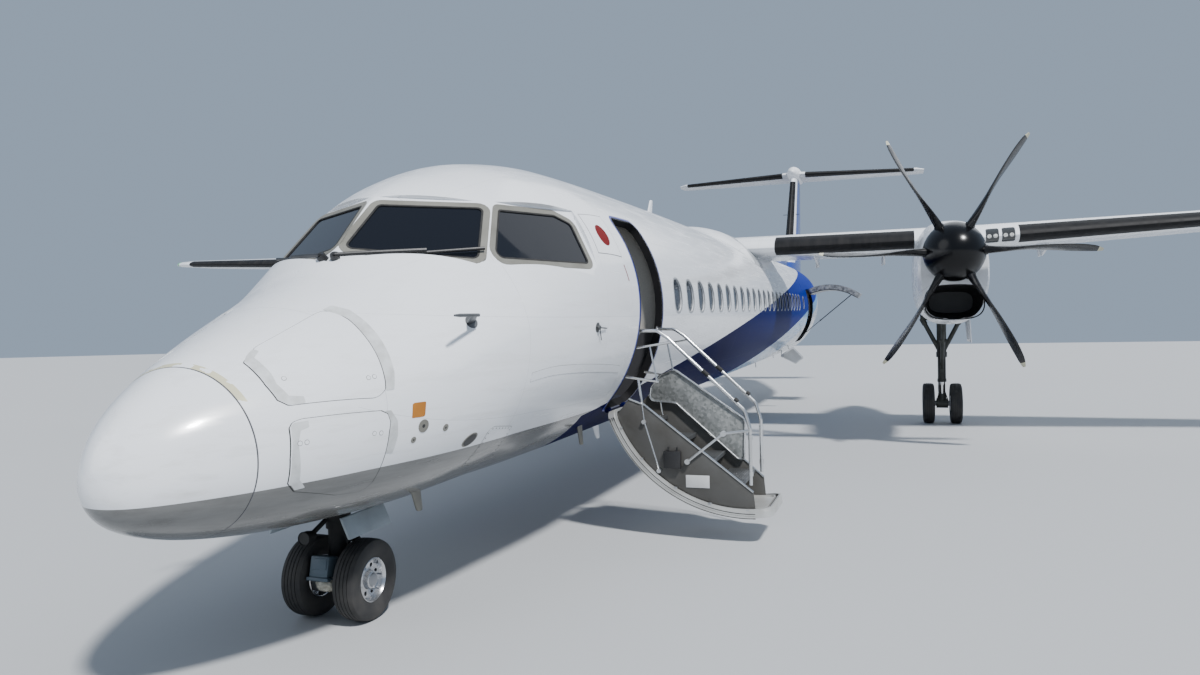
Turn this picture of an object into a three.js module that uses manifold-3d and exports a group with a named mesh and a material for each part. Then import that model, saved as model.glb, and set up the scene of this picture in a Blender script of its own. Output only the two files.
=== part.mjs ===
// A twin-engined, high-wing, T-tailed regional airliner standing on its gear, with the forward
// airstair and the aft baggage door open. Millimetres: x to port, y aft of the nose tip, z up from
// the middle of the cabin tube. The whole airframe then stands a little nose-low on level ground.
import * as THREE from "three";
import { mergeVertices } from "three/addons/utils/BufferGeometryUtils.js";
import Module from "manifold-3d";

const wasm = await Module();
wasm.setup();

// How it stands: nose-low angle, and the height of the tube's middle above ground at one station
const TILT = THREE.MathUtils.degToRad(1.7);
const LEVEL_STATION = 5000;
const LEVEL_HEIGHT = 2130;
const MIDSHIP = 16347;

// Running gaps: between touching pieces, round a moving panel, and beside a moving surface's end
const SEAT = 0.3;
const SHUT_LINE = 8;
const END_GAP = 12;
const PIN_RADIUS = 9;
// Edges shorter than this are closed up
const SLIVER = 0.05;
// Steps of the round nose of a hinged surface
const NOSE_STEPS = 10;
const NOSE_GAP = 8;
const FIN_NOSE_GAP = 13;

// Body tube and where its sections are joined
const TUBE_RADIUS = 1345;
const BODY_SIDES = 36;
const RADOME_END = 485;
const COCKPIT_END = 4200;
const VESTIBULE_END = 5600;
const CABIN_END = 20250;
const HOLD_END = 22400;
const TAIL_END = 31700;
// The tail is hollow back to here, open at its front against the baggage room's end wall
const TAIL_ROOM_END = 29800;
const WALL = 70;
const FLOOR = -1000;

// Body sections: station, half width, top, bottom, height of the widest point, roundness up and down
const BODY_SECTIONS = [
  [0, 8, -832, -848, -840, 2, 2],
  [50, 165, -655, -1000, -838, 2, 2],
  [200, 320, -480, -1100, -815, 2, 2],
  [500, 515, -290, -1190, -755, 2, 2.1],
  [1000, 745, -65, -1260, -620, 2, 2.2],
  [1600, 960, 205, -1300, -440, 1.85, 2.2],
  [1810, 1020, 348, -1310, -360, 1.75, 2.2],
  [2262, 1130, 757, -1320, -240, 1.65, 2.1],
  [2800, 1230, 1020, -1330, -120, 1.9, 2],
  [3400, 1300, 1195, -1340, -50, 2, 2],
  [4200, 1340, 1285, -1345, 0, 2, 2],
  [5600, TUBE_RADIUS, 1320, -TUBE_RADIUS, 0, 2, 2],
  [9000, TUBE_RADIUS, TUBE_RADIUS, -TUBE_RADIUS, 0, 2, 2],
  [22400, TUBE_RADIUS, TUBE_RADIUS, -TUBE_RADIUS, 0, 2, 2],
  [24000, 1290, TUBE_RADIUS, -1170, 60, 2, 2],
  [26000, 1100, 1320, -720, 280, 2, 2],
  [28000, 820, 1250, -220, 500, 2, 2],
  [29800, 520, 1120, 220, 670, 2, 2],
  [31200, 230, 950, 560, 760, 2, 2],
  [31700, 60, 870, 730, 800, 2, 2],
];

// Windscreen: flat facets as three points each (x, y, z), port side
const SCREEN_FACET = [[0, 1810, 348], [860, 2286, 309], [715, 2654, 719], [0, 2262, 757]];
const SIDE_FACET = [[860, 2286, 309], [1260, 3450, 280], [1010, 3560, 720], [715, 2654, 719]];
// Panes, as (x, z) on the front facet and (y, z) on the side facet
const SCREEN_PANE = [[35, 402], [838, 315], [706, 708], [65, 733]];
const SIDE_PANE = [[2420, 330], [3425, 322], [3520, 655], [3375, 716], [2768, 706]];
const GLASS_THICKNESS = 22;
const GLASS_INSET = 4;

// Doors in the tube: port airstair, baggage door, and the three that stay shut
const STAIR = { front: 4450, back: 5190, low: -44.9, high: 38, open: 117, barrel: 24.2 };
const HATCH = { front: 20420, back: 21690, low: -43, high: 20, open: 95.5, barrel: 16.5, thickness: 130 };
const DOOR_THICKNESS = 60;
const DOOR_TRIM = 0.35;
const SKIN_INNER = TUBE_RADIUS - DOOR_THICKNESS;
// Stair outlines as they stand open: side plate's upper edge, rail, guard plate, link arm, and treads
const PLATE_EDGE = [[1200, -880], [1480, -905], [2310, -1640]];
const RAIL = [
  [1262, -900], [1300, -400], [1345, -245], [1440, -228],
  [1560, -305], [2250, -925], [2290, -1100], [2290, -1600],
];
const GUARD = [
  [1215, -930], [1235, -800], [1330, -680], [1473, -627],
  [2150, -1102], [2135, -1480], [2080, -1480], [1480, -950],
];
const LINK_ARM = [[1734, -1407], [2060, -1150], [2285, -1120]];
const TREADS = [[1150, -1075], [1430, -1240], [1710, -1405], [1990, -1570]];
const TREAD_DEPTH = 240;
const PLATE_INSET = 40;
const PLATE_THICKNESS = 20;
const TREAD_THICKNESS = 30;
const RAIL_RADIUS = 16;
const ARM_RADIUS = 14;
const GUARD_THICKNESS = 10;
// Hinge lugs of a door: distance from its ends, width, and how far the strap reaches round, in degrees
const LUG = { inset: 110, width: 60, arc: 3.4 };
// Shut doors: name, side, front, back, low angle, high angle
const SHUT_DOORS = [
  ["aft_passenger_door", 1, 18850, 19540, -42, 32],
  ["service_door", -1, 18850, 19540, -42, 24],
  ["forward_exit_door", -1, 4450, 4960, -24, 32],
];

// Rooms: cockpit and lobby as low and high corners, and how far a cut reaches past the tube's skin
const COCKPIT_ROOM = { low: [-1400, 1900, -700], high: [1400, COCKPIT_END, 1400], front: 2080 };
const LOBBY = { low: [-900, 4000, FLOOR], high: [1400, 6000, 1400], margin: 120 };
const HOLD_ROOM = { side: -1000, floor: FLOOR + 60, top: 1000, margin: 100 };
const SKIN_CUT = [1500, 900];
const FACET_CUT = 260;
// Pilot seat and instrument panel: outline from the side (y, z), and reach across
const SEAT_OUTLINE = [
  [3180, -699.7], [3640, -699.7], [3640, -330], [3700, -200], [3800, 380],
  [3700, 400], [3560, -150], [3160, -170], [3160, -300], [3260, -330],
];
const SEAT_SIDES = [260, 720];
const PANEL_OUTLINE = [
  [2500, -699.7], [2760, -699.7], [2700, -250], [2560, 190],
  [2330, 225], [2300, 180], [2440, 60],
];
const PANEL_HALF_WIDTH = 820;

// Fairing over the wing's middle: station, half width, rise above the tube
const FAIRING_ROWS = [
  [11200, 500, 0],
  [12300, 900, 130],
  [13300, 1120, 165],
  [15600, 1120, 165],
  [17000, 900, 120],
  [18200, 500, 0],
];
const FAIRING_LIFT = 4;
const FAIRING_ROOT = 700;

// Wing: x, leading edge station, chord, height of the leading edge, thickness share
const WING_SECTIONS = [
  [0, 13237, 2720, 1100, 0.18],
  [4950, 13237, 2720, 1100, 0.18],
  [13500, 14235, 1330, 1462, 0.15],
  [14000, 14420, 1120, 1484, 0.14],
  [14210, 14760, 740, 1494, 0.12],
];
const WING_JOINT = 4950;
const WING_TWIST = THREE.MathUtils.degToRad(2);
const NACELLE_X = 4400;
// Flaps: name, inner x, outer x; then where they start on the chord, and how far down their hinge is
const FLAPS = [["inner_flap", 1500, 3790], ["outer_flap", 5020, 10050]];
const FLAP_FRONT = 0.72;
const FLAP_DROP = 230;
const FLAP_ARM = 30;
const ARM_GAP = 6;
const AILERON = { inner: 10150, outer: 13300, hinge: 0.77 };

// Nacelle: station, half width, top, bottom, squareness
const NACELLE_SECTIONS = [
  [11640, 490, 1235, -270, 2.3],
  [11800, 530, 1262, -315, 2.4],
  [12500, 555, 1350, -360, 2.6],
  [13300, 560, 1410, -390, 2.8],
  [14800, 560, 1430, -380, 2.8],
  [16000, 535, 1300, -300, 2.6],
  [17200, 420, 1060, -60, 2.4],
  [18200, 200, 800, 300, 2.2],
  [18600, 40, 640, 540, 2],
];
const INTAKE = { halfWidth: 430, top: 255, bottom: -275, depth: 900 };
const WHEEL_BAY = { front: 14250, back: 17150, halfWidth: 400, top: 500 };
const ENGINE = { front: 12120, back: 13900, halfWidth: 330, top: 1120, bottom: 300 };
const EXHAUST = { station: 14100, height: 700, radius: 170 };

// Propeller: hub place, radius, blades; blade section: radius, chord, thickness, angle, sweep aft
const HUB = { station: 11386, height: 775 };
const SPINNER_RADIUS = 465;
const SHAFT_RADIUS = 130;
const SPINNER_PROFILE = [
  [0, -420], [120, -400], [250, -325], [360, -205], [435, -60],
  [SPINNER_RADIUS, 90], [SPINNER_RADIUS, 225], [SHAFT_RADIUS, 225],
];
const BLADE_COUNT = 6;
const BLADE_SECTIONS = [
  [400, 190, 95, 98, 0],
  [640, 270, 62, 94, -20],
  [1100, 345, 40, 86, -10],
  [1600, 330, 26, 79, 55],
  [1920, 235, 17, 75, 120],
  [2055, 90, 9, 73, 170],
];

// Tail: fin sections by height, and tailplane sections by x: leading edge, chord, thickness share
const FIN_SECTIONS = [
  [1180, 27100, 4640, 0.11],
  [4980, 29780, 2420, 0.12],
];
const FIN_HINGE = 0.64;
const RUDDER_SPLIT = 0.83;
const DORSAL = [[22900, 1320], [25400, 1560], [27900, 2240], [27900, 1200], [22900, 1200]];
const TAILPLANE_SECTIONS = [
  [0, 29900, 2350, 0.12],
  [4360, 30850, 1400, 0.12],
  [4635, 31120, 1080, 0.1],
];
const TAILPLANE_HEIGHT = 5040;
const FIN_ROOT = 1180;
const FIN_TOP = TAILPLANE_HEIGHT - 141.5;
const RUDDER_ROOT = 1420;
const RUDDER_TOP = 4715;
const RUDDER_GAP = 34;
const RUDDER_DISCS = [1700, 3100, 4500];
const DISC_HALF = 9;
const DISC_EASE = 0.7;
const ELEVATOR = { inner: 330, outer: 4360, hinge: 0.66 };
// Bullet over the fin: station, radius
const BULLET = [[29510, 0], [29620, 130], [29950, 235], [30700, 270], [31900, 190], [32830, 0]];
const BULLET_HEIGHT = 5080;

// Gear, by distance aft along the ground and height above it
const NOSE_GEAR = { aft: 1850, tyreRadius: 264, tyreWidth: 165, spread: 195, rim: 140, axle: 34 };
const MAIN_GEAR = { aft: 15790, tyreRadius: 406.5, tyreWidth: 224, spread: 259, rim: 205, axle: 55 };
const NOSE_BAY = { front: 1250, back: 2180, halfWidth: 240, top: -820 };
const NOSE_DOOR = { front: 1490, back: 1950, top: 1200, drop: 1430, splay: 50, half: 8 };
// Main gear door: ends, and its outline from the front as (x from the bay's side, z)
const MAIN_DOOR = { front: 14300, back: 15150, outline: [[4, -150], [26, -150], [60, -760], [40, -760]] };
// Wheels have a flat of their many sides on the ground, as a loaded tyre does
const GEAR_SIDES = 20;
const HALF_SIDE = Math.PI / GEAR_SIDES;
const AXLE_GAP = 1.2;
// Nose leg: its axis from the axle to its head, and the height where the turning part meets it
const NOSE_LEG = { headAft: 1790, headHeight: 1240, joint: 650, radius: 80, pinDrop: 70, pin: 45 };
const NOSE_POST = { radius: 62, boss: 78, bossHalf: 96 };
const NOSE_BRACE = { height: 820, radius: 40, headAft: 60, headUp: 20 };
// Steering box and lamp, as (x, aft of the axle, height above ground)
const NOSE_LINK = [[-88, -225, 277], [62, -40, 420]];
const NOSE_LAMP = { ends: [[-50, -300, 577], [-50, -190, 577]], radius: 44 };
const LAMP_ARM = { foot: [-50, -215, 590], height: 720, radius: 18 };
// Main leg: joints as (aft of the axle, height above ground), and its bars' radii
const MAIN_LEG = {
  knee: [-60, 1400], head: [-120, 2120], armEnd: [-130, 2140], trunnion: [-130, 2160],
  dragTop: [-1180, 2330], dragFoot: [-20, 1050], armSpread: 370, bossHalf: 110,
};
const MAIN_RADII = { post: 78, upper: 95, boss: 105, arm: 48, trunnion: 60, drag: 42, cross: 45 };

// Finishes
const WHITE = finish(0xeceef0, 0.32, 0.05);
const GREY = finish(0x9aa0a4, 0.45, 0.2);
const BLUE = finish(0x1b2f8f, 0.32, 0.05);
const BLACK = finish(0x0d0e10, 0.25, 0.05);
const STEEL = finish(0xa8acae, 0.35, 0.9);
const DARK_STEEL = finish(0x3c4043, 0.55, 0.6);
const RUBBER = finish(0x151515, 0.85, 0);
const GLASS = finish(0x10151c, 0.08, 0);
const INTERIOR = finish(0x2a2c2e, 0.8, 0);
const ALLOY = finish(0xb9bdbe, 0.4, 0.8);

function finish(color, roughness, metalness) {
  return new THREE.MeshStandardMaterial({ color, roughness, metalness });
}

// A closed solid from any closed geometry
function solid(geometry) {
  const bare = new THREE.BufferGeometry();
  bare.setAttribute("position", geometry.getAttribute("position"));
  bare.setIndex(geometry.getIndex());
  const merged = mergeVertices(bare, 1e-3);
  const shape = new wasm.Manifold(new wasm.Mesh({
    numProp: 3,
    vertProperties: new Float32Array(merged.getAttribute("position").array),
    triVerts: new Uint32Array(merged.getIndex().array),
  }));
  return shape;
}

// Drawable geometry of a solid, keeping only its largest body, without slivers
function geometryOf(shape) {
  const bodies = shape.asOriginal().simplify(SLIVER).decompose();
  bodies.sort((a, b) => b.volume() - a.volume());
  const data = bodies[0].getMesh();
  const geometry = new THREE.BufferGeometry();
  geometry.setAttribute("position", new THREE.BufferAttribute(new Float32Array(data.vertProperties), 3));
  geometry.setIndex(new THREE.BufferAttribute(new Uint32Array(data.triVerts), 1));
  return geometry;
}

// Triangles that close one end ring, wound as the ring is
function capFaces(ring) {
  const normal = new THREE.Vector3();
  ring.forEach((point, i) => {
    normal.add(new THREE.Vector3().crossVectors(point, ring[(i + 1) % ring.length]));
  });
  const size = normal.toArray().map(Math.abs);
  const drop = size.indexOf(Math.max(...size));
  const [u, v] = [0, 1, 2].filter((axis) => axis !== drop);
  const flat = ring.map((point) => new THREE.Vector2(point.getComponent(u), point.getComponent(v)));
  const sign = Math.sign(THREE.ShapeUtils.area(flat));
  return THREE.ShapeUtils.triangulateShape(flat, []).map((face) => {
    const turn = Math.sign(THREE.ShapeUtils.area(face.map((i) => flat[i])));
    return turn === sign ? face : [face[0], face[2], face[1]];
  });
}

// A closed skin through a row of rings, each with the same number of points
function loft(rings) {
  const count = rings[0].length;
  const positions = rings.flat().flatMap((point) => point.toArray());
  const faces = [];
  for (let k = 0; k < rings.length - 1; k += 1) {
    for (let i = 0; i < count; i += 1) {
      const a = k * count + i;
      const b = k * count + ((i + 1) % count);
      faces.push([a, b, b + count], [a, b + count, a + count]);
    }
  }
  const last = (rings.length - 1) * count;
  capFaces(rings[0]).forEach(([a, b, c]) => faces.push([a, c, b]));
  capFaces(rings[rings.length - 1]).forEach((face) => faces.push(face.map((i) => i + last)));
  let volume = 0;
  const all = rings.flat();
  faces.forEach(([a, b, c]) => {
    volume += all[a].dot(new THREE.Vector3().crossVectors(all[b], all[c]));
  });
  const outward = volume > 0 ? faces : faces.map(([a, b, c]) => [a, c, b]);
  const geometry = new THREE.BufferGeometry();
  geometry.setAttribute("position", new THREE.Float32BufferAttribute(positions, 3));
  geometry.setIndex(outward.flat());
  return geometry;
}

// A block between two corners
function block(low, high) {
  const [x0, y0, z0] = low;
  const [x1, y1, z1] = high;
  const geometry = new THREE.BoxGeometry(x1 - x0, y1 - y0, z1 - z0);
  return geometry.translate((x0 + x1) / 2, (y0 + y1) / 2, (z0 + z1) / 2);
}

// A round bar between two points
function bar(from, to, radius, sides = 12, endRadius = radius) {
  const start = new THREE.Vector3(...from);
  const along = new THREE.Vector3(...to).sub(start);
  const geometry = new THREE.CylinderGeometry(endRadius, radius, along.length(), sides);
  geometry.translate(0, along.length() / 2, 0);
  const turn = new THREE.Quaternion().setFromUnitVectors(new THREE.Vector3(0, 1, 0), along.normalize());
  return geometry.applyQuaternion(turn).translate(start.x, start.y, start.z);
}

// A plate: an outline in the x-z plane, given a thickness along y
function plate(outline, front, back) {
  const ring = (y) => outline.map(([x, z]) => new THREE.Vector3(x, y, z));
  return loft([ring(front), ring(back)]);
}

// A wall: an outline in the y-z plane, given a thickness along x
function wall(outline, inner, outer) {
  const ring = (x) => outline.map(([y, z]) => new THREE.Vector3(x, y, z));
  return loft([ring(inner), ring(outer)]);
}

function join(...geometries) {
  return geometries.map(solid).reduce((whole, piece) => whole.add(piece));
}

function mirrored(shape) {
  return shape.mirror([1, 0, 0]);
}

// A point given by distance along the ground and height above it, in the airframe's own axes
function fromGround(x, aft, height) {
  const dy = aft - LEVEL_STATION;
  const dz = height - LEVEL_HEIGHT;
  const c = Math.cos(TILT);
  const s = Math.sin(TILT);
  return [x, LEVEL_STATION + dy * c + dz * s, -dy * s + dz * c];
}

// Body tube

function rowAt(station) {
  const next = BODY_SECTIONS.findIndex((row) => row[0] >= station);
  if (BODY_SECTIONS[next][0] === station || next === 0) {
    return BODY_SECTIONS[next];
  }
  const [a, b] = [BODY_SECTIONS[next - 1], BODY_SECTIONS[next]];
  const share = (station - a[0]) / (b[0] - a[0]);
  return a.map((value, i) => value + share * (b[i] - value));
}

function bodyRing(station, inset = 0, at = station) {
  const [, halfWidth, top, bottom, widest, upper, lower] = rowAt(station);
  return Array.from({ length: BODY_SIDES }, (_, i) => {
    const angle = (2 * Math.PI * i) / BODY_SIDES;
    const c = Math.cos(angle);
    const s = Math.sin(angle);
    const power = 2 / (s >= 0 ? upper : lower);
    const reach = s >= 0 ? top - inset - widest : widest - bottom - inset;
    const x = (halfWidth - inset) * Math.sign(c) * Math.abs(c) ** power;
    return new THREE.Vector3(x, at, widest + reach * Math.sign(s) * Math.abs(s) ** power);
  });
}

function body(front, back, inset = 0) {
  const between = BODY_SECTIONS.map((row) => row[0]).filter((y) => y > front + 1 && y < back - 1);
  const rings = [bodyRing(front, inset), ...between.map((y) => bodyRing(y, inset)), bodyRing(back, inset)];
  return loft(rings);
}

// A piece of the tube's skin between two stations and two angles
function skinPatch(front, back, low, high, outer, inner, side = 1, trim = 0) {
  const steps = 10;
  const arc = (radius) => Array.from({ length: steps + 1 }, (_, i) => {
    const even = low + ((high - low) * i) / steps;
    const angle = THREE.MathUtils.degToRad(Math.min(Math.max(even, low + trim), high - trim));
    return [side * radius * Math.cos(angle), radius * Math.sin(angle)];
  });
  return plate([...arc(outer), ...arc(inner).reverse()], front, back);
}

function onFacet(facet) {
  const [a, b, c] = facet.slice(0, 3).map((p) => new THREE.Vector3(...p));
  const normal = new THREE.Vector3().crossVectors(b.clone().sub(a), c.clone().sub(a)).normalize();
  if (normal.z < 0) {
    normal.negate();
  }
  return { origin: a, normal };
}

// A slab on a facet, from one depth to another along its outward normal
function slab(points, normal, from, to) {
  const ring = (depth) => points.map((point) => point.clone().addScaledVector(normal, depth));
  return loft([ring(from), ring(to)]);
}

const front = onFacet(SCREEN_FACET);
const side = onFacet(SIDE_FACET);

const screenCorners = SCREEN_PANE.map(([x, z]) => {
  const { origin, normal } = front;
  const y = origin.y - (normal.x * (x - origin.x) + normal.z * (z - origin.z)) / normal.y;
  return new THREE.Vector3(x, y, z);
});
const sideCorners = SIDE_PANE.map(([y, z]) => {
  const { origin, normal } = side;
  const x = origin.x - (normal.y * (y - origin.y) + normal.z * (z - origin.z)) / normal.x;
  return new THREE.Vector3(x, y, z);
});

function shrunk(points, by) {
  const middle = points.reduce((sum, p) => sum.add(p), new THREE.Vector3()).divideScalar(points.length);
  return points.map((p) => p.clone().lerp(middle, by / p.distanceTo(middle)));
}

function bothSides(shape) {
  return shape.add(mirrored(shape));
}

function noseShell() {
  const facets = [[SCREEN_FACET, front.normal], [SIDE_FACET, side.normal]].map(([corners, normal]) => {
    return solid(slab(corners.map((p) => new THREE.Vector3(...p)), normal, 0, FACET_CUT));
  });
  // What stands proud between two facets, along the edge they share
  const mirroredNormal = front.normal.clone().setX(-front.normal.x);
  const ridges = [
    [SCREEN_FACET[1], SCREEN_FACET[2], front.normal, side.normal],
    [SCREEN_FACET[0], SCREEN_FACET[3], front.normal, mirroredNormal],
  ].map(([low, high, a, b]) => {
    const ring = (corner) => [[0, 0], [1, 0], [0.8, 0.8], [0, 1]].map(([m, n]) => {
      const point = new THREE.Vector3(...corner).addScaledVector(a, FACET_CUT * m);
      return point.addScaledVector(b, FACET_CUT * n);
    });
    return solid(loft([ring(low), ring(high)]));
  });
  const behindFacets = [[SCREEN_FACET, front.normal], [SIDE_FACET, side.normal]].map(([corners, normal]) => {
    const wide = corners.map((p) => new THREE.Vector3(...p));
    const middle = wide.reduce((sum, p) => sum.add(p.clone()), new THREE.Vector3()).divideScalar(4);
    return solid(slab(wide.map((p) => p.clone().lerp(middle, -0.35)), normal, -WALL, 400));
  });
  const panes = [[screenCorners, front.normal], [sideCorners, side.normal]].map(([corners, normal]) => {
    return solid(slab(corners, normal, -FACET_CUT, 60));
  });
  const room = solid(body(COCKPIT_ROOM.front, COCKPIT_END - WALL, WALL))
    .intersect(solid(block(COCKPIT_ROOM.low, COCKPIT_ROOM.high)));
  const cockpit = behindFacets.reduce((shape, cutter) => shape.subtract(bothSides(cutter)), room);
  const cutters = [...facets, ...ridges, ...panes];
  const cut = cutters.reduce((shape, cutter) => shape.add(bothSides(cutter)), cockpit);
  const gearBay = solid(block(
    [-NOSE_BAY.halfWidth, NOSE_BAY.front, -1500],
    [NOSE_BAY.halfWidth, NOSE_BAY.back, NOSE_BAY.top],
  ));
  return solid(body(RADOME_END + SEAT, COCKPIT_END - SEAT)).subtract(cut).subtract(gearBay);
}

function glass(corners, normal) {
  return solid(slab(shrunk(corners, 0.5), normal, -GLASS_INSET - GLASS_THICKNESS, -GLASS_INSET));
}

// The lobby inside the airstair: a room across the tube, open to port through the doorway
function vestibule() {
  const hollow = solid(body(STAIR.front - LOBBY.margin, STAIR.back + LOBBY.margin, WALL))
    .intersect(solid(block(LOBBY.low, LOBBY.high)));
  const doorway = solid(skinPatch(STAIR.front, STAIR.back, STAIR.low, STAIR.high, ...SKIN_CUT));
  const shell = solid(body(COCKPIT_END + SEAT, VESTIBULE_END - SEAT));
  return shell.subtract(hollow).subtract(doorway);
}

function shutDoorRecess([, sign, from, to, low, high]) {
  return solid(skinPatch(from, to, low, high, SKIN_CUT[0], SKIN_INNER - SEAT, sign));
}

function shutDoor([, sign, from, to, low, high]) {
  const panel = skinPatch(from + SHUT_LINE, to - SHUT_LINE, low, high,
    TUBE_RADIUS - 1, SKIN_INNER, sign, DOOR_TRIM);
  return solid(panel);
}

// An outline moved outward by a distance, corner by corner
function grown(outline, by) {
  const count = outline.length;
  const turn = Math.sign(THREE.ShapeUtils.area(outline.map((p) => new THREE.Vector2(...p))));
  const normals = outline.map(([y, z], i) => {
    const next = outline[(i + 1) % count];
    return new THREE.Vector2(next[1] - z, y - next[0]).multiplyScalar(turn).normalize();
  });
  return outline.map(([y, z], i) => {
    const [a, b] = [normals[(i + count - 1) % count], normals[i]];
    const way = a.clone().add(b);
    way.multiplyScalar(by / (1 + a.dot(b)));
    return [y + way.x, z + way.y];
  });
}

// Wing

// Heights of a section's two faces at a share of its chord; a wing is cambered, the tail is not
function faceHeights(chord, thickness, cambered) {
  return (share) => {
    const shape = 0.2969 * Math.sqrt(share) - 0.126 * share - 0.3516 * share ** 2 + 0.2843 * share ** 3
      - 0.1015 * share ** 4;
    const half = Math.max(5 * thickness * shape * chord, 3);
    const camber = cambered ? 0.18 * thickness * chord * Math.sin(Math.PI * Math.min(share, 1)) : 0;
    return [camber + half, camber - half * (cambered ? 0.75 : 1)];
  };
}

// Outline of a whole section, from the nose over the upper face and back under
function sectionOutline(chord, faces) {
  const steps = 8;
  const shares = Array.from({ length: steps + 1 }, (_, i) => (i / steps) ** 1.6);
  const upper = shares.map((share) => [share * chord, faces(share)[0]]);
  const lower = shares.slice(1).map((share) => [share * chord, faces(share)[1]]).reverse();
  return [...upper, ...lower];
}

// A hinge inside a section, at a share of the chord, with the radius of the nose around it
function hingeIn(chord, faces, share) {
  const [up, low] = faces(share);
  return { y: share * chord, z: (up + low) / 2, radius: (up - low) / 2 };
}

function noseArc({ y, z }, radius, from, to) {
  return Array.from({ length: NOSE_STEPS + 1 }, (_, i) => {
    const angle = THREE.MathUtils.degToRad(from + ((to - from) * i) / NOSE_STEPS);
    return [y + radius * Math.cos(angle), z + radius * Math.sin(angle)];
  });
}

// Outline of a hinged surface: a round nose about its hinge, then both faces to the trailing edge
function hingedOutline(chord, faces, share) {
  const hinge = hingeIn(chord, faces, share);
  const shares = [1, 2, 3].map((i) => share + ((1 - share) * i) / 3);
  const upper = shares.map((t) => [t * chord, faces(t)[0]]);
  const lower = shares.map((t) => [t * chord, faces(t)[1]]).reverse();
  return [...noseArc(hinge, hinge.radius, -90, -270), ...upper, ...lower];
}

// Pins on a hinge line, from inside the surface to just short of what carries it
function endPins(from, to, gap = END_GAP) {
  const along = to.clone().sub(from).normalize();
  const lean = Math.acos(Math.max(...along.toArray().map(Math.abs)));
  const reach = (gap - SEAT) / Math.cos(lean) - PIN_RADIUS * Math.tan(lean);
  return [[from, -1], [to, 1]].map(([end, way]) => {
    const inside = end.clone().addScaledVector(along, -way * 30);
    const tip = end.clone().addScaledVector(along, way * reach);
    return bar(inside.toArray(), tip.toArray(), PIN_RADIUS, 8);
  });
}

// Outline of the space that a hinged surface lies and turns in
function wellOutline(chord, faces, share, gap = NOSE_GAP) {
  const hinge = hingeIn(chord, faces, share);
  const tall = 0.25 * chord;
  const far = hinge.y + 0.6 * chord;
  const arc = noseArc(hinge, hinge.radius + gap, 90, 270);
  return [[hinge.y, tall], ...arc, [hinge.y, -tall], [far, -tall], [far, tall]];
}

function sectionAt(table, x) {
  const next = Math.max(1, table.findIndex((row) => row[0] >= x));
  const [a, b] = [table[next - 1], table[next]];
  const share = (x - a[0]) / (b[0] - a[0]);
  return a.map((value, i) => value + share * (b[i] - value));
}

function wingFaces(x) {
  const [, leading, chord, height, thickness] = sectionAt(WING_SECTIONS, x);
  return { leading, chord, height, faces: faceHeights(chord, thickness, true) };
}

// A point of a wing section, with the section's nose raised by the twist
function onWing(x, [y, z]) {
  const { leading, height } = wingFaces(x);
  const c = Math.cos(WING_TWIST);
  const s = Math.sin(WING_TWIST);
  return new THREE.Vector3(x, leading + y * c + z * s, height - y * s + z * c);
}

function wingRing(x, grow = 0) {
  const { chord, faces } = wingFaces(x);
  return grown(sectionOutline(chord, faces), grow).map((p) => onWing(x, p));
}

function wingBetween(inner, outer, grow = 0) {
  const between = WING_SECTIONS.map((row) => row[0]).filter((x) => x > inner + 1 && x < outer - 1);
  return loft([inner, ...between, outer].map((x) => wingRing(x, grow)));
}

// The notch for a flap, and the flap, which swings down and back on arms below it
function flapWell([, inner, outer]) {
  const ring = (x) => {
    const { chord } = wingFaces(x);
    const from = FLAP_FRONT * chord;
    return [[from, 400], [from, -400], [1.4 * chord, -400], [1.4 * chord, 400]].map((p) => onWing(x, p));
  };
  return solid(loft([ring(inner - END_GAP), ring(outer + END_GAP)]));
}

function flapStations([, inner, outer]) {
  return [0.22, 0.78].map((share) => inner + share * (outer - inner));
}

function flapEye(x) {
  const { chord } = wingFaces(x);
  return onWing(x, [FLAP_FRONT * chord, -FLAP_DROP]);
}

function flap(row) {
  const ring = (x) => {
    const { chord, faces } = wingFaces(x);
    const start = FLAP_FRONT + SHUT_LINE / chord;
    const shares = [0, 1, 2, 3].map((i) => start + ((1 - FLAP_FRONT) * 0.985 * i) / 3);
    const upper = shares.map((t) => [t * chord, faces(t)[0]]);
    const lower = shares.map((t) => [t * chord, faces(t)[1]]).reverse();
    return [...upper, ...lower].map((p) => onWing(x, p));
  };
  const arms = flapStations(row).map((x) => {
    const { chord, faces } = wingFaces(x);
    const root = onWing(x, [(FLAP_FRONT + 0.02) * chord, faces(FLAP_FRONT)[1] + 20]);
    const eye = flapEye(x);
    const outline = [
      [root.y, root.z], [root.y + 280, root.z - 20], [eye.y + 60, eye.z - 26], [eye.y - 26, eye.z - 26],
      [eye.y - 26, eye.z + 20],
    ];
    return wall(outline, x - FLAP_ARM / 2, x + FLAP_ARM / 2);
  });
  const pins = flapStations(row).map((x) => {
    const { y, z } = flapEye(x);
    return bar([x - FLAP_ARM / 2, y, z], [x + FLAP_ARM / 2 + ARM_GAP - SEAT, y, z], ARM_RADIUS, 10);
  });
  return join(loft([ring(row[1]), ring(row[2])]), ...arms, ...pins);
}

// A slim fairing under the wing, beside a flap's arm, that carries the arm's pin
function flapFairing(x) {
  const { chord, faces } = wingFaces(x);
  const front = onWing(x, [0.38 * chord, faces(0.38)[1] + 20]);
  const back = onWing(x, [(FLAP_FRONT - 0.01) * chord, faces(FLAP_FRONT)[1] + 20]);
  const eye = flapEye(x);
  const outline = [
    [front.y, front.z], [back.y, back.z], [eye.y + 34, eye.z + 10], [eye.y + 20, eye.z - 30],
    [eye.y - 200, eye.z + 20],
  ];
  const inner = x + FLAP_ARM / 2 + ARM_GAP;
  return wall(outline, inner, inner + 44);
}

function wingCentre() {
  const fairings = flapStations(FLAPS[0]).map(flapFairing);
  const half = join(wingBetween(0, WING_JOINT - SEAT), ...fairings);
  return bothSides(half.subtract(flapWell(FLAPS[0])));
}

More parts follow.
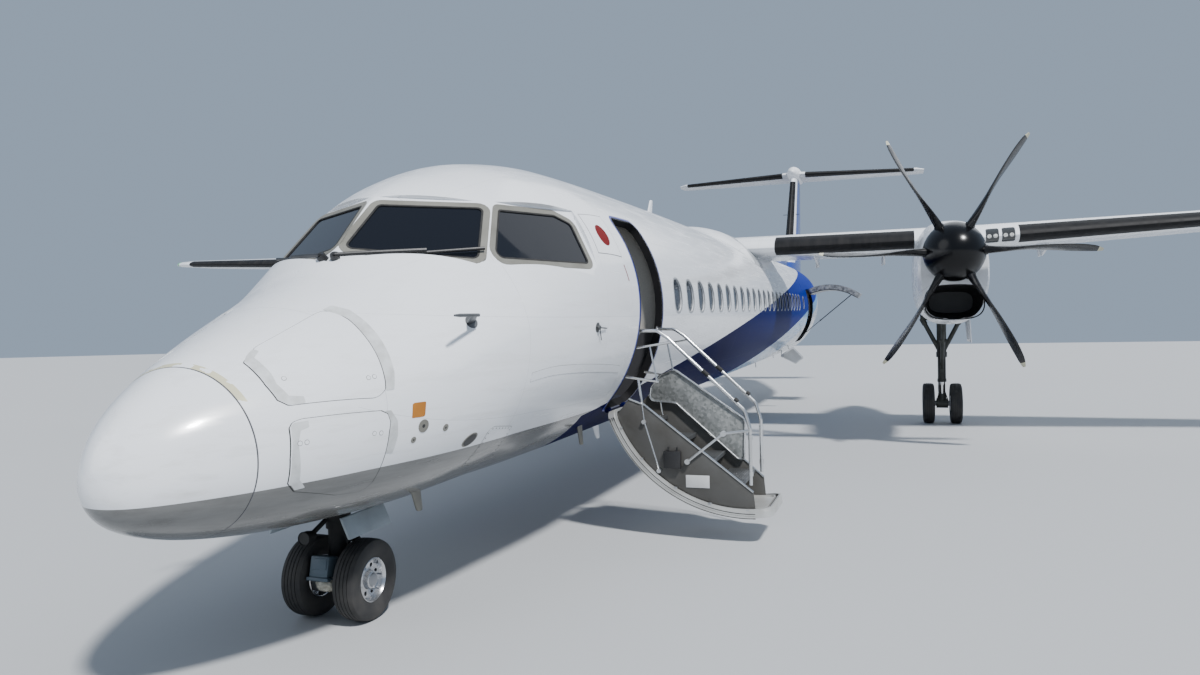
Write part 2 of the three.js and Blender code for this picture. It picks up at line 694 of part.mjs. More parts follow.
function outerWing() {
  const fairings = flapStations(FLAPS[1]).map(flapFairing);
  const whole = join(wingBetween(WING_JOINT, WING_SECTIONS[WING_SECTIONS.length - 1][0]), ...fairings);
  return whole.subtract(flapWell(FLAPS[1])).subtract(aileronWell());
}

function aileronWell() {
  const ring = (x) => {
    const { chord, faces } = wingFaces(x);
    return wellOutline(chord, faces, AILERON.hinge).map((p) => onWing(x, p));
  };
  return solid(loft([ring(AILERON.inner - END_GAP), ring(AILERON.outer + END_GAP)]));
}

function aileron() {
  const ends = [AILERON.inner, AILERON.outer];
  const surface = loft(ends.map((x) => {
    const { chord, faces } = wingFaces(x);
    return hingedOutline(chord, faces, AILERON.hinge).map((p) => onWing(x, p));
  }));
  const [inner, outer] = ends.map((x) => {
    const { chord, faces } = wingFaces(x);
    const { y, z } = hingeIn(chord, faces, AILERON.hinge);
    return onWing(x, [y, z]);
  });
  return join(surface, ...endPins(inner, outer));
}

// Nacelle

function nacelleRing([station, halfWidth, top, bottom, power], inset = 0) {
  const sides = 24;
  const middle = (top + bottom) / 2;
  const tall = (top - bottom) / 2 - inset;
  return Array.from({ length: sides }, (_, i) => {
    const angle = (2 * Math.PI * i) / sides;
    const c = Math.cos(angle);
    const s = Math.sin(angle);
    const x = (halfWidth - inset) * Math.sign(c) * Math.abs(c) ** (2 / power);
    const z = middle + tall * Math.sign(s) * Math.abs(s) ** (2 / power);
    return new THREE.Vector3(NACELLE_X + x, station, z);
  });
}

function intakeRing(station, inset) {
  const sides = 16;
  const middle = (INTAKE.top + INTAKE.bottom) / 2;
  return Array.from({ length: sides }, (_, i) => {
    const angle = (2 * Math.PI * i) / sides;
    const c = Math.cos(angle);
    const s = Math.sin(angle);
    const x = (INTAKE.halfWidth - inset) * Math.sign(c) * Math.abs(c) ** 0.6;
    const z = middle + ((INTAKE.top - INTAKE.bottom) / 2 - inset) * Math.sign(s) * Math.abs(s) ** 0.7;
    return new THREE.Vector3(NACELLE_X + x, station, z);
  });
}

const wingCutter = solid(wingBetween(3500, 5300, SEAT));

function nacelle() {
  const outer = solid(loft(NACELLE_SECTIONS.map((row) => nacelleRing(row))));
  const engineBay = solid(block(
    [NACELLE_X - ENGINE.halfWidth - 60, ENGINE.front - 60, ENGINE.bottom - SEAT],
    [NACELLE_X + ENGINE.halfWidth + 60, WHEEL_BAY.front + 10, ENGINE.top - 60],
  ));
  const duct = solid(loft([
    intakeRing(NACELLE_SECTIONS[0][0] - 50, 0),
    intakeRing(NACELLE_SECTIONS[0][0] + INTAKE.depth, 90),
  ]));
  const bay = solid(block(
    [NACELLE_X - WHEEL_BAY.halfWidth, WHEEL_BAY.front, -600],
    [NACELLE_X + WHEEL_BAY.halfWidth, WHEEL_BAY.back, WHEEL_BAY.top],
  ));
  const pipe = solid(bar(
    [NACELLE_X + 100, EXHAUST.station, EXHAUST.height],
    [NACELLE_X + 700, EXHAUST.station + 260, EXHAUST.height - 20],
    EXHAUST.radius,
  ));
  return outer.subtract(engineBay).subtract(duct).subtract(bay).subtract(pipe).subtract(wingCutter);
}

function engineBlock() {
  return solid(block(
    [NACELLE_X - ENGINE.halfWidth, ENGINE.front, ENGINE.bottom],
    [NACELLE_X + ENGINE.halfWidth, ENGINE.back, ENGINE.top - 200],
  ));
}

// Propeller, built about its hub with the shaft along y

function bladeRing([radius, chord, thickness, angle, sweep]) {
  const outline = [
    [-0.5, 0], [-0.2, 0.5], [0.2, 0.42], [0.5, 0.06],
    [0.5, -0.06], [0.2, -0.35], [-0.2, -0.4],
  ];
  const turn = THREE.MathUtils.degToRad(angle);
  return outline.map(([along, across]) => {
    const a = along * chord + sweep;
    const b = across * thickness;
    const x = a * Math.cos(turn) - b * Math.sin(turn);
    const y = a * Math.sin(turn) + b * Math.cos(turn);
    return new THREE.Vector3(x, y, radius);
  });
}

function propeller() {
  const shaftEnd = NACELLE_SECTIONS[0][0] - SEAT - HUB.station;
  const profile = [...SPINNER_PROFILE, [SHAFT_RADIUS, shaftEnd], [0, shaftEnd]];
  const spinner = new THREE.LatheGeometry(profile.map(([r, y]) => new THREE.Vector2(r, y)), 24);
  let shape = solid(spinner);
  for (let i = 0; i < BLADE_COUNT; i += 1) {
    const blade = loft(BLADE_SECTIONS.map(bladeRing));
    blade.rotateY((2 * Math.PI * (i + 0.5)) / BLADE_COUNT);
    shape = shape.add(solid(blade));
  }
  return shape;
}

// Tail

function finFaces(height) {
  const [, leading, chord, thickness] = sectionAt(FIN_SECTIONS, height);
  return { leading, chord, faces: faceHeights(chord, thickness, false) };
}

function onFin(height, [y, x]) {
  return new THREE.Vector3(x, finFaces(height).leading + y, height);
}

function finRing(height, outline, ...rest) {
  const { chord, faces } = finFaces(height);
  return outline(chord, faces, ...rest).map((p) => onFin(height, p));
}

function fin() {
  const blade = loft([FIN_ROOT, FIN_TOP].map((z) => finRing(z, sectionOutline)));
  const ridge = loft([-55, 55].map((x) => DORSAL.map(([y, z]) => new THREE.Vector3(x, y, z))));
  const ends = [RUDDER_ROOT - RUDDER_GAP, RUDDER_TOP + RUDDER_GAP];
  const well = solid(loft(ends.map((z) => finRing(z, wellOutline, FIN_HINGE, FIN_NOSE_GAP))));
  return join(blade, ridge).subtract(well).subtract(solid(body(22000, 31000, -SEAT)));
}

function rudderHinge(z, share) {
  const { chord } = finFaces(z);
  return onFin(z, [share * chord, 0]);
}

function rudderFront() {
  const ends = [RUDDER_ROOT, RUDDER_TOP];
  const pins = endPins(...ends.map((z) => rudderHinge(z, FIN_HINGE)), RUDDER_GAP);
  const whole = join(loft(ends.map((z) => finRing(z, hingedOutline, FIN_HINGE))), ...pins);
  const well = loft([RUDDER_ROOT - 100, RUDDER_TOP + 100].map((z) => {
    return finRing(z, wellOutline, RUDDER_SPLIT, FIN_NOSE_GAP);
  }));
  return whole.subtract(solid(well));
}

// The trailing rudder turns on discs that reach across the gap to the well in front of it
function rudderRear() {
  const surface = loft([RUDDER_ROOT, RUDDER_TOP].map((z) => finRing(z, hingedOutline, RUDDER_SPLIT)));
  const [low, high] = [RUDDER_ROOT, RUDDER_TOP].map((z) => rudderHinge(z, RUDDER_SPLIT));
  const upright = high.clone().sub(low).normalize().z;
  const discs = RUDDER_DISCS.map((z) => {
    const { chord, faces } = finFaces(z + 2 * DISC_HALF);
    const { radius } = hingeIn(chord, faces, RUDDER_SPLIT);
    const reach = (radius + FIN_NOSE_GAP) * Math.cos(Math.PI / 2 / NOSE_STEPS) * upright - SEAT - DISC_EASE;
    const ends = [z - DISC_HALF, z + DISC_HALF].map((height) => rudderHinge(height, RUDDER_SPLIT).toArray());
    return bar(...ends, reach, 12);
  });
  return join(surface, ...discs);
}

function tailplaneFaces(x) {
  const [, leading, chord, thickness] = sectionAt(TAILPLANE_SECTIONS, x);
  return { leading, chord, faces: faceHeights(chord, thickness, false) };
}

function onTailplane(x, [y, z]) {
  return new THREE.Vector3(x, tailplaneFaces(x).leading + y, TAILPLANE_HEIGHT + z);
}

function tailplaneRing(x, outline, ...rest) {
  const { chord, faces } = tailplaneFaces(x);
  return outline(chord, faces, ...rest).map((p) => onTailplane(x, p));
}

function tailplane() {
  const stations = TAILPLANE_SECTIONS.map((row) => row[0]);
  const half = solid(loft(stations.map((x) => tailplaneRing(x, sectionOutline))));
  const wellStations = [ELEVATOR.inner - END_GAP, ELEVATOR.outer, ELEVATOR.outer + END_GAP];
  const well = solid(loft(wellStations.map((x) => tailplaneRing(x, wellOutline, ELEVATOR.hinge))));
  return bothSides(half.subtract(well));
}

function elevator() {
  const ends = [ELEVATOR.inner, ELEVATOR.outer];
  const pins = endPins(...ends.map((x) => onTailplane(x, [ELEVATOR.hinge * tailplaneFaces(x).chord, 0])));
  return join(loft(ends.map((x) => tailplaneRing(x, hingedOutline, ELEVATOR.hinge))), ...pins);
}

function bullet() {
  const profile = BULLET.map(([y, r]) => new THREE.Vector2(r, y));
  const pod = new THREE.LatheGeometry(profile, 20);
  pod.translate(0, 0, BULLET_HEIGHT);
  const slot = solid(loft([-400, 0, 400].map((x) => {
    const { chord, faces } = tailplaneFaces(Math.abs(x));
    return grown(sectionOutline(chord, faces), SEAT).map((p) => onTailplane(Math.abs(x), p).setX(x));
  })));
  const finSlot = solid(loft([4700, FIN_TOP + SEAT].map((z) => {
    const { chord, faces } = finFaces(z);
    return grown(sectionOutline(chord, faces), SEAT).map((p) => onFin(z, p));
  })));
  return solid(pod).subtract(slot).subtract(finSlot);
}

// Gear

// Rims and axle in one turning, with the tyres' seats at the given spread
function wheelPair({ spread, tyreWidth, rim, axle }) {
  const outer = spread + tyreWidth * 0.36;
  const inner = spread - tyreWidth * 0.36;
  const half = [
    [axle, inner + 40], [rim * 0.82, inner], [rim, inner], [rim, outer], [rim * 0.84, outer],
    [rim * 0.42, outer - 45], [rim * 0.36, outer + 12], [0, outer + 12],
  ];
  const other = half.map(([r, x]) => [r, -x]).reverse();
  const profile = [...other, ...half].map(([r, x]) => new THREE.Vector2(r, x));
  const geometry = new THREE.LatheGeometry(profile, GEAR_SIDES);
  return solid(geometry.rotateZ(-Math.PI / 2).rotateX(HALF_SIDE - TILT));
}

function tyre({ tyreRadius, tyreWidth, rim }) {
  const half = tyreWidth / 2;
  const bead = rim + SEAT;
  const crown = tyreRadius / Math.cos(HALF_SIDE);
  const profile = [
    [bead, -0.7 * half], [0.6 * crown + 0.4 * bead, -half], [0.93 * crown, -0.86 * half],
    [0.99 * crown, -0.55 * half], [crown, 0], [0.99 * crown, 0.55 * half],
    [0.93 * crown, 0.86 * half], [0.6 * crown + 0.4 * bead, half], [bead, 0.7 * half],
    [bead, -0.7 * half],
  ].map(([r, x]) => new THREE.Vector2(r, x));
  const geometry = new THREE.LatheGeometry(profile, GEAR_SIDES);
  return geometry.rotateZ(-Math.PI / 2).rotateX(HALF_SIDE - TILT);
}

function noseAxis(height) {
  const { aft, tyreRadius } = NOSE_GEAR;
  const share = (height - tyreRadius) / (NOSE_LEG.headHeight - tyreRadius);
  return fromGround(0, aft + share * (NOSE_LEG.headAft - aft), height);
}

function noseFork() {
  const { aft, tyreRadius, axle } = NOSE_GEAR;
  const { radius, boss, bossHalf } = NOSE_POST;
  const low = noseAxis(tyreRadius);
  const across = (half) => [[-half, low[1], low[2]], [half, low[1], low[2]]];
  const post = bar(low, noseAxis(NOSE_LEG.joint - SEAT), radius, 16);
  const link = block(...NOSE_LINK.map(([x, behind, height]) => fromGround(x, aft + behind, height)));
  const bore = solid(bar(...across(300), axle + AXLE_GAP, 24));
  return join(post, bar(...across(bossHalf), boss, 16), link).subtract(bore);
}

function noseLeg() {
  const { aft } = NOSE_GEAR;
  const top = noseAxis(NOSE_LEG.headHeight);
  const strut = bar(noseAxis(NOSE_LEG.joint), top, NOSE_LEG.radius, 16);
  const reach = NOSE_BAY.halfWidth - SEAT;
  const pinHeight = top[2] - NOSE_LEG.pinDrop;
  const pins = bar([-reach, top[1], pinHeight], [reach, top[1], pinHeight], NOSE_LEG.pin, 12);
  const braceHead = [0, NOSE_BAY.front + NOSE_BRACE.headAft, NOSE_BAY.top + NOSE_BRACE.headUp];
  const brace = bar(noseAxis(NOSE_BRACE.height), braceHead, NOSE_BRACE.radius, 10);
  const roof = NOSE_BAY.top - SEAT;
  const placed = ([x, behind, height]) => fromGround(x, aft + behind, height);
  const lamp = bar(...NOSE_LAMP.ends.map(placed), NOSE_LAMP.radius, 16);
  const lampArm = bar(placed(LAMP_ARM.foot), noseAxis(LAMP_ARM.height), LAMP_ARM.radius, 8);
  const above = solid(block([-400, 900, roof], [400, 2500, roof + 400]));
  return join(strut, pins, brace, lamp, lampArm).subtract(above);
}

function mainLeg() {
  const { aft, tyreRadius, axle } = MAIN_GEAR;
  const x = NACELLE_X;
  const placed = ([behind, height], aside = 0) => fromGround(x + aside, aft + behind, height);
  const low = placed([0, tyreRadius]);
  const knee = placed(MAIN_LEG.knee);
  const dragTop = placed(MAIN_LEG.dragTop);
  const across = ([, y, z], half) => [[x - half, y, z], [x + half, y, z]];
  const reach = WHEEL_BAY.halfWidth - SEAT;
  const arms = [-1, 1].map((sign) => {
    return bar(knee, placed(MAIN_LEG.armEnd, sign * MAIN_LEG.armSpread), MAIN_RADII.arm, 8);
  });
  const bore = solid(bar(...across(low, 400), axle + AXLE_GAP, 24));
  return join(
    bar(low, knee, MAIN_RADII.post, 12),
    bar(knee, placed(MAIN_LEG.head), MAIN_RADII.upper, 12),
    bar(...across(low, MAIN_LEG.bossHalf), MAIN_RADII.boss, 12),
    ...arms,
    bar(...across(placed(MAIN_LEG.trunnion), reach), MAIN_RADII.trunnion, 12),
    bar(placed(MAIN_LEG.dragFoot), dragTop, MAIN_RADII.drag, 8),
    bar(...across(dragTop, reach), MAIN_RADII.cross, 12),
  ).subtract(bore);
}

// Nose gear doors and main gear doors, hanging from the edges of their bays
function noseGearDoor(sign) {
  const edge = NOSE_BAY.halfWidth;
  const { front: from, back, top, drop, splay, half } = NOSE_DOOR;
  const outline = [
    [edge - half, -top], [edge + half, -top], [edge + splay + 2 * half, -drop], [edge + splay, -drop],
  ];
  const hang = solid(plate(outline.map(([x, z]) => [sign * x, z]), from, back));
  return hang.subtract(solid(body(RADOME_END, 2600, -SEAT)));
}

function mainGearDoor() {
  const edge = NACELLE_X + WHEEL_BAY.halfWidth;
  const outline = MAIN_DOOR.outline.map(([x, z]) => [edge + x, z]);
  const cutter = solid(loft(NACELLE_SECTIONS.map((row) => nacelleRing(row, -SEAT))));
  return solid(plate(outline, MAIN_DOOR.front, MAIN_DOOR.back)).subtract(cutter);
}

// Airstair, built shut about its hinge

function turnedPoint([x, z], pivot, degrees) {
  const angle = THREE.MathUtils.degToRad(degrees);
  const [dx, dz] = [x - pivot[0], z - pivot[1]];
  return [
    pivot[0] + dx * Math.cos(angle) - dz * Math.sin(angle),
    pivot[1] + dx * Math.sin(angle) + dz * Math.cos(angle),
  ];
}

const stairHinge = [
  TUBE_RADIUS * Math.cos(THREE.MathUtils.degToRad(STAIR.low)) + 6,
  TUBE_RADIUS * Math.sin(THREE.MathUtils.degToRad(STAIR.low)) - 20,
];
const hatchHinge = [
  TUBE_RADIUS * Math.cos(THREE.MathUtils.degToRad(HATCH.high)) + 14,
  TUBE_RADIUS * Math.sin(THREE.MathUtils.degToRad(HATCH.high)) + 10,
];


function shutFrom(points) {
  return points.map((point) => turnedPoint(point, stairHinge, STAIR.open));
}

// Two hinge barrels outside the skin, each with a strap onto the panel's outer face
function hingeLugs({ front: from, back, barrel }, [x, z], way) {
  const at = THREE.MathUtils.radToDeg(Math.atan2(z, x));
  const polar = (degrees, radius) => {
    const angle = THREE.MathUtils.degToRad(degrees);
    return [radius * Math.cos(angle), radius * Math.sin(angle)];
  };
  const end = at + way * LUG.arc;
  const strap = [
    polar(at, TUBE_RADIUS + 6), polar(at, TUBE_RADIUS + 30), polar(end, TUBE_RADIUS + 8),
    polar(end, TUBE_RADIUS - 12),
  ];
  return [from + LUG.inset, back - LUG.inset - LUG.width].flatMap((y) => {
    return [bar([x, y, z], [x, y + LUG.width, z], barrel, 24), plate(strap, y, y + LUG.width)];
  });
}

function stairSkin() {
  const panel = skinPatch(STAIR.front + SHUT_LINE, STAIR.back - SHUT_LINE, STAIR.low, STAIR.high,
    TUBE_RADIUS - 1, SKIN_INNER, 1, DOOR_TRIM);
  return join(panel, ...hingeLugs(STAIR, stairHinge, 1));
}

function stairSteps() {
  const radius = SKIN_INNER - SEAT - 4;
  const arc = Array.from({ length: 9 }, (_, i) => {
    const angle = THREE.MathUtils.degToRad(STAIR.low + 3 + i * 9);
    return [radius * Math.cos(angle), radius * Math.sin(angle)];
  });
  const edge = [...arc, ...shutFrom(PLATE_EDGE).reverse()];
  const near = STAIR.front + PLATE_INSET;
  const far = STAIR.back - PLATE_INSET - PLATE_THICKNESS;
  const cheeks = [near, far].map((y) => plate(edge, y, y + PLATE_THICKNESS));
  const treads = TREADS.map(([x, z]) => {
    const [back, under] = [x + TREAD_DEPTH, z - TREAD_THICKNESS];
    return plate(shutFrom([[x, z], [back, z], [back, under], [x, under]]), near + 10, far + 10);
  });
  const tube = (points, y, radius) => {
    const bends = shutFrom(points).map(([x, z]) => [x, y, z]);
    return bends.slice(1).map((bend, i) => bar(bends[i], bend, radius, 6));
  };
  const rails = [near + 10, far + 10].flatMap((y) => tube(RAIL, y, RAIL_RADIUS));
  const guard = plate(shutFrom(GUARD), far + 10, far + 10 + GUARD_THICKNESS);
  return join(...cheeks, ...treads, ...rails, guard, ...tube(LINK_ARM, near - 10, ARM_RADIUS));
}

function hatchPanel() {
  const panel = skinPatch(HATCH.front + SHUT_LINE, HATCH.back - SHUT_LINE, HATCH.low, HATCH.high,
    TUBE_RADIUS - 1, TUBE_RADIUS - HATCH.thickness, 1, DOOR_TRIM);
  return join(panel, ...hingeLugs(HATCH, hatchHinge, -1));
}

function hold() {
  const shell = solid(body(CABIN_END + SEAT, HOLD_END - SEAT));
  const { side: far, floor, top, margin } = HOLD_ROOM;
  const [from, to] = [HATCH.front - margin, HATCH.back + margin];
  const room = solid(body(from, to, WALL))
    .intersect(solid(block([far, from, floor], [LOBBY.high[0], to, top])));
  const opening = solid(skinPatch(HATCH.front, HATCH.back, HATCH.low, HATCH.high, ...SKIN_CUT));
  return shell.subtract(room).subtract(opening);
}

function wingFairing() {
  const steps = 16;
  const rings = FAIRING_ROWS.map(([y, halfWidth, rise]) => {
    const root = [-0.5, 0.5].map((share) => new THREE.Vector3(halfWidth * share, y, FAIRING_ROOT));
    return Array.from({ length: steps + 1 }, (_, i) => {
      const angle = (Math.PI * i) / steps;
      const x = halfWidth * Math.cos(angle);
      const base = Math.sqrt(TUBE_RADIUS ** 2 - x * x);
      return new THREE.Vector3(x, y, base + FAIRING_LIFT + rise * Math.sin(angle));
    }).concat(root);
  });
  return solid(loft(rings)).subtract(wingSlot).subtract(solid(body(10000, 19000, -SEAT)));
}

const wingSlot = solid(loft([-2600, 2600].map((x) => {
  return wingRing(Math.abs(x), SEAT).map((p) => new THREE.Vector3(x, p.y, p.z));
})));

function pilotSeat() {
  return solid(wall(SEAT_OUTLINE, ...SEAT_SIDES));
}

function instrumentPanel() {
  return solid(wall(PANEL_OUTLINE, -PANEL_HALF_WIDTH, PANEL_HALF_WIDTH));
}

// Assembly

const airframe = new THREE.Group();
airframe.rotation.x = TILT;
airframe.position.set(
  0,
  LEVEL_STATION * (1 - Math.cos(TILT)) - MIDSHIP,
  LEVEL_HEIGHT - LEVEL_STATION * Math.sin(TILT),
);

function put(name, shape, material, parent = airframe) {
  const geometry = shape.isBufferGeometry ? shape : geometryOf(shape);
  const mesh = new THREE.Mesh(geometry, material);
  mesh.name = name;
  parent.add(mesh);
  return mesh;
}

const shutRecesses = SHUT_DOORS.map(shutDoorRecess);
put("radome", body(0, RADOME_END - SEAT), WHITE);
put("nose_shell", noseShell(), WHITE);
put("door_section", vestibule().subtract(shutRecesses[2]), WHITE);
const cabin = solid(body(VESTIBULE_END + SEAT, CABIN_END - SEAT)).subtract(wingSlot);
put("cabin_section", cabin.subtract(shutRecesses[0]).subtract(shutRecesses[1]), WHITE);
put("hold_section", hold(), WHITE);
const tailRoom = solid(body(HOLD_END, TAIL_ROOM_END, WALL))
  .add(solid(body(HOLD_END - 20, HOLD_END + 20, WALL)));
put("tail_section", solid(body(HOLD_END + SEAT, TAIL_END)).subtract(tailRoom), BLUE);
put("wing_fairing", wingFairing(), WHITE);
put("windscreen_port", glass(screenCorners, front.normal), GLASS);
put("windscreen_starboard", mirrored(glass(screenCorners, front.normal)), GLASS);
put("side_window_port", glass(sideCorners, side.normal), GLASS);
put("side_window_starboard", mirrored(glass(sideCorners, side.normal)), GLASS);
put("instrument_panel", instrumentPanel(), INTERIOR);
put("pilot_seat_port", pilotSeat(), INTERIOR);
put("pilot_seat_starboard", mirrored(pilotSeat()), INTERIOR);
SHUT_DOORS.forEach((row) => put(row[0], shutDoor(row), WHITE));

put("wing_centre", wingCentre(), WHITE);
[["port", (shape) => shape], ["starboard", mirrored]].forEach(([word, place]) => {
  put(`outer_wing_${word}`, place(outerWing()), WHITE);
  FLAPS.forEach((row) => put(`${row[0]}_${word}`, place(flap(row)), WHITE));
  put(`aileron_${word}`, place(aileron()), WHITE);
  put(`nacelle_${word}`, place(nacelle()), WHITE);
  put(`engine_${word}`, place(engineBlock()), DARK_STEEL);
  put(`main_leg_${word}`, place(mainLeg()), GREY);
  put(`main_gear_door_${word}`, place(mainGearDoor()), WHITE);
  put(`elevator_${word}`, place(elevator()), WHITE);
  const sign = word === "port" ? 1 : -1;
  put(`nose_gear_door_${word}`, noseGearDoor(sign), WHITE);
  const disc = put(`propeller_${word}`, propeller(), BLACK);
  disc.position.set(sign * NACELLE_X, HUB.station, HUB.height);
  const axle = new THREE.Group();
  axle.position.set(...fromGround(sign * NACELLE_X, MAIN_GEAR.aft, MAIN_GEAR.tyreRadius));
  airframe.add(axle);
  put(`main_wheels_${word}`, wheelPair(MAIN_GEAR), STEEL, axle);
  [["inboard", -sign], ["outboard", sign]].forEach(([end, way]) => {
    const rubber = put(`main_tyre_${word}_${end}`, tyre(MAIN_GEAR), RUBBER, axle);
    rubber.position.x = way * MAIN_GEAR.spread;
  });
});

put("fin", fin(), BLUE);
put("rudder_front", rudderFront(), BLUE);
put("rudder_rear", rudderRear(), BLUE);
put("tail_bullet", bullet(), WHITE);
put("tailplane", tailplane(), WHITE);

put("nose_leg", noseLeg(), GREY);
put("nose_fork", noseFork(), DARK_STEEL);
const noseAxle = new THREE.Group();
noseAxle.position.set(...fromGround(0, NOSE_GEAR.aft, NOSE_GEAR.tyreRadius));
airframe.add(noseAxle);
put("nose_wheels", wheelPair(NOSE_GEAR), STEEL, noseAxle);
[["port", 1], ["starboard", -1]].forEach(([word, sign]) => {
  const rubber = put(`nose_tyre_${word}`, tyre(NOSE_GEAR), RUBBER, noseAxle);
  rubber.position.x = sign * NOSE_GEAR.spread;
});

// A door panel built shut, then swung open about its hinge line
function swung([x, z], degrees) {
  const outer = new THREE.Group();
  outer.position.set(x, 0, z);
  outer.rotation.y = THREE.MathUtils.degToRad(degrees);
  const inner = new THREE.Group();
  inner.position.set(-x, 0, -z);
  outer.add(inner);
  airframe.add(outer);
  return inner;
}

const stair = swung(stairHinge, STAIR.open);
put("airstair_skin", stairSkin(), WHITE, stair);
put("airstair_steps", stairSteps(), ALLOY, stair);
const hatch = swung(hatchHinge, -HATCH.open);
put("baggage_door", hatchPanel(), WHITE, hatch);

export default airframe;
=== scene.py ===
# A twin-engined regional turboprop airliner, parked with its airstair and baggage door open.
# Metres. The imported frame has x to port, y aft and z up; the airframe's own axes start at the
# nose tip and the middle of the cabin tube, and lean a little nose-down with the aircraft.
import math
import random

import bmesh
import bpy
from mathutils import Matrix, Vector


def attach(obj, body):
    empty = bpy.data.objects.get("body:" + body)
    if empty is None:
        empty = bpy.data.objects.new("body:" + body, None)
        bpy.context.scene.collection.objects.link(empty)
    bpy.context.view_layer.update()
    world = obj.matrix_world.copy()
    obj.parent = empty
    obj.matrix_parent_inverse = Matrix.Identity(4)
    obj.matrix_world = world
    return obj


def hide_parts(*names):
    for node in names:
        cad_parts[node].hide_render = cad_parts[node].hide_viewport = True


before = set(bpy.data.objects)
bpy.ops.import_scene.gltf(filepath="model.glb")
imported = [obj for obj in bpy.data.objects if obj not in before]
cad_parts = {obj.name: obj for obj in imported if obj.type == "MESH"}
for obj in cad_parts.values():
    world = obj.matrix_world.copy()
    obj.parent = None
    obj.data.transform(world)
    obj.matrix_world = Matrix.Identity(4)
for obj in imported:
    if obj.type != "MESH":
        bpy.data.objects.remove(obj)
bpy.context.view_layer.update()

# Camera, floor and light
# The viewpoint of the photograph, close to the nose at a standing person's height, a pale floor
# that curves away behind, and broad soft lights as in a hangar.
UP = Vector((0, 0, 1))
EYE = (3.489, -19.272, 1.809)
camera_data = bpy.data.cameras.new("camera")
camera_data.sensor_width = 36.0
camera_data.lens = 25.592
camera_data.clip_start = 0.05
camera_data.clip_end = 600.0
camera = bpy.data.objects.new("camera", camera_data)
bpy.context.scene.collection.objects.link(camera)
heading, rise, roll = (math.radians(a) for a in (19.010, 0.123, -0.849))
ahead = Vector((-math.sin(heading) * math.cos(rise), math.cos(heading) * math.cos(rise), math.sin(rise)))
level_right = ahead.cross(UP).normalized()
level_up = level_right.cross(ahead)
right = level_right * math.cos(roll) + level_up * math.sin(roll)
up = level_up * math.cos(roll) - level_right * math.sin(roll)
turn = Matrix((right, up, -ahead)).transposed()
camera.matrix_world = Matrix.Translation(EYE) @ turn.to_4x4()
bpy.context.scene.camera = camera

floor_mesh = bpy.data.meshes.new("floor")
bm = bmesh.new()
bmesh.ops.create_grid(bm, x_segments=1, y_segments=1, size=150)
bm.to_mesh(floor_mesh)
bm.free()
floor = bpy.data.objects.new("floor", floor_mesh)
bpy.context.scene.collection.objects.link(floor)
floor_paint = bpy.data.materials.new("pale_floor")
floor_paint.use_nodes = True
floor_shader = floor_paint.node_tree.nodes["Principled BSDF"]
floor_shader.inputs["Base Color"].default_value = (0.44, 0.45, 0.46, 1)
floor_shader.inputs["Roughness"].default_value = 0.75
floor_mesh.materials.append(floor_paint)

world = bpy.data.worlds.new("studio")
world.use_nodes = True
background = world.node_tree.nodes["Background"]
background.inputs["Color"].default_value = (0.50, 0.63, 0.82, 1)
background.inputs["Strength"].default_value = 0.62
bpy.context.scene.world = world

LIGHTS = {
    # name: (direction the light comes from, strength, softness in degrees)
    "key": ((0.9, -0.75, 1.5), 5.4, 5.0),
    "fill": ((-1.2, -0.8, 0.7), 0.5, 40.0),
    "back": ((0.3, 1.4, 1.0), 0.4, 40.0),
}
for name, (source, strength, softness) in LIGHTS.items():
    lamp = bpy.data.lights.new(name, "SUN")
    lamp.energy = strength
    lamp.angle = math.radians(softness)
    holder = bpy.data.objects.new(name, lamp)
    holder.rotation_euler = Vector(source).to_track_quat("Z", "Y").to_euler()
    bpy.context.scene.collection.objects.link(holder)

# Skin of the tube
# Sheet aluminium on frames and stringers, painted gloss white, with a grey belly and a blue sweep
# that rises along the side. Lofted from the same table of stations as the solid tube.
NOSE_DOWN = math.radians(1.7)
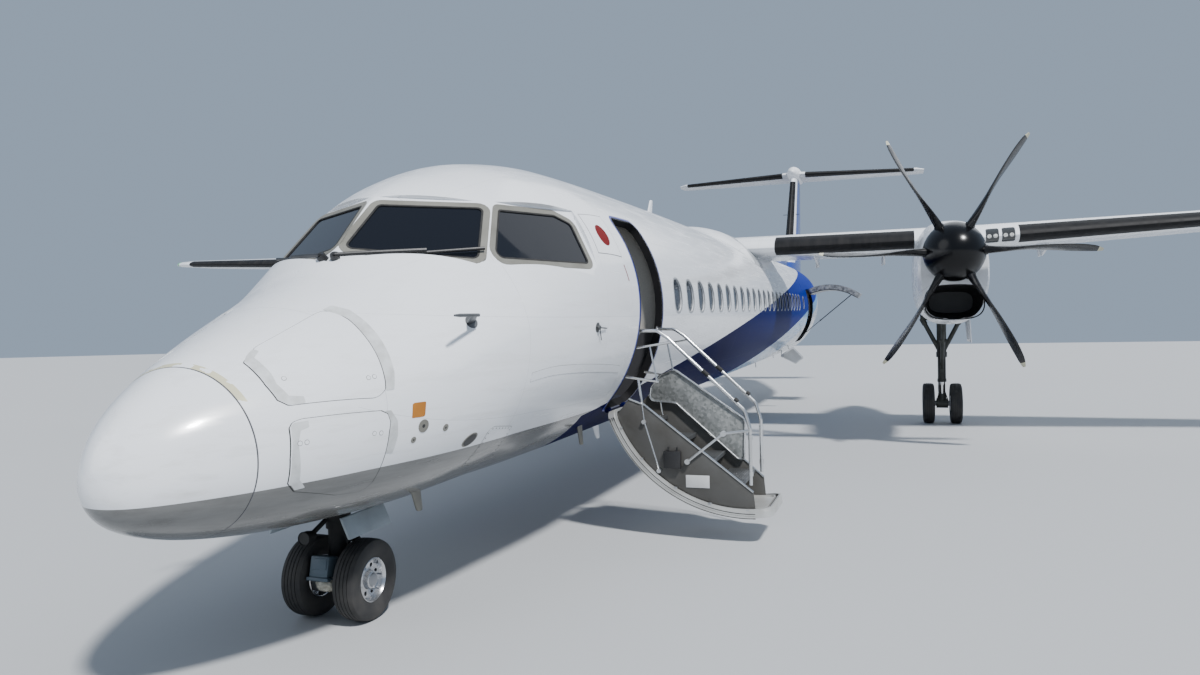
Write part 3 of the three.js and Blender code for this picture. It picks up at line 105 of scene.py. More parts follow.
# the aircraft leans about a point of the tube's middle line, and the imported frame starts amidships
LEAN_STATION, LEAN_HEIGHT, MIDSHIPS = 5.0, 2.13, 16.347
STANCE = Matrix.Translation((0, LEAN_STATION * (1 - math.cos(NOSE_DOWN)) - MIDSHIPS,
                             LEAN_HEIGHT - LEAN_STATION * math.sin(NOSE_DOWN)))
STANCE = STANCE @ Matrix.Rotation(NOSE_DOWN, 4, "X")
TUBE = 1.345
BODY_SECTIONS = [
    # station, half width, top, bottom, height of the widest point, roundness above and below
    (0.000, 0.008, -0.832, -0.848, -0.840, 2.00, 2.0),
    (0.050, 0.165, -0.655, -1.000, -0.838, 2.00, 2.0),
    (0.200, 0.320, -0.480, -1.100, -0.815, 2.00, 2.0),
    (0.500, 0.515, -0.290, -1.190, -0.755, 2.00, 2.1),
    (1.000, 0.745, -0.065, -1.260, -0.620, 2.00, 2.2),
    (1.600, 0.960, 0.205, -1.300, -0.440, 1.85, 2.2),
    (1.810, 1.020, 0.348, -1.310, -0.360, 1.75, 2.2),
    (2.262, 1.130, 0.757, -1.320, -0.240, 1.65, 2.1),
    (2.800, 1.230, 1.020, -1.330, -0.120, 1.90, 2.0),
    (3.400, 1.300, 1.195, -1.340, -0.050, 2.00, 2.0),
    (4.200, 1.340, 1.285, -1.345, 0.000, 2.00, 2.0),
    (5.600, 1.345, 1.320, -1.345, 0.000, 2.00, 2.0),
    (9.000, 1.345, 1.345, -1.345, 0.000, 2.00, 2.0),
    (22.400, 1.345, 1.345, -1.345, 0.000, 2.00, 2.0),
    (24.000, 1.290, 1.345, -1.170, 0.060, 2.00, 2.0),
    (26.000, 1.100, 1.320, -0.720, 0.280, 2.00, 2.0),
    (28.000, 0.820, 1.250, -0.220, 0.500, 2.00, 2.0),
    (29.800, 0.520, 1.120, 0.220, 0.670, 2.00, 2.0),
    (31.200, 0.230, 0.950, 0.560, 0.760, 2.00, 2.0),
    (31.700, 0.060, 0.870, 0.730, 0.800, 2.00, 2.0),
]


def smooth_rows(rows, at, scale=lambda v: v):
    """One row of a table at any place along it, on a curve that doesn't overshoot its rows."""
    keys = [scale(row[0]) for row in rows]
    want = scale(at)
    k = max(i for i in range(len(rows) - 1) if keys[i] <= want + 1e-9)
    found = [at]
    for column in range(1, len(rows[0])):
        values = [row[column] for row in rows]
        steps = [(values[i + 1] - values[i]) / (keys[i + 1] - keys[i]) for i in range(len(rows) - 1)]

        def slope(i):
            if i in (0, len(rows) - 1):
                return steps[min(i, len(steps) - 1)]
            a, b = steps[i - 1], steps[i]
            return 0.0 if a * b <= 0 else 2 * a * b / (a + b)

        width = keys[k + 1] - keys[k]
        t = (want - keys[k]) / width
        low, high = values[k], values[k + 1]
        found.append(
            low * (1 + 2 * t) * (1 - t) ** 2
            + slope(k) * width * t * (1 - t) ** 2
            + high * t * t * (3 - 2 * t)
            + slope(k + 1) * width * t * t * (t - 1)
        )
    return found


def tube_row(station):
    return smooth_rows(BODY_SECTIONS, station, math.sqrt)


def body_point(station, angle, inset=0.0):
    """A point of the tube's skin, by station and angle up from the port side in radians."""
    _, half, top, bottom, widest, above, below = tube_row(station)
    c, s = math.cos(angle), math.sin(angle)
    power = 2 / (above if s >= 0 else below)
    reach = (top - inset - widest) if s >= 0 else (widest - bottom - inset)
    x = (half - inset) * math.copysign(abs(c) ** power, c)
    return Vector((x, station, widest + reach * math.copysign(abs(s) ** power, s)))


def loft(bm, rings, caps=True):
    """A skin through closed rings of points, each with the same number of points."""
    around, along = len(rings[0]), len(rings)
    grid = bmesh.ops.create_grid(bm, x_segments=around, y_segments=along - 1, size=0.5)["verts"]
    for vert in grid:
        i = round((vert.co.x + 0.5) * around)
        k = round((vert.co.y + 0.5) * (along - 1))
        vert.co = rings[k][i % around]
    bmesh.ops.remove_doubles(bm, verts=grid, dist=1e-6)
    made = [v for v in grid if v.is_valid]
    if caps:
        edges = {e for v in made for e in v.link_edges if e.is_boundary}
        bmesh.ops.holes_fill(bm, edges=list(edges), sides=0)
    return made


SIDES = (("port", 1), ("starboard", -1))


def stand(bm, side):
    """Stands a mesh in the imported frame, as its own mirror image if the side is starboard."""
    if side < 0:
        bmesh.ops.scale(bm, vec=(-1, 1, 1), verts=bm.verts)
        bmesh.ops.reverse_faces(bm, faces=bm.faces)
    bmesh.ops.transform(bm, matrix=STANCE, verts=bm.verts)


def lofted(rings, caps=True):
    bm = bmesh.new()
    loft(bm, rings, caps)
    return bm


def link(name, bm, materials, body="airframe", nodes=(), slot="white_paint", sharp=35.0, outward=True,
         side=1):
    """Makes a finished mesh into one piece that rides a body."""
    stand(bm, side)
    if outward:
        bmesh.ops.recalc_face_normals(bm, faces=bm.faces)
    mesh = bpy.data.meshes.new(name)
    bm.to_mesh(mesh)
    bm.free()
    for material in materials if isinstance(materials, (list, tuple)) else [materials]:
        mesh.materials.append(material)
    mesh.shade_smooth()
    mesh.set_sharp_from_angle(angle=math.radians(sharp))
    piece = bpy.data.objects.new(name, mesh)
    bpy.context.scene.collection.objects.link(piece)
    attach(piece, body)
    if nodes:
        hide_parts(*nodes)
    return piece


def carve(piece, cutter_bm, keep=False, side=1):
    """Takes the shape of a closed mesh out of a piece, or keeps only what lies inside it."""
    stand(cutter_bm, side)
    bmesh.ops.recalc_face_normals(cutter_bm, faces=cutter_bm.faces)
    mesh = bpy.data.meshes.new("cutter")
    cutter_bm.to_mesh(mesh)
    cutter_bm.free()
    cutter = bpy.data.objects.new("cutter", mesh)
    bpy.context.scene.collection.objects.link(cutter)
    change = piece.modifiers.new("carve", "BOOLEAN")
    change.object = cutter
    change.operation = "INTERSECT" if keep else "DIFFERENCE"
    change.solver = "MANIFOLD"
    view = bpy.context.evaluated_depsgraph_get()
    made = bpy.data.meshes.new_from_object(piece.evaluated_get(view))
    piece.modifiers.remove(change)
    old = piece.data
    made.name = old.name
    piece.data = made
    bpy.data.meshes.remove(old)
    bpy.data.objects.remove(cutter)
    bpy.data.meshes.remove(mesh)
    piece.data.shade_smooth()
    piece.data.set_sharp_from_angle(angle=math.radians(35))


def step(operation, swapped=False):
    """A sign of arithmetic, which adds one node to the graph that a value is from."""
    def work(self, other=None):
        return self.graph.sum(operation, *((other, self) if swapped else (self, other)))
    return work


class Value:
    """An output in a material's node tree, for plain arithmetic. A comparison gives 0 or 1."""

    def __init__(self, graph, socket):
        self.graph, self.socket = graph, socket

    __add__ = __radd__ = step("ADD")
    __sub__, __rsub__ = step("SUBTRACT"), step("SUBTRACT", swapped=True)
    __mul__ = __rmul__ = step("MULTIPLY")
    __lt__, __gt__ = step("LESS_THAN"), step("GREATER_THAN")
    __pow__, __abs__ = step("POWER"), step("ABSOLUTE")


class Graph:
    """A material's node tree, with each kind of node as one call."""

    def __init__(self, name, roughness=0.4, metallic=0.0, colour=(0.5, 0.5, 0.5)):
        self.material = bpy.data.materials.new(name)
        self.material.use_nodes = True
        self.tree = self.material.node_tree
        self.shader = self.tree.nodes["Principled BSDF"]
        self.set("Base Color", (*colour, 1))
        self.set("Roughness", roughness)
        self.set("Metallic", metallic)

    def add(self, kind, **values):
        made = self.tree.nodes.new("ShaderNode" + kind)
        for key, value in values.items():
            setattr(made, key, value)
        return made

    def feed(self, socket, value):
        value = getattr(value, "socket", value)
        if isinstance(value, bpy.types.NodeSocket):
            self.tree.links.new(value, socket)
        elif value is not None:
            socket.default_value = value

    def sum(self, operation, *values):
        made = self.add("Math", operation=operation)
        for i, value in enumerate(values):
            self.feed(made.inputs[i], value)
        return Value(self, made.outputs[0])

    def most(self, first, second):
        return self.sum("MAXIMUM", first, second)

    def zigzag(self, value, pitch):
        """The distance from a value to the nearest even multiple of a pitch."""
        return self.sum("PINGPONG", value, pitch)

    def place(self, airframe=False, door=None):
        """Object coordinates, turned into the airframe's own axes if asked, and a door's shut again."""
        found = self.add("TexCoord").outputs["Object"]
        if airframe:
            mapping = self.add("Mapping", vector_type="TEXTURE")
            self.feed(mapping.inputs["Vector"], found)
            mapping.inputs["Location"].default_value = STANCE.translation
            mapping.inputs["Rotation"].default_value = (NOSE_DOWN, 0, 0)
            found = mapping.outputs[0]
        if door:
            hinge, angle = door
            mapping = self.add("Mapping")
            self.feed(mapping.inputs["Vector"], found)
            mapping.inputs["Location"].default_value = hinge - Matrix.Rotation(-angle, 3, "Y") @ hinge
            mapping.inputs["Rotation"].default_value = (0, -angle, 0)
            found = mapping.outputs[0]
        return found

    def axes(self, vector):
        made = self.add("SeparateXYZ")
        self.feed(made.inputs[0], vector)
        return [Value(self, socket) for socket in made.outputs]

    def noise(self, vector, scale, detail=3.0, rough=0.5):
        made = self.add("TexNoise")
        self.feed(made.inputs["Vector"], vector)
        made.inputs["Scale"].default_value = scale
        made.inputs["Detail"].default_value = detail
        made.inputs["Roughness"].default_value = rough
        return Value(self, made.outputs["Fac"])

    def ramp(self, value, low, high, start=0.0, end=1.0):
        made = self.add("MapRange", clamp=True)
        for i, v in enumerate((value, low, high, start, end)):
            self.feed(made.inputs[i], v)
        return Value(self, made.outputs[0])

    def mix(self, share, first, second):
        made = self.add("Mix", data_type="RGBA")
        self.feed(made.inputs["Factor"], share)
        for socket, colour in ((made.inputs[6], first), (made.inputs[7], second)):
            self.feed(socket, (*colour, 1) if isinstance(colour, tuple) else colour)
        return made.outputs[2]

    def blend(self, value, low, high, first, second):
        """One colour where a value is low and another where it is high."""
        return self.mix(self.ramp(value, low, high), first, second)

    def stretched(self, vector, scale):
        """Coordinates with a scale of their own along each axis."""
        made = self.add("Mapping")
        self.feed(made.inputs["Vector"], vector)
        made.inputs["Scale"].default_value = scale
        return made.outputs[0]

    def bump(self, height, depth, strength=1.0, normal=None):
        made = self.add("Bump")
        made.inputs["Strength"].default_value = strength
        made.inputs["Distance"].default_value = depth
        self.feed(made.inputs["Height"], height)
        self.feed(made.inputs["Normal"], normal)
        return made.outputs[0]

    def near(self, value, target, half):
        """1 where a value is within a distance of a target, else 0."""
        return self.sum("COMPARE", value, target, half)

    def set(self, name, value):
        self.feed(self.shader.inputs[name], value)
        return self


WHITE = (0.83, 0.85, 0.88)
# grey belly paint, darkened further as painted shade under the tube
BELLY_GREY_AND_SHADE = (0.17, 0.17, 0.165)
NAVY = (0.003, 0.004, 0.045)
ROYAL = (0.006, 0.022, 0.22)
SKY_BLUE = (0.06, 0.30, 0.62)


def livery(name, frames=True, door=None):
    """Gloss paint with the grey belly, the blue sweep and its pale edge, by place on the airframe."""
    g = Graph(name, roughness=0.2)
    spot = g.place(airframe=True, door=door)
    x, y, z = g.axes(spot)
    patches = g.noise(spot, 0.9, 4.0)
    grime = g.noise(g.stretched(spot, (3.0, 0.5, 9.0)), 2.2, 5.0, 0.6)
    white = g.blend(patches, 0.35, 0.7, WHITE, tuple(v * 0.955 for v in WHITE))
    dirt = g.ramp(grime, 0.52, 0.78) * g.ramp(z, 0.4, -1.2, 0.05, 0.45)
    white = g.mix(dirt, white, (0.42, 0.41, 0.38))
    # the grey belly ends at a nearly level line that dips at the nose
    belly = z < g.ramp(y, 0.0, 1.1, -0.926, -0.912)
    # the belly's grey and its darker patches carry painted shade as well as the grey paint
    colour = g.mix(belly, white, g.blend(grime, 0.4, 0.75, BELLY_GREY_AND_SHADE, (0.11, 0.11, 0.105)))
    sweep_top = y * 0.1067 - 1.353
    sweep_low = y * 0.128 - 2.69
    stripe_low = y * 0.1875 - 4.29
    aft = y > z * -0.35 + 3.55
    under_top = aft * (z < sweep_top)
    pale = y > 12.5
    pale_belly = g.blend(grime, 0.4, 0.75, (0.60, 0.62, 0.65), (0.45, 0.46, 0.48))
    colour = g.mix(under_top * pale, colour, pale_belly)
    stripe = under_top * (z > stripe_low)
    colour = g.mix(stripe, colour, SKY_BLUE)
    blue = g.blend(y, 9.0, 21.0, NAVY, ROYAL)
    dark = under_top * (z > sweep_low)
    colour = g.mix(dark, colour, blue)
    # filler along the radome's joint has yellowed and broken away in patches
    lip = g.near(y, 0.4865, 0.0035)
    filler = g.near(y, 0.505, 0.017) * (g.noise(spot, 9.0, 5.0) > 0.46)
    filler = filler * (z > -0.50)
    colour = g.mix(filler, colour, g.mix(patches, (0.50, 0.48, 0.36), (0.74, 0.70, 0.46)))
    colour = g.mix(lip, colour, (0.12, 0.12, 0.13))
    # sheets meet at the frames and along the stringers, each with a row of flush rivets
    height = g.noise(spot, 14.0, 2.0) * 0.12
    if frames:
        angle = g.sum("ARCTAN2", z, x)
        arc = angle * TUBE
        to_frame = g.zigzag(y + 0.05, 0.61)
        to_lap = g.zigzag(arc + 0.1, 0.38)
        seam = g.most(g.near(to_frame, 0.0, 0.0014), g.near(to_lap, 0.0, 0.0012))
        seam = seam * (y > 1.0)
        colour = g.mix(seam * 0.35, colour, (0.20, 0.21, 0.22))
        from_row = (to_frame - 0.02) ** 2.0
        hoop = from_row + g.zigzag(arc, 0.0125) ** 2.0
        rivet = (hoop < 0.0025 ** 2) * (y > 1.0)
        height = height - (seam + rivet * 0.5)
    g.set("Base Color", colour)
    uneven = 0.17 + g.ramp(grime, 0.45, 0.8) * 0.22
    g.set("Roughness", g.ramp(dark, 0.0, 1.0, uneven, 0.30))
    g.set("Specular IOR Level", g.ramp(dark, 0.0, 1.0, 0.5, 0.002))
    g.set("Coat Weight", g.ramp(dark, 0.0, 1.0, 0.3, 0.0))
    g.set("Coat Roughness", 0.08)
    g.set("Normal", g.bump(height, 0.0006, 0.6))
    return g.material


hull_paint = livery("hull_paint")
AROUND = 144


def body_rings(stations, inset=0.0, around=AROUND):
    return [[body_point(y, 2 * math.pi * i / around, inset) for i in range(around)] for y in stations]


def spaced(start, end, pitch):
    count = max(1, round((end - start) / pitch))
    return [start + (end - start) * i / count for i in range(count + 1)]


def box_mesh(low, high):
    """A box between two corners, in its own mesh."""
    bm = bmesh.new()
    size = Vector(high) - Vector(low)
    middle = (Vector(high) + Vector(low)) / 2
    bmesh.ops.create_cube(bm, size=1, matrix=Matrix.Translation(middle) @ Matrix.Diagonal((*size, 1)))
    return bm


radome_paint = livery("radome_paint", frames=False)
bm = bmesh.new()
RADOME = 0.485
RADOME_RINGS = 30
loft(bm,
     body_rings([(0.01 + ((RADOME - 0.002) ** 0.5 - 0.01) * i / RADOME_RINGS) ** 2
                 for i in range(RADOME_RINGS + 1)]))
link("radome_skin", bm, radome_paint, nodes=["radome"])

# Nose shell and flight deck
# The nose of the tube is cut to flat facets for the four panes, which sit in a riveted alloy
# surround, over a hollow flight deck and the bay for the nose leg.
SCREEN_FACET = [Vector(p)
                for p in ((0, 1.810, 0.348), (0.860, 2.286, 0.309), (0.715, 2.654, 0.719),
                          (0, 2.262, 0.757))]
SIDE_FACET = [Vector(p) for p in ((0.860, 2.286, 0.309), (1.260, 3.450, 0.280), (1.010, 3.560, 0.720),
                                  (0.715, 2.654, 0.719))]
SCREEN_PANE = [(0.035, 0.402), (0.838, 0.315), (0.706, 0.708), (0.065, 0.733)]
SIDE_PANE = [(2.420, 0.330), (3.425, 0.322), (3.520, 0.655), (3.375, 0.716), (2.768, 0.706)]
NOSE_BAY = {"front": 1.250, "back": 2.180, "half": 0.240, "top": -0.820}


def facet_normal(facet):
    normal = (facet[1] - facet[0]).cross(facet[2] - facet[0]).normalized()
    return -normal if normal.z < 0 else normal


screen_out, side_out = facet_normal(SCREEN_FACET), facet_normal(SIDE_FACET)


def on_screen(x, z):
    start, n = SCREEN_FACET[0], screen_out
    return Vector((x, start.y - (n.x * (x - start.x) + n.z * (z - start.z)) / n.y, z))


def on_side(y, z):
    start, n = SIDE_FACET[0], side_out
    return Vector((start.x - (n.y * (y - start.y) + n.z * (z - start.z)) / n.x, y, z))


def slab(bm, points, normal, deep, proud):
    """A slab on a facet, from one depth to another along its outward normal."""
    return loft(bm, [[p + normal * deep for p in points], [p + normal * proud for p in points]])


def corner_arc(before, corner, after, radius, steps):
    """The arc that takes a corner's place."""
    a, b = (before - corner).normalized(), (after - corner).normalized()
    half = a.angle(b) / 2
    reach = min(radius / math.tan(half), 0.45 * min((before - corner).length, (after - corner).length))
    middle = corner + (a + b).normalized() * reach / math.cos(half)
    start, end = corner + a * reach - middle, corner + b * reach - middle
    return [middle + start.normalized().slerp(end.normalized(), k / steps) * start.length
            for k in range(steps + 1)]


def rounded(points, radius, steps=5):
    """A polygon in a plane with its corners rounded off."""
    found = []
    for i, corner in enumerate(points):
        found += corner_arc(points[i - 1], corner, points[(i + 1) % len(points)], radius, steps)
    return found


def offset(points, normal, by):
    """A flat polygon with each of its edges moved outward by a distance."""
    middle = sum(points, Vector()) / len(points)
    way = 1 if sum(((p - middle).cross(points[(i + 1) % len(points)] - middle)).dot(normal)
                   for i, p in enumerate(points)) > 0 else -1
    found = []
    for i, p in enumerate(points):
        a = (p - points[i - 1]).normalized()
        b = (points[(i + 1) % len(points)] - p).normalized()
        found.append(p + (a.cross(normal) + b.cross(normal)) * way * by / (1 + a.dot(b)))
    return found


def both_sides(bm):
    """Adds the starboard mirror image of a mesh to it."""
    copy = bmesh.ops.duplicate(bm, geom=bm.verts[:] + bm.edges[:] + bm.faces[:])["geom"]
    verts = [v for v in copy if isinstance(v, bmesh.types.BMVert)]
    faces = [f for f in copy if isinstance(f, bmesh.types.BMFace)]
    bmesh.ops.scale(bm, vec=(-1, 1, 1), verts=verts)
    bmesh.ops.reverse_faces(bm, faces=faces)
    return bm


def skin_depth(p):
    """How far a point lies inside the tube's skin, near enough to tell a wall from the skin."""
    _, half, top, bottom, widest, above, below = tube_row(p.y)
    power, reach = (above, top - widest) if p.z > widest else (below, widest - bottom)
    share = (abs(p.x / half) ** power + abs((p.z - widest) / reach) ** power) ** (1 / power)
    return (1 - share) * min(half, reach)


def reface(piece, chooser):
    """Gives each face of a piece the material whose number a test of its middle and normal returns."""
    back = STANCE.inverted()
    for face in piece.data.polygons:
        face.material_index = chooser(back @ face.center, back.to_3x3() @ face.normal)


g = Graph("deck_lining", roughness=0.75)
spot = g.place()
g.set("Base Color", g.blend(g.noise(spot, 30.0), 0.3, 0.7, (0.09, 0.095, 0.10), (0.13, 0.135, 0.14)))
g.set("Normal", g.bump(g.noise(spot, 240.0), 0.001))
deck_lining = g.material

screen_pane = rounded([on_screen(x, z) for x, z in SCREEN_PANE], 0.045)
side_pane = rounded([on_side(y, z) for y, z in SIDE_PANE], 0.05)

bm = lofted(body_rings(spaced(RADOME + 0.002, 1.6, 0.035) + spaced(1.6, 4.2, 0.035)[1:-1] + [4.1985]))
nose_skin = link("nose_skin", bm, [hull_paint, deck_lining], nodes=["nose_shell"])
for corners, normal in ((SCREEN_FACET, screen_out), (SIDE_FACET, side_out)):
    for sign in (1, -1):
        bm = bmesh.new()
        slab(bm, offset(corners, normal, 0.058), normal, 0.0, 0.26)
        carve(nose_skin, bm, side=sign)
RIDGES = [
    (SCREEN_FACET[1], SCREEN_FACET[2], screen_out, side_out),
    (SCREEN_FACET[0], SCREEN_FACET[3], screen_out, Vector((-screen_out.x, screen_out.y, screen_out.z))),
]
for low, high, a, b in RIDGES:
    for sign in (1, -1):
        bm = lofted([[c, c + a * 0.26, c + (a + b) * 0.21, c + b * 0.26] for c in (low, high)])
        carve(nose_skin, bm, side=sign)
for pane, normal in ((screen_pane, screen_out), (side_pane, side_out)):
    for sign in (1, -1):
        bm = bmesh.new()
        slab(bm, pane, normal, -0.26, 0.06)
        carve(nose_skin, bm, side=sign)
bm = lofted(body_rings([2.0, 2.4, 2.8, 3.4, 4.13], inset=0.07, around=48))
room = link("room", bm, hull_paint)
carve(room, box_mesh((-1.4, 2.02, -0.70), (1.4, 4.2, 1.4)), keep=True)
for corners, normal in ((SCREEN_FACET, screen_out), (SIDE_FACET, side_out)):
    for sign in (1, -1):
        bm = bmesh.new()
        middle = sum(corners, Vector()) / 4
        slab(bm, [p.lerp(middle, -0.35) for p in corners], normal, -0.045, 0.4)
        carve(room, bm, side=sign)
bm = bmesh.new()
bm.from_mesh(room.data)
bpy.data.objects.remove(room)
bmesh.ops.transform(bm, matrix=STANCE.inverted(), verts=bm.verts)
carve(nose_skin, bm)
carve(nose_skin, box_mesh((-NOSE_BAY["half"], NOSE_BAY["front"], -1.5),
                          (NOSE_BAY["half"], NOSE_BAY["back"], NOSE_BAY["top"])))


def nose_lining(p, normal):
    """The flight deck's walls and floor and the inside of the gear bay are lined dark."""
    if not 1.2 < p.y < 4.19:
        return 0
    in_bay = abs(p.x) < 0.245 and p.z < -0.80 and p.z > -1.31 and skin_depth(p) > 0.012
    in_deck = p.y > 1.99 and p.z > -0.72 and skin_depth(p) > 0.05
    return 1 if in_bay or (in_deck and normal.dot(Vector((p.x, 0, p.z))) < 0.25) else 0


reface(nose_skin, nose_lining)

# Glass, retainers and wipers of the flight deck
# Four thick heated panes, near-black from outside, each in a rubber bead under a riveted alloy
# retainer. Two wipers lie parked along the foot of the windscreen.
def dark_glass(name, tint=(0.010, 0.012, 0.018), clear=0.3):
    g = Graph(name, roughness=0.04, colour=tint)
    g.set("Roughness", g.ramp(g.noise(g.place(), 5.0), 0.4, 0.8, 0.02, 0.10))
    g.set("Transmission Weight", clear)
    g.set("IOR", 1.35)
    g.set("Specular IOR Level", 0.35)
    return g.material


def rubber(name, light=0.018, specular=0.25):
    g = Graph(name, roughness=0.7)
    spot = g.place()
    shade = g.ramp(g.noise(spot, 18.0), 0.3, 0.75)
    g.set("Base Color", g.mix(shade, (light,) * 3, tuple(v * light for v in (2.2, 2.1, 2.0))))
    g.set("Normal", g.bump(g.noise(spot, 320.0), 0.0006))
    g.set("Specular IOR Level", specular)
    return g.material


def metal(name, colour, roughness=0.35, metallic=0.9, grain=60.0, stain=(0.62, 0.6, 0.56), depth=0.0004,
          specular=None):
    """Bare or anodised alloy with a fine grain, small stains and uneven polish."""
    g = Graph(name, metallic=metallic)
    spot = g.place()
    fine = g.noise(spot, grain, 4.0)
    wide = g.noise(spot, 4.0, 4.0)
    worn = tuple(c * s for c, s in zip(colour, stain))
    g.set("Base Color", g.mix(g.ramp(wide, 0.42, 0.72, 0.0, 0.6), colour, worn))
    g.set("Roughness", roughness - 0.06 + fine * 0.16)
    g.set("Normal", g.bump(fine, depth))
    g.set("Specular IOR Level", specular)
    return g.material


deck_glass = dark_glass("deck_glass")
black_rubber = rubber("black_rubber")
retainer_metal = metal("retainer_metal", (0.20, 0.195, 0.17), 0.5, 0.15)
alloy = metal("alloy", (0.66, 0.67, 0.68), 0.3)
dark_metal = metal("dark_metal", (0.16, 0.165, 0.17), 0.45, 0.8)
black_paint = metal("black_paint", (0.012, 0.012, 0.013), 0.4, 0.0, stain=(2.4, 2.3, 2.2))


def ring_plate(bm, outline, normal, inner, outer, deep, proud):
    """A flat ring that follows an outline, between two offsets and two depths."""
    inside, outside = offset(outline, normal, inner), offset(outline, normal, outer)
    corners = ((inside, deep), (inside, proud), (outside, proud), (outside, deep), (inside, deep))
    return loft(bm, [[p + normal * h for p in loop] for loop, h in corners], caps=False)


def along(points, pitch, closed=True):
    """Points at an even pitch along a line of points, each with its direction."""
    ends = list(zip(points, points[1:] + (points[:1] if closed else [])))
    lengths = [(b - a).length for a, b in ends]
    count = max(1, round(sum(lengths) / pitch))
    found, edge, used = [], 0, 0.0
    for i in range(count + (0 if closed else 1)):
        want = sum(lengths) * i / count
        while edge < len(lengths) - 1 and used + lengths[edge] < want - 1e-9:
            used += lengths[edge]
            edge += 1
        a, b = ends[edge]
        found.append((a.lerp(b, (want - used) / lengths[edge]), (b - a).normalized()))
    return found


def rivet(bm, spot, normal, radius=0.004, height=0.0015):
    """One low domed rivet head."""
    turn = normal.to_track_quat("Z", "Y").to_matrix().to_4x4()
    matrix = Matrix.Translation(spot + normal * height / 2) @ turn
    bmesh.ops.create_cone(bm, cap_ends=True, segments=6, radius1=radius, radius2=radius * 0.55,
                          depth=height, matrix=matrix)


def rod(bm, a, b, radius, sides=12, end=None):
    """A round bar between two points."""
    a, b = Vector(a), Vector(b)
    turn = (b - a).to_track_quat("Z", "Y").to_matrix().to_4x4()
    bmesh.ops.create_cone(bm, cap_ends=True, segments=sides, radius1=radius, depth=(b - a).length,
                          radius2=radius if end is None else end,
                          matrix=Matrix.Translation((a + b) / 2) @ turn)


def block(bm, low, high, bevel=0.0, matrix=None):
    """A block between two corners, with its edges eased."""
    low, high = Vector(low), Vector(high)
    place = Matrix.Translation((low + high) / 2) @ Matrix.Diagonal((*(high - low), 1))
    verts = bmesh.ops.create_cube(bm, size=1, matrix=place)["verts"]
    if bevel:
        edges = list({e for v in verts for e in v.link_edges})
        done = bmesh.ops.bevel(bm, geom=edges, offset=bevel, segments=2, profile=0.5, affect="EDGES",
                               material=-1)
        verts = list({v for f in done["faces"] for v in f.verts} | {v for v in verts if v.is_valid})
    if matrix is not None:
        bmesh.ops.transform(bm, matrix=matrix, verts=verts)
    return verts


def hose(bm, points, radius, sides=10):
    """A round tube along a line of points, with square ends."""
    points = [Vector(p) for p in points]
    rings, side = [], None
    for i, p in enumerate(points):
        way = (points[min(i + 1, len(points) - 1)] - points[max(i - 1, 0)]).normalized()
        side = way.orthogonal() if side is None else side - way * side.dot(way)
        side.normalize()
        other = way.cross(side)
        turns = [2 * math.pi * k / sides for k in range(sides)]
        rings.append([p + (side * math.cos(t) + other * math.sin(t)) * radius for t in turns])
    return loft(bm, rings)


ALL_BUT_STRAIGHT = math.radians(176)


def bent(points, radius, steps=6):
    """An open line of points with its corners turned into arcs."""
    points = [Vector(p) for p in points]
    found = [points[0]]
    for before, corner, after in zip(points, points[1:], points[2:]):
        if (before - corner).angle(after - corner) <= ALL_BUT_STRAIGHT:
            found += corner_arc(before, corner, after, radius, steps)
    return found + [points[-1]]


PANES = {"windscreen": (screen_pane, screen_out), "side_window": (side_pane, side_out)}
for pane_name, (outline, normal) in PANES.items():
    for word, sign in SIDES:
        bm = bmesh.new()
        slab(bm, offset(outline, normal, -0.002), normal, -0.030, -0.005)
        link(f"{pane_name}_glass_{word}", bm, deck_glass, nodes=[f"{pane_name}_{word}"], slot="window",
             side=sign)

beads, retainers = bmesh.new(), bmesh.new()
for outline, normal in PANES.values():
    ring_plate(beads, outline, normal, -0.011, 0.004, -0.008, 0.0032)
    ring_plate(retainers, outline, normal, 0.003, 0.052, -0.014, 0.0028)
    for reach in (0.011, 0.028, 0.045):
        for spot, way in along(offset(outline, normal, reach), 0.032):
            rivet(retainers, spot + normal * 0.0026, normal)
link("window_beads", both_sides(beads), black_rubber, slot="tyre")
link("window_retainers", both_sides(retainers), retainer_metal, slot="alloy")

WIPERS = [
    # pivot and blade end as (x, z) on the front facet, for the port wiper
    ((0.040, 0.318), (0.850, 0.372)),
]
bm = bmesh.new()
for pivot, end in WIPERS:
    foot = on_screen(*pivot) + screen_out * 0.004
    tip = on_screen(*end) + screen_out * 0.030
    hub = foot + screen_out * 0.045
    rod(bm, foot - screen_out * 0.03, hub, 0.032, 16)
    rod(bm, hub - screen_out * 0.004, hub + screen_out * 0.010, 0.013, 12)
    elbow = hub.lerp(tip, 0.16) + screen_out * 0.004
    hose(bm, [hub, elbow, hub.lerp(tip, 0.60) + screen_out * 0.006], 0.0150, 8)
    start = foot.lerp(tip, 0.34) + screen_out * 0.004
    hose(bm, [start, tip], 0.0110, 8)
    slab(bm, [start - screen_out * 0.012, tip - screen_out * 0.012, tip, start],
         screen_out.cross(tip - start).normalized(), -0.006, 0.006)
    mast = hub.lerp(tip, 0.58) + screen_out * 0.006
    rod(bm, mast, foot.lerp(tip, 0.58) + screen_out * 0.010, 0.005, 8)
link("wipers", both_sides(bm), black_paint, slot="black_composite")
# Cabin tube
# The tube behind the flight deck in four riveted sections: one round the entrance lobby, the
# cabin with its row of small windows, the baggage hold and the tapering hollow tail.
FLOOR = -1.0
WALL = 0.07
STAIR_DOOR = {"front": 4.450, "back": 5.190, "low": -44.9, "high": 38.0}
HATCH_DOOR = {"front": 20.420, "back": 21.690, "low": -43.0, "high": 20.0}
SHUT_DOORS = {
    # name: (side, front, back, lowest and highest angle round the tube in degrees)
    "aft_passenger_door": (1, 18.850, 19.540, -42.0, 32.0),
    "service_door": (-1, 18.850, 19.540, -42.0, 24.0),
    "forward_exit_door": (-1, 4.450, 4.960, -24.0, 32.0),
}


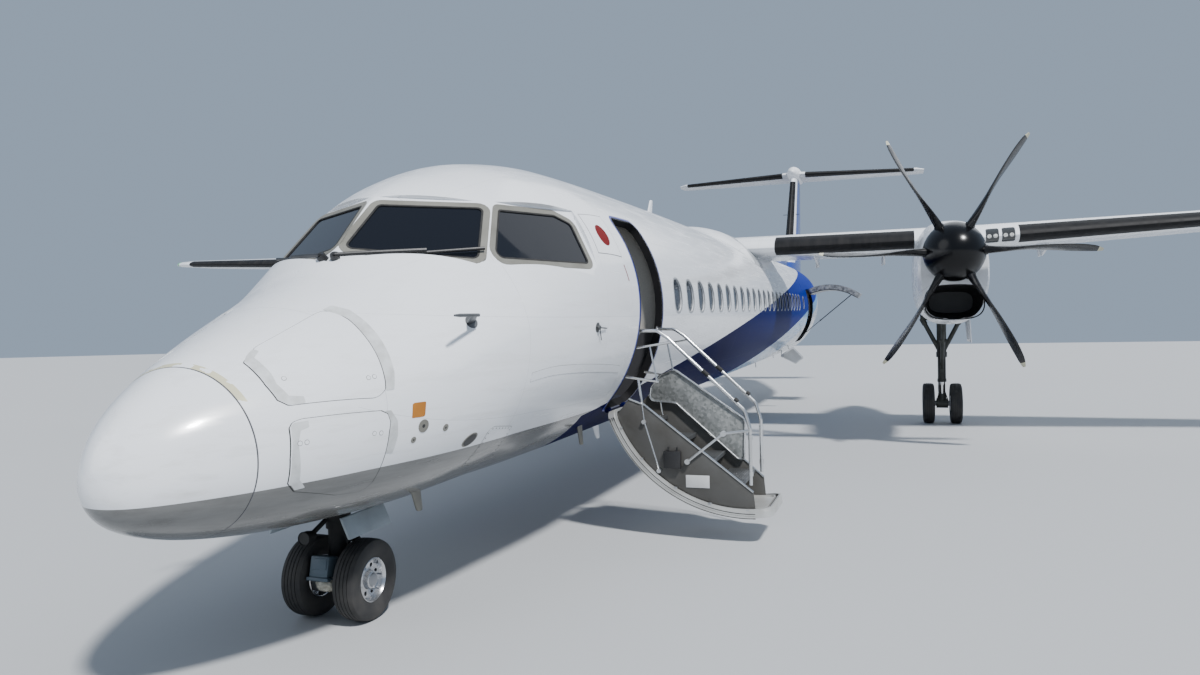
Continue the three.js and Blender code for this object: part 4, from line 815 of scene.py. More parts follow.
def door_outline(front, back, low, high, radius=0.11, ease=0.0):
    """Outline of a door as (station, arc length) points, with rounded corners."""
    arcs = [math.radians(a) * TUBE for a in (low, high)]
    corners = [Vector((y, arcs[k] + ease * (1 - 2 * k), 0)) for y, k in
               ((front + ease, 0), (back - ease, 0), (back - ease, 1), (front + ease, 1))]
    return rounded(corners, radius - ease, 6)


def wrapped(bm, outline, deep, proud, side=1, pitch=0.09, step=0.0):
    """A plate cut to an outline of (station, arc length) and bent round the tube between two insets."""
    flat = bmesh.new()
    flat.faces.new([flat.verts.new((p.x, p.y, 0)) for p in outline])
    for axis, width in ((1, pitch), (0, step)):
        places = [p[axis] for p in outline]
        across = Vector((0, 0, 0))
        across[axis] = 1
        for place in spaced(min(places), max(places), width)[1:-1] if width else []:
            bmesh.ops.bisect_plane(flat, geom=flat.verts[:] + flat.edges[:] + flat.faces[:],
                                   plane_co=across * place, plane_no=across, dist=1e-5)
    bmesh.ops.solidify(flat, geom=flat.faces[:], thickness=1.0)
    for vert in flat.verts:
        inset = deep if abs(vert.co.z) < 0.5 else proud
        spot = body_point(vert.co.x, vert.co.y / TUBE, inset)
        vert.co = (spot.x * side, spot.y, spot.z)
    bmesh.ops.recalc_face_normals(flat, faces=flat.faces)
    mesh = bpy.data.meshes.new("part")
    flat.to_mesh(mesh)
    flat.free()
    bm.from_mesh(mesh)
    bpy.data.meshes.remove(mesh)
    return bm


def tube_section(name, node, start, end, pitch, materials=None):
    between = [y for y in spaced(start, end, pitch)]
    bm = lofted(body_rings(between))
    return link(name, bm, materials or hull_paint, nodes=[node])


g = Graph("cabin_lining", roughness=0.55)
spot = g.place(airframe=True)
x, y, z = g.axes(spot)
speckle = g.noise(spot, 90.0)
pale = g.blend(speckle, 0.4, 0.65, (0.44, 0.425, 0.39), (0.52, 0.50, 0.46))
carpet = g.blend(speckle, 0.35, 0.7, (0.035, 0.04, 0.06), (0.07, 0.075, 0.10))
line = g.near(g.zigzag(y, 0.31), 0.0, 0.003)
pale = g.mix(line * 0.6, pale, (0.15, 0.15, 0.15))
# below this height the walls are near-black, painted shade at the foot of the lobby and hold
pale = g.mix(z < -0.26, pale, (0.045, 0.045, 0.05))
g.set("Base Color", g.mix(z < -0.90, pale, carpet))
g.set("Normal", g.bump(speckle, 0.0008))
cabin_lining = g.material
jamb_black = metal("jamb_black", (0.010, 0.010, 0.011), 0.7, 0.0, stain=(2.0, 1.9, 1.8), specular=0.1)

LOBBY = ((-0.9, 4.330, FLOOR), (1.5, 5.310, 1.4))
BAGGAGE = ((-1.0, 20.320, -0.94), (1.5, 21.790, 1.0))


def room_cutter(low, high):
    """A room across the tube, a wall's thickness inside the skin."""
    bm = lofted(body_rings([low[1], high[1]], WALL, 72))
    for axis, value, way in ((0, low[0], -1), (2, low[2], -1), (2, high[2], 1)):
        co, no = Vector(), Vector()
        co[axis], no[axis] = value, way
        bmesh.ops.bisect_plane(bm, geom=bm.verts[:] + bm.edges[:] + bm.faces[:], plane_co=co, plane_no=no,
                               clear_outer=True, dist=1e-6)
        edges = [e for e in bm.edges if e.is_boundary]
        if edges:
            bmesh.ops.holes_fill(bm, edges=edges, sides=0)
    return bm


def door_lining(p, normal):
    """Walls and floor inside get the pale lining; the edge of a doorway gets its black seal."""
    depth = skin_depth(p)
    if depth < 0.012 or not (4.21 < p.y < 5.59 or 20.26 < p.y < 22.39):
        return 0
    return 2 if depth < WALL + 0.006 and abs(normal.dot(Vector((p.x, 0, p.z)).normalized())) < 0.5 else 1


door_skin = tube_section("door_skin", "door_section", 4.2015, 5.5985, 0.2,
                         [hull_paint, cabin_lining, jamb_black])
carve(door_skin, room_cutter(*LOBBY))
stair_opening = door_outline(**STAIR_DOOR)
carve(door_skin, wrapped(bmesh.new(), stair_opening, 0.45, -0.15))
cabin_skin = tube_section("cabin_skin", "cabin_section", 5.6015, 20.2485, 0.5)
hold_skin = tube_section("hold_skin", "hold_section", 20.2515, 22.3985, 0.3,
                         [hull_paint, cabin_lining, jamb_black])
carve(hold_skin, room_cutter(*BAGGAGE))
hatch_opening = door_outline(**HATCH_DOOR)
carve(hold_skin, wrapped(bmesh.new(), hatch_opening, 0.45, -0.15))
tube_section("tail_skin", "tail_section", 22.4015, 31.69, 0.3)

DOOR_PANEL = 0.060
WINDOW = {"first": 5.870, "pitch": 0.585, "count": 22, "height": 0.110, "tall": 0.355, "wide": 0.330,
          "corner": 0.135}


def window_outline(station, grow=0.0, scale=1.0):
    """Outline of a small cabin window as (station, arc length) points."""
    wide, tall = (WINDOW["wide"] * scale / 2 + grow, WINDOW["tall"] * scale / 2 + grow)
    arc = TUBE * math.asin(WINDOW["height"] / TUBE)
    corners = [Vector((station + wide * u, arc + tall * v, 0))
               for u, v in ((-1, -1), (1, -1), (1, 1), (-1, 1))]
    return rounded(corners, WINDOW["corner"] * scale + grow, 4)


for door_name, (sign, front, back, low, high) in SHUT_DOORS.items():
    host = door_skin if front < 5 else cabin_skin
    carve(host, wrapped(bmesh.new(), door_outline(front, back, low, high, 0.10), DOOR_PANEL, -0.1, sign))
    bm = wrapped(bmesh.new(), door_outline(front, back, low, high, 0.10, ease=0.005), DOOR_PANEL - 0.002,
                 0.001, sign)
    panel = link(f"{door_name}_panel", bm, hull_paint, nodes=[door_name])
    hole = window_outline((front + back) / 2, scale=0.8)
    carve(panel, wrapped(bmesh.new(), hole, 0.026, -0.05, sign))

window_stations = [WINDOW["first"] + WINDOW["pitch"] * i for i in range(WINDOW["count"])]
window_places = [(sign, y, 1.0) for sign in (1, -1) for y in window_stations]
window_places += [(sign, (front + back) / 2, 0.8) for sign, front, back, _, _ in SHUT_DOORS.values()]
holes, rims, panes, cores = (bmesh.new() for _ in range(4))
for sign, station, scale in window_places:
    if scale == 1.0:
        wrapped(holes, window_outline(station), 0.026, -0.05, sign, 0.12)
    wrapped(rims, window_outline(station, 0.017, scale), 0.006, -0.0022, sign, 0.12)
    wrapped(cores, window_outline(station, -0.003, scale), 0.05, -0.05, sign, 0.12)
    wrapped(panes, window_outline(station, -0.001, scale), 0.022, 0.016, sign, 0.12)
carve(cabin_skin, holes)
rim_paint = metal("rim_paint", (0.42, 0.44, 0.46), 0.4, 0.4)
cabin_glass = dark_glass("cabin_glass", (0.035, 0.042, 0.055), 0.1)
window_rims = link("cabin_window_rims", rims, rim_paint, slot="grey_metal")
carve(window_rims, cores)
link("cabin_window_panes", panes, cabin_glass, slot="window")
reface(door_skin, door_lining)
reface(hold_skin, door_lining)

# Doorway trim
# Around each open doorway runs a thin blue-black seal strip and a proud metal sill with a tread.
def skin_ring(bm, outline, profile, pitch=0.03):
    """A ring that follows an outline round the tube, with its profile as (offset, inset) corners."""
    loops = [[spot for spot, _ in along(offset(outline, UP, grow), pitch)] for grow, _ in profile]
    count = min(len(loop) for loop in loops)
    rings = []
    for loop, (_, inset) in zip(loops, profile):
        picked = [loop[round(i * len(loop) / count) % len(loop)] for i in range(count)]
        rings.append([body_point(p.x, p.y / TUBE, inset) for p in picked])
    return loft(bm, rings, caps=False)


seals, sills, trims = bmesh.new(), bmesh.new(), bmesh.new()
for opening, outline in ((STAIR_DOOR, stair_opening), (HATCH_DOOR, hatch_opening)):
    skin_ring(seals, outline,
              ((0.002, 0.01), (0.002, -0.004), (0.014, -0.003), (0.014, 0.01), (0.002, 0.01)))
    foot = body_point((opening["front"] + opening["back"]) / 2, math.radians(opening["low"]), 0.03)
    block(sills, (foot.x - 0.14, opening["front"] + 0.09, foot.z - 0.014),
          (foot.x - 0.01, opening["back"] - 0.09, foot.z - 0.001), 0.003)
skin_ring(trims, stair_opening,
          ((0.015, 0.004), (0.015, -0.0018), (0.040, -0.0018), (0.040, 0.004), (0.015, 0.004)))
link("doorway_trim", trims, metal("trim_blue", (0.010, 0.020, 0.22), 0.35, 0.0, stain=(1.2, 1.2, 1.2)),
     slot="blue_paint")
link("doorway_seals", seals, black_rubber, slot="tyre")
link("doorway_sills", sills, alloy, slot="alloy")

# Nose panels, probes and markings
# Two access doors a side with pale sealant along their edges, a bare orange placard, screwed
# hatches, a flush vent, pitot heads and vanes, and a white panel with a red disc.
def skin_place(station, height):
    """Station and arc length round the tube where the skin to port has a height."""
    _, _, top, bottom, widest, above, below = tube_row(station)
    reach, power = (top - widest, above) if height > widest else (widest - bottom, below)
    angle = math.asin(min(1.0, abs(height - widest) / reach) ** (power / 2))
    return Vector((station, math.copysign(angle, height - widest) * TUBE, 0))


def skin_spot(station, arc, side=1, rise=0.0):
    """A point of the skin, or above it, and the way out from there."""
    angle = arc / TUBE
    spot = body_point(station, angle)
    lengthwise = body_point(station + 0.01, angle) - body_point(station - 0.01, angle)
    round_it = body_point(station, angle + 0.01) - body_point(station, angle - 0.01)
    out = round_it.cross(lengthwise).normalized()
    if out.dot(spot - Vector((0, station, tube_row(station)[4]))) < 0:
        out.negate()
    flip = Vector((side, 1, 1))
    return (spot + out * rise) * flip, out * flip


def disc(bm, station, arc, side, radius, low, high, sides=20, top=None):
    """A low round boss on the skin."""
    spot, out = skin_spot(station, arc, side)
    rod(bm, spot + out * low, spot + out * high, radius, sides, top)


def oval(station, arc, half_long, half_tall, sides=20):
    turns = [2 * math.pi * i / sides for i in range(sides)]
    return [Vector((station + half_long * math.cos(t), arc + half_tall * math.sin(t), 0)) for t in turns]


def places(points):
    return [skin_place(y, z) for y, z in points]


ACCESS_DOORS = [
    # outline of each door as (station, height)
    [(0.649, -0.284), (0.640, -0.340), (0.633, -0.404), (0.639, -0.478), (0.674, -0.508), (1.117, -0.510),
     (1.170, -0.472), (1.182, -0.428), (1.207, -0.300), (1.235, -0.170), (1.262, -0.075), (1.262, -0.030),
     (1.228, -0.021), (0.769, -0.211)],
    [(0.642, -0.620), (0.662, -0.593), (0.701, -0.582), (1.129, -0.586), (1.170, -0.606), (1.188, -0.655),
     (1.184, -0.709), (1.188, -0.884), (1.190, -1.000), (1.160, -1.045), (0.975, -1.030), (0.692, -0.955),
     (0.644, -0.906), (0.635, -0.775)],
]
SEALANT = [
    [(0.654, -0.281), (0.690, -0.254), (0.749, -0.220), (0.755, -0.232), (0.703, -0.265), (0.690, -0.349),
     (0.676, -0.398), (0.692, -0.461), (0.754, -0.469), (0.748, -0.506), (0.674, -0.504), (0.641, -0.478),
     (0.636, -0.404), (0.642, -0.330)],
    [(1.244, -0.015), (1.310, 0.010), (1.338, -0.018), (1.319, -0.105), (1.295, -0.206), (1.256, -0.380),
     (1.223, -0.475), (1.176, -0.475), (1.188, -0.428), (1.211, -0.300), (1.239, -0.170), (1.270, -0.065)],
    [(0.648, -0.612), (0.665, -0.597), (0.734, -0.592), (0.731, -0.626), (0.688, -0.640), (0.671, -0.702),
     (0.698, -0.895), (0.743, -0.944), (0.690, -0.948), (0.648, -0.904), (0.639, -0.775)],
    [(1.140, -0.585), (1.192, -0.588), (1.236, -0.650), (1.249, -0.739), (1.240, -0.837), (1.192, -0.828),
     (1.190, -0.709), (1.192, -0.655), (1.172, -0.604)],
]
LATCHES = [(0.722, -0.374), (1.103, -0.399), (1.137, -0.395), (0.680, -0.703), (0.714, -0.702),
           (1.091, -0.705), (1.134, -0.708)]
HATCH = [(2.120, -0.800), (2.450, -0.840), (2.547, -1.110), (2.120, -1.075)]
STRAP = [(2.450, -0.470), (4.120, -0.527), (4.160, -0.590), (2.450, -0.532)]
PLACARD = [(1.335, -0.562), (1.430, -0.562), (1.430, -0.650), (1.335, -0.650)]
VENT = (1.930, -0.860)

nose_paint = livery("nose_paint", frames=False)
nose_gaps, nose_panels, sealant, screws = (bmesh.new() for _ in range(4))
for sign in (1, -1):
    for door in ACCESS_DOORS:
        outline = rounded(places(door), 0.060, 4)
        wrapped(nose_gaps, offset(outline, UP, 0.0060), 0.004, -0.0004, sign, 0.05, 0.06)
        wrapped(nose_panels, outline, 0.003, -0.0014, sign, 0.05, 0.06)
    for strip in SEALANT:
        wrapped(sealant, rounded(places(strip), 0.008, 2), 0.002, -0.0019, sign, 0.05, 0.06)
    outline = rounded(places(HATCH), 0.05, 4)
    wrapped(nose_gaps, offset(outline, UP, 0.0035), 0.003, -0.0003, sign, 0.06, 0.08)
    wrapped(nose_panels, outline, 0.002, -0.0008, sign, 0.06, 0.08)
    for place, _ in along(offset(outline, UP, -0.016), 0.050):
        spot, out = skin_spot(place.x, place.y, sign)
        rivet(screws, spot + out * 0.001, out, 0.0062, 0.0014)
    outline = places(STRAP)
    wrapped(nose_gaps, offset(outline, UP, 0.002), 0.003, -0.0002, sign, 0.08, 0.12)
    wrapped(nose_panels, outline, 0.002, -0.0016, sign, 0.08, 0.12)
    for station, height in LATCHES:
        place = skin_place(station, height)
        disc(nose_gaps, place.x, place.y, sign, 0.0135, -0.002, 0.0019)
        disc(nose_panels, place.x, place.y, sign, 0.0115, -0.002, 0.0024)
link("nose_panel_gaps", nose_gaps, black_rubber, slot="tyre")
link("nose_panels", nose_panels, nose_paint)
g = Graph("old_sealant", roughness=0.6)
spot = g.place()
g.set("Base Color", g.blend(g.noise(spot, 16.0, 4.0), 0.35, 0.7, (0.60, 0.62, 0.63), (0.46, 0.47, 0.47)))
g.set("Normal", g.bump(g.noise(spot, 120.0), 0.001))
link("nose_sealant", sealant, g.material)
link("hatch_screws", screws, dark_metal, slot="dark_metal")

# The vent's dark oval is a black disc, painted shade for the inside of its opening, with a turned-in lip;
# the placard beside it is left bare.
vent_shade_discs, placards, slots = bmesh.new(), bmesh.new(), bmesh.new()
for sign in (1, -1):
    place = skin_place(*VENT)
    wrapped(placards, oval(place.x, place.y, 0.070, 0.070), 0.004, -0.0022, sign, 0.04, 0.05)
    wrapped(vent_shade_discs, oval(place.x, place.y, 0.057, 0.057), 0.004, -0.0034, sign, 0.04, 0.05)
    for station, height, radius in ((1.430, -0.706, 0.040), (1.375, -0.781, 0.020), (1.62, -0.74, 0.024)):
        place = skin_place(station, height)
        disc(placards, place.x, place.y, sign, radius, -0.003, 0.0016)
        # the hole in each small fitting is a black dot, painted shade
        disc(vent_shade_discs, place.x, place.y, sign, radius * 0.28, -0.003, 0.0022)
    wrapped(slots, places([(4.122, 0.346), (4.142, 0.346), (4.180, 0.207), (4.160, 0.207)]), 0.004, -0.001,
            sign)
link("vent_holes_painted_shade", vent_shade_discs, black_paint, slot="black_composite")
link("vent_rims", placards, retainer_metal, slot="alloy")
link("pull_slots", slots, metal("dull_red", (0.20, 0.025, 0.02), 0.5, 0.0), slot="dark_metal")
labels = bmesh.new()
for sign in (1, -1):
    wrapped(labels, rounded(places(PLACARD), 0.012, 3), 0.002, -0.0012, sign, 0.05, 0.05)
link("bare_placards", labels,
     metal("placard_orange", (0.45, 0.17, 0.015), 0.5, 0.0, stain=(0.5, 0.45, 0.5)))

# White panel with a red disc, in a thin grey outline, ahead of the doorway.
FLAG = [(3.645, 0.426), (4.140, 0.420), (4.165, 0.775), (3.690, 0.750)]
rims, whites, discs = bmesh.new(), bmesh.new(), bmesh.new()
for sign in (1, -1):
    outline = places(FLAG)
    wrapped(rims, offset(outline, UP, 0.007), 0.002, -0.0006, sign, 0.05, 0.08)
    wrapped(whites, outline, 0.002, -0.0012, sign, 0.05, 0.08)
    middle = skin_place(3.915, 0.592)
    wrapped(discs, oval(middle.x, middle.y, 0.108, 0.108, 48), 0.002, -0.0017, sign, 0.05, 0.08)
link("flag_rims", rims, metal("thin_grey", (0.10, 0.10, 0.11), 0.4, 0.0))
link("flag_whites", whites, nose_paint)
disc_red = metal("disc_red", (0.15, 0.0002, 0.001), 0.5, 0.0, stain=(0.86, 0.8, 0.8), depth=0.0001,
                 specular=0.08)
link("flag_discs", discs, disc_red)

# Pitot heads ahead of the windscreen, vanes further back, and small masts under the nose.
probes, masts = bmesh.new(), bmesh.new()


def blade_mast(bm, foot, out, height, chord, tip, thick, lean):
    """A flat streamlined mast that stands on the skin and leans aft."""
    across = out.cross(Vector((0, 1, 0))).normalized()
    rings = []
    for share, size in ((-0.06, chord), (0.0, chord), (0.5, (chord + tip) / 2), (0.93, tip),
                        (1.0, tip * 0.72)):
        turns = [2 * math.pi * i / 20 for i in range(20)]
        rings.append([foot + out * height * share + Vector((0, 1, 0))
                      * (lean * share + size / 2 * math.cos(t))
                      + across * thick / 2 * math.sin(t) * (1 - 0.35 * math.cos(t)) for t in turns])
    loft(bm, rings)


for sign in (1, -1):
    for station, height, long in ((1.901, -0.107, 0.26),):
        # the starboard head sits lower, out of sight from port
        place = skin_place(station, height if sign > 0 else height - 0.28)
        foot, out = skin_spot(place.x, place.y, sign)
        disc(probes, place.x, place.y, sign, 0.045, -0.003, 0.003)
        blade_mast(probes, foot, out, 0.085, 0.11, 0.075, 0.018, -0.05)
        tip = foot + out * 0.088 + Vector((0, -0.05, 0))
        hose(probes, [tip + Vector((0, 0.05, 0)), tip + Vector((0, -long * 0.75, 0))], 0.0115, 12)
        rod(probes, tip + Vector((0, -long * 0.74, 0)), tip + Vector((0, -long, 0)), 0.0115, 12, 0.0065)
    place = skin_place(3.391, -0.180)
    foot, out = skin_spot(place.x, place.y, sign)
    disc(probes, place.x, place.y, sign, 0.040, -0.003, 0.002)
    disc(probes, place.x, place.y, sign, 0.018, 0.0, 0.024)
    hub = foot + out * 0.020
    hose(probes, [hub, hub + Vector((0, 0.17, -0.008))], 0.0055, 8)
    hose(probes, [hub, hub + Vector((-0.02 * sign, 0.085, -0.10))], 0.0040, 8)
    for station, x, depth in ((1.90, 0.53, 0.13), (4.25, 0.80, 0.17)):
        _, half, top, bottom, widest, above, below = tube_row(station)
        arc = -math.acos((x / half) ** (below / 2)) * TUBE
        foot, _ = skin_spot(station, arc, sign)
        if sign > 0 or station < 2:
            blade_mast(masts, foot, Vector((0, 0, -1)), depth, 0.11, 0.07, 0.030, 0.04)
link("nose_probes", probes, dark_metal, slot="dark_metal")
link("nose_masts", masts, retainer_metal, slot="alloy")
# Wing
# A high wing with a light-alloy skin on ribs, black rubber ice boots along the leading edge, two
# slotted flaps and an aileron a side, and slim fairings over the flap arms below it.
WING_SECTIONS = [
    # x, station of the leading edge, chord, height of the leading edge, thickness share
    (0.000, 13.237, 2.720, 1.100, 0.18),
    (4.950, 13.237, 2.720, 1.100, 0.18),
    (13.500, 14.235, 1.330, 1.462, 0.15),
    (14.000, 14.420, 1.120, 1.484, 0.14),
    (14.210, 14.760, 0.740, 1.494, 0.12),
]
WING_TWIST = math.radians(2)
WING_JOINT = 4.950
FLAP_FRONT, FLAP_DROP, END_GAP, SHUT_LINE = 0.72, 0.230, 0.012, 0.008
FLAPS = {"inner_flap": (1.500, 3.790), "outer_flap": (5.020, 10.050)}
FLAP_ARM, ARM_GAP = 0.030, 0.006
AILERON = {"inner": 10.150, "outer": 13.300, "hinge": 0.77}


def row_between(rows, at):
    """One row of a table on the straight line between its two neighbours."""
    k = next((i for i in range(1, len(rows)) if rows[i][0] >= at - 1e-9), len(rows) - 1)
    a, b = rows[k - 1], rows[k]
    share = (at - a[0]) / (b[0] - a[0])
    return [u + (v - u) * share for u, v in zip(a, b)]


def face_heights(chord, thickness, cambered):
    """Heights of a section's upper and lower face, as a function of the share of its chord."""
    def heights(share):
        shape = (0.2969 * math.sqrt(max(share, 0)) - 0.126 * share - 0.3516 * share ** 2
                 + 0.2843 * share ** 3 - 0.1015 * share ** 4)
        half = max(5 * thickness * shape * chord, 0.003)
        camber = 0.18 * thickness * chord * math.sin(math.pi * min(share, 1)) if cambered else 0.0
        return camber + half, camber - half * (0.75 if cambered else 1)
    return heights


def section_outline(chord, faces, start=0.0, end=1.0, steps=22):
    """Outline of a section, or of its part between two shares of the chord."""
    shares = [start + (end - start) * (1 - math.cos(math.pi * i / steps)) / 2 for i in range(steps + 1)]
    upper = [(t * chord, faces(t)[0]) for t in shares]
    lower = [(t * chord, faces(t)[1]) for t in shares if t > 0]
    return upper + lower[::-1]


def hinge_in(chord, faces, share):
    up, low = faces(share)
    return share * chord, (up + low) / 2, (up - low) / 2


def nose_arc(y, z, radius, start, end, steps=12):
    turns = [math.radians(start + (end - start) * i / steps) for i in range(steps + 1)]
    return [(y + radius * math.cos(t), z + radius * math.sin(t)) for t in turns]


def hinged_outline(chord, faces, share, steps=8):
    """A round nose about the hinge, then both faces to the trailing edge."""
    y, z, radius = hinge_in(chord, faces, share)
    shares = [share + (1 - share) * i / steps for i in range(1, steps + 1)]
    upper = [(t * chord, faces(t)[0]) for t in shares]
    lower = [(t * chord, faces(t)[1]) for t in reversed(shares)]
    return nose_arc(y, z, radius, -90, -270) + upper + lower


def well_outline(chord, faces, share, gap=0.008):
    """The space that a hinged surface lies and turns in."""
    y, z, radius = hinge_in(chord, faces, share)
    tall, far = 0.25 * chord, y + 0.6 * chord
    return [(y, tall)] + nose_arc(y, z, radius + gap, 90, 270) + [(y, -tall), (far, -tall), (far, tall)]


def wing_faces(x):
    _, leading, chord, height, thickness = row_between(WING_SECTIONS, x)
    return leading, chord, height, face_heights(chord, thickness, True)


def on_wing(x, point):
    leading, _, height, _ = wing_faces(x)
    c, s = math.cos(WING_TWIST), math.sin(WING_TWIST)
    y, z = point
    return Vector((x, leading + y * c + z * s, height - y * s + z * c))


def wing_ring(x, shape=section_outline, *rest, **part):
    _, chord, _, faces = wing_faces(x)
    return [on_wing(x, p) for p in shape(chord, faces, *rest, **part)]


def flap_well(row):
    rings = []
    for x in (row[0] - END_GAP, row[1] + END_GAP):
        chord = wing_faces(x)[1]
        near, far = FLAP_FRONT * chord, 1.4 * chord
        rings.append([on_wing(x, p) for p in ((near, 0.4), (near, -0.4), (far, -0.4), (far, 0.4))])
    return lofted(rings)


def prism(bm, outline, low, high, axis=0, bevel=0.0):
    """A plate with an outline, between two places along an axis, with its edges eased."""
    others = [k for k in range(3) if k != axis]
    rings = []
    for place in (low, high):
        ring = []
        for a, b in outline:
            spot = Vector()
            spot[axis], spot[others[0]], spot[others[1]] = place, a, b
            ring.append(spot)
        rings.append(ring)
    made = loft(bm, rings)
    if bevel:
        edges = list({e for v in made for e in v.link_edges if len(e.link_faces) == 2})
        sharp = [e for e in edges if e.calc_face_angle(0) > math.radians(25)]
        bmesh.ops.bevel(bm, geom=sharp, offset=bevel, segments=2, profile=0.5, affect="EDGES", material=-1)
    return bm


def flap_stations(row):
    return [row[0] + share * (row[1] - row[0]) for share in (0.22, 0.78)]


def flap_eye(x):
    return on_wing(x, (FLAP_FRONT * wing_faces(x)[1], -FLAP_DROP))


def flap_fairings(bm, row):
    """Slim pods beside the flap arms, each a tapering body with rounded edges."""
    for x in flap_stations(row):
        _, chord, _, faces = wing_faces(x)
        eye = flap_eye(x)
        rows = []
        for share, drop, half in ((0.36, 0.005, 0.006), (0.42, 0.055, 0.017), (0.52, 0.12, 0.022),
                                  (0.62, 0.17, 0.022), (0.70, 0.21, 0.020)):
            top = on_wing(x, (share * chord, faces(share)[1] + 0.02))
            rows.append((top, drop, half))
        middle = x + FLAP_ARM / 2 + ARM_GAP + 0.022
        rings = []
        for top, drop, half in rows:
            low = max(top.z - drop - 0.02, eye.z - 0.03)
            ring = [Vector((middle + half * math.copysign(abs(math.cos(t)) ** 0.5, math.cos(t)), top.y,
                            (top.z + low) / 2 + (top.z - low) / 2
                            * math.copysign(abs(math.sin(t)) ** 0.5, math.sin(t))))
                    for t in (2 * math.pi * i / 20 for i in range(20))]
            rings.append(ring)
        heel = [Vector((p.x, eye.y + 0.034, eye.z + (p.z - rings[-1][0].z) * 0.35 + 0.03))
                for p in rings[-1]]
        loft(bm, rings + [heel])
    return bm


ICE_BOOT = ((0.010, 0.010, 0.011), (0.026, 0.025, 0.025))


def wing_paint(name, boots):
    """White gloss with panel joints and rivets, and black ice boots on the leading edge."""
    g = Graph(name, roughness=0.25)
    spot = g.place(airframe=True)
    x, y, _ = g.axes(spot)
    out = abs(x)
    grime = g.noise(g.stretched(spot, (4.0, 0.7, 1.0)), 1.8, 5.0, 0.6)
    colour = g.mix(g.ramp(grime, 0.5, 0.8, 0.0, 0.35), WHITE, (0.50, 0.50, 0.49))
    sweep = g.most(out - 4.95, 0.0) * 0.11673
    back = y - sweep - 13.237
    rib = g.near(g.zigzag(out, 0.55), 0.0, 0.0015)
    spar = g.most(g.near(back, 0.42, 0.0016), g.near(back, 1.25, 0.0016))
    joint = g.most(rib, spar)
    colour = g.mix(joint * 0.4, colour, (0.18, 0.18, 0.19))
    dots = (g.zigzag(out, 0.55) - 0.02) ** 2.0 + g.zigzag(y, 0.014) ** 2.0
    rivets = dots < 0.0028 ** 2
    height = g.noise(spot, 12.0, 2.0) * 0.15 - (joint + rivets * 0.5)
    rough = 0.2 + g.ramp(grime, 0.45, 0.8) * 0.2
    if boots:
        width = g.ramp(out, 1.5, 13.4, 0.30, 0.17)
        inside = (out > 1.4) * (out < 3.86)
        outside = (out > 5.56) * (out < 13.42)
        boot = (inside + outside) * (back < width)
        weave = g.noise(spot, 260.0)
        colour = g.mix(boot, colour, g.blend(grime, 0.4, 0.8, *ICE_BOOT))
        rough = rough + boot * 0.32
        tubes = g.zigzag(back, 0.016) * 18.0
        height = height + boot * (tubes + weave)
        g.set("Specular IOR Level", g.ramp(boot, 0.0, 1.0, 0.5, 0.16))
    g.set("Base Color", colour)
    g.set("Roughness", rough)
    g.set("Coat Weight", g.ramp(boot, 0.0, 1.0, 0.2, 0.0) if boots else 0.2)
    g.set("Normal", g.bump(height, 0.0006, 0.7))
    return g.material


booted_wing = wing_paint("booted_wing", True)
plain_wing = wing_paint("plain_wing", False)

bm = lofted([wing_ring(x) for x in spaced(0.0, WING_JOINT - 0.0005, 0.5)])
flap_fairings(bm, FLAPS["inner_flap"])
centre = link("wing_centre_skin", both_sides(bm), booted_wing, nodes=["wing_centre"])
for sign in (1, -1):
    carve(centre, flap_well(FLAPS["inner_flap"]), side=sign)

outer_stations = spaced(WING_JOINT, 13.5, 0.6) + [13.65, 13.8, 13.92, 14.0, 14.07, 14.13, 14.18, 14.21]
aileron_ends = (AILERON["inner"], AILERON["outer"])
for word, sign in SIDES:
    bm = lofted([wing_ring(x) for x in outer_stations])
    flap_fairings(bm, FLAPS["outer_flap"])
    wing = link(f"outer_wing_skin_{word}", bm, booted_wing, nodes=[f"outer_wing_{word}"], side=sign)
    carve(wing, flap_well(FLAPS["outer_flap"]), side=sign)
    well = lofted([wing_ring(x, well_outline, AILERON["hinge"])
                   for x in (AILERON["inner"] - END_GAP, AILERON["outer"] + END_GAP)])
    carve(wing, well, side=sign)
    bm = lofted([wing_ring(x, hinged_outline, AILERON["hinge"]) for x in spaced(*aileron_ends, 0.4)])
    axis = []
    for x in aileron_ends:
        _, chord, _, faces = wing_faces(x)
        axis.append(on_wing(x, hinge_in(chord, faces, AILERON["hinge"])[:2]))
    step = (axis[1] - axis[0]).normalized() * 0.0105
    rod(bm, axis[0] - step, axis[0] + step * 3, 0.009)
    rod(bm, axis[1] - step * 3, axis[1] + step, 0.009)
    link(f"aileron_skin_{word}", bm, plain_wing, body=f"aileron_{word}",
         nodes=[f"aileron_{word}"], side=sign)
    for flap_name, row in FLAPS.items():
        rings = []
        for x in spaced(*row, 0.5):
            start = FLAP_FRONT + SHUT_LINE / wing_faces(x)[1]
            rings.append(wing_ring(x, section_outline, start, start + (1 - FLAP_FRONT) * 0.985, 10))
        bm = lofted(rings)
        for x in flap_stations(row):
            _, chord, _, faces = wing_faces(x)
            root, eye = on_wing(x, ((FLAP_FRONT + 0.02) * chord, faces(FLAP_FRONT)[1] + 0.02)), flap_eye(x)
            outline = [(root.y, root.z), (root.y + 0.28, root.z - 0.02), (eye.y + 0.06, eye.z - 0.026),
                       (eye.y - 0.026, eye.z - 0.026), (eye.y - 0.026, eye.z + 0.02)]
            prism(bm, outline, x - FLAP_ARM / 2, x + FLAP_ARM / 2, bevel=0.004)
            rod(bm, (x - FLAP_ARM / 2, eye.y, eye.z), (x + FLAP_ARM / 2 + ARM_GAP - 0.0003, eye.y, eye.z),
                0.014)
        link(f"{flap_name}_skin_{word}", bm, plain_wing, body=f"{flap_name}_{word}",
             nodes=[f"{flap_name}_{word}"], side=sign)
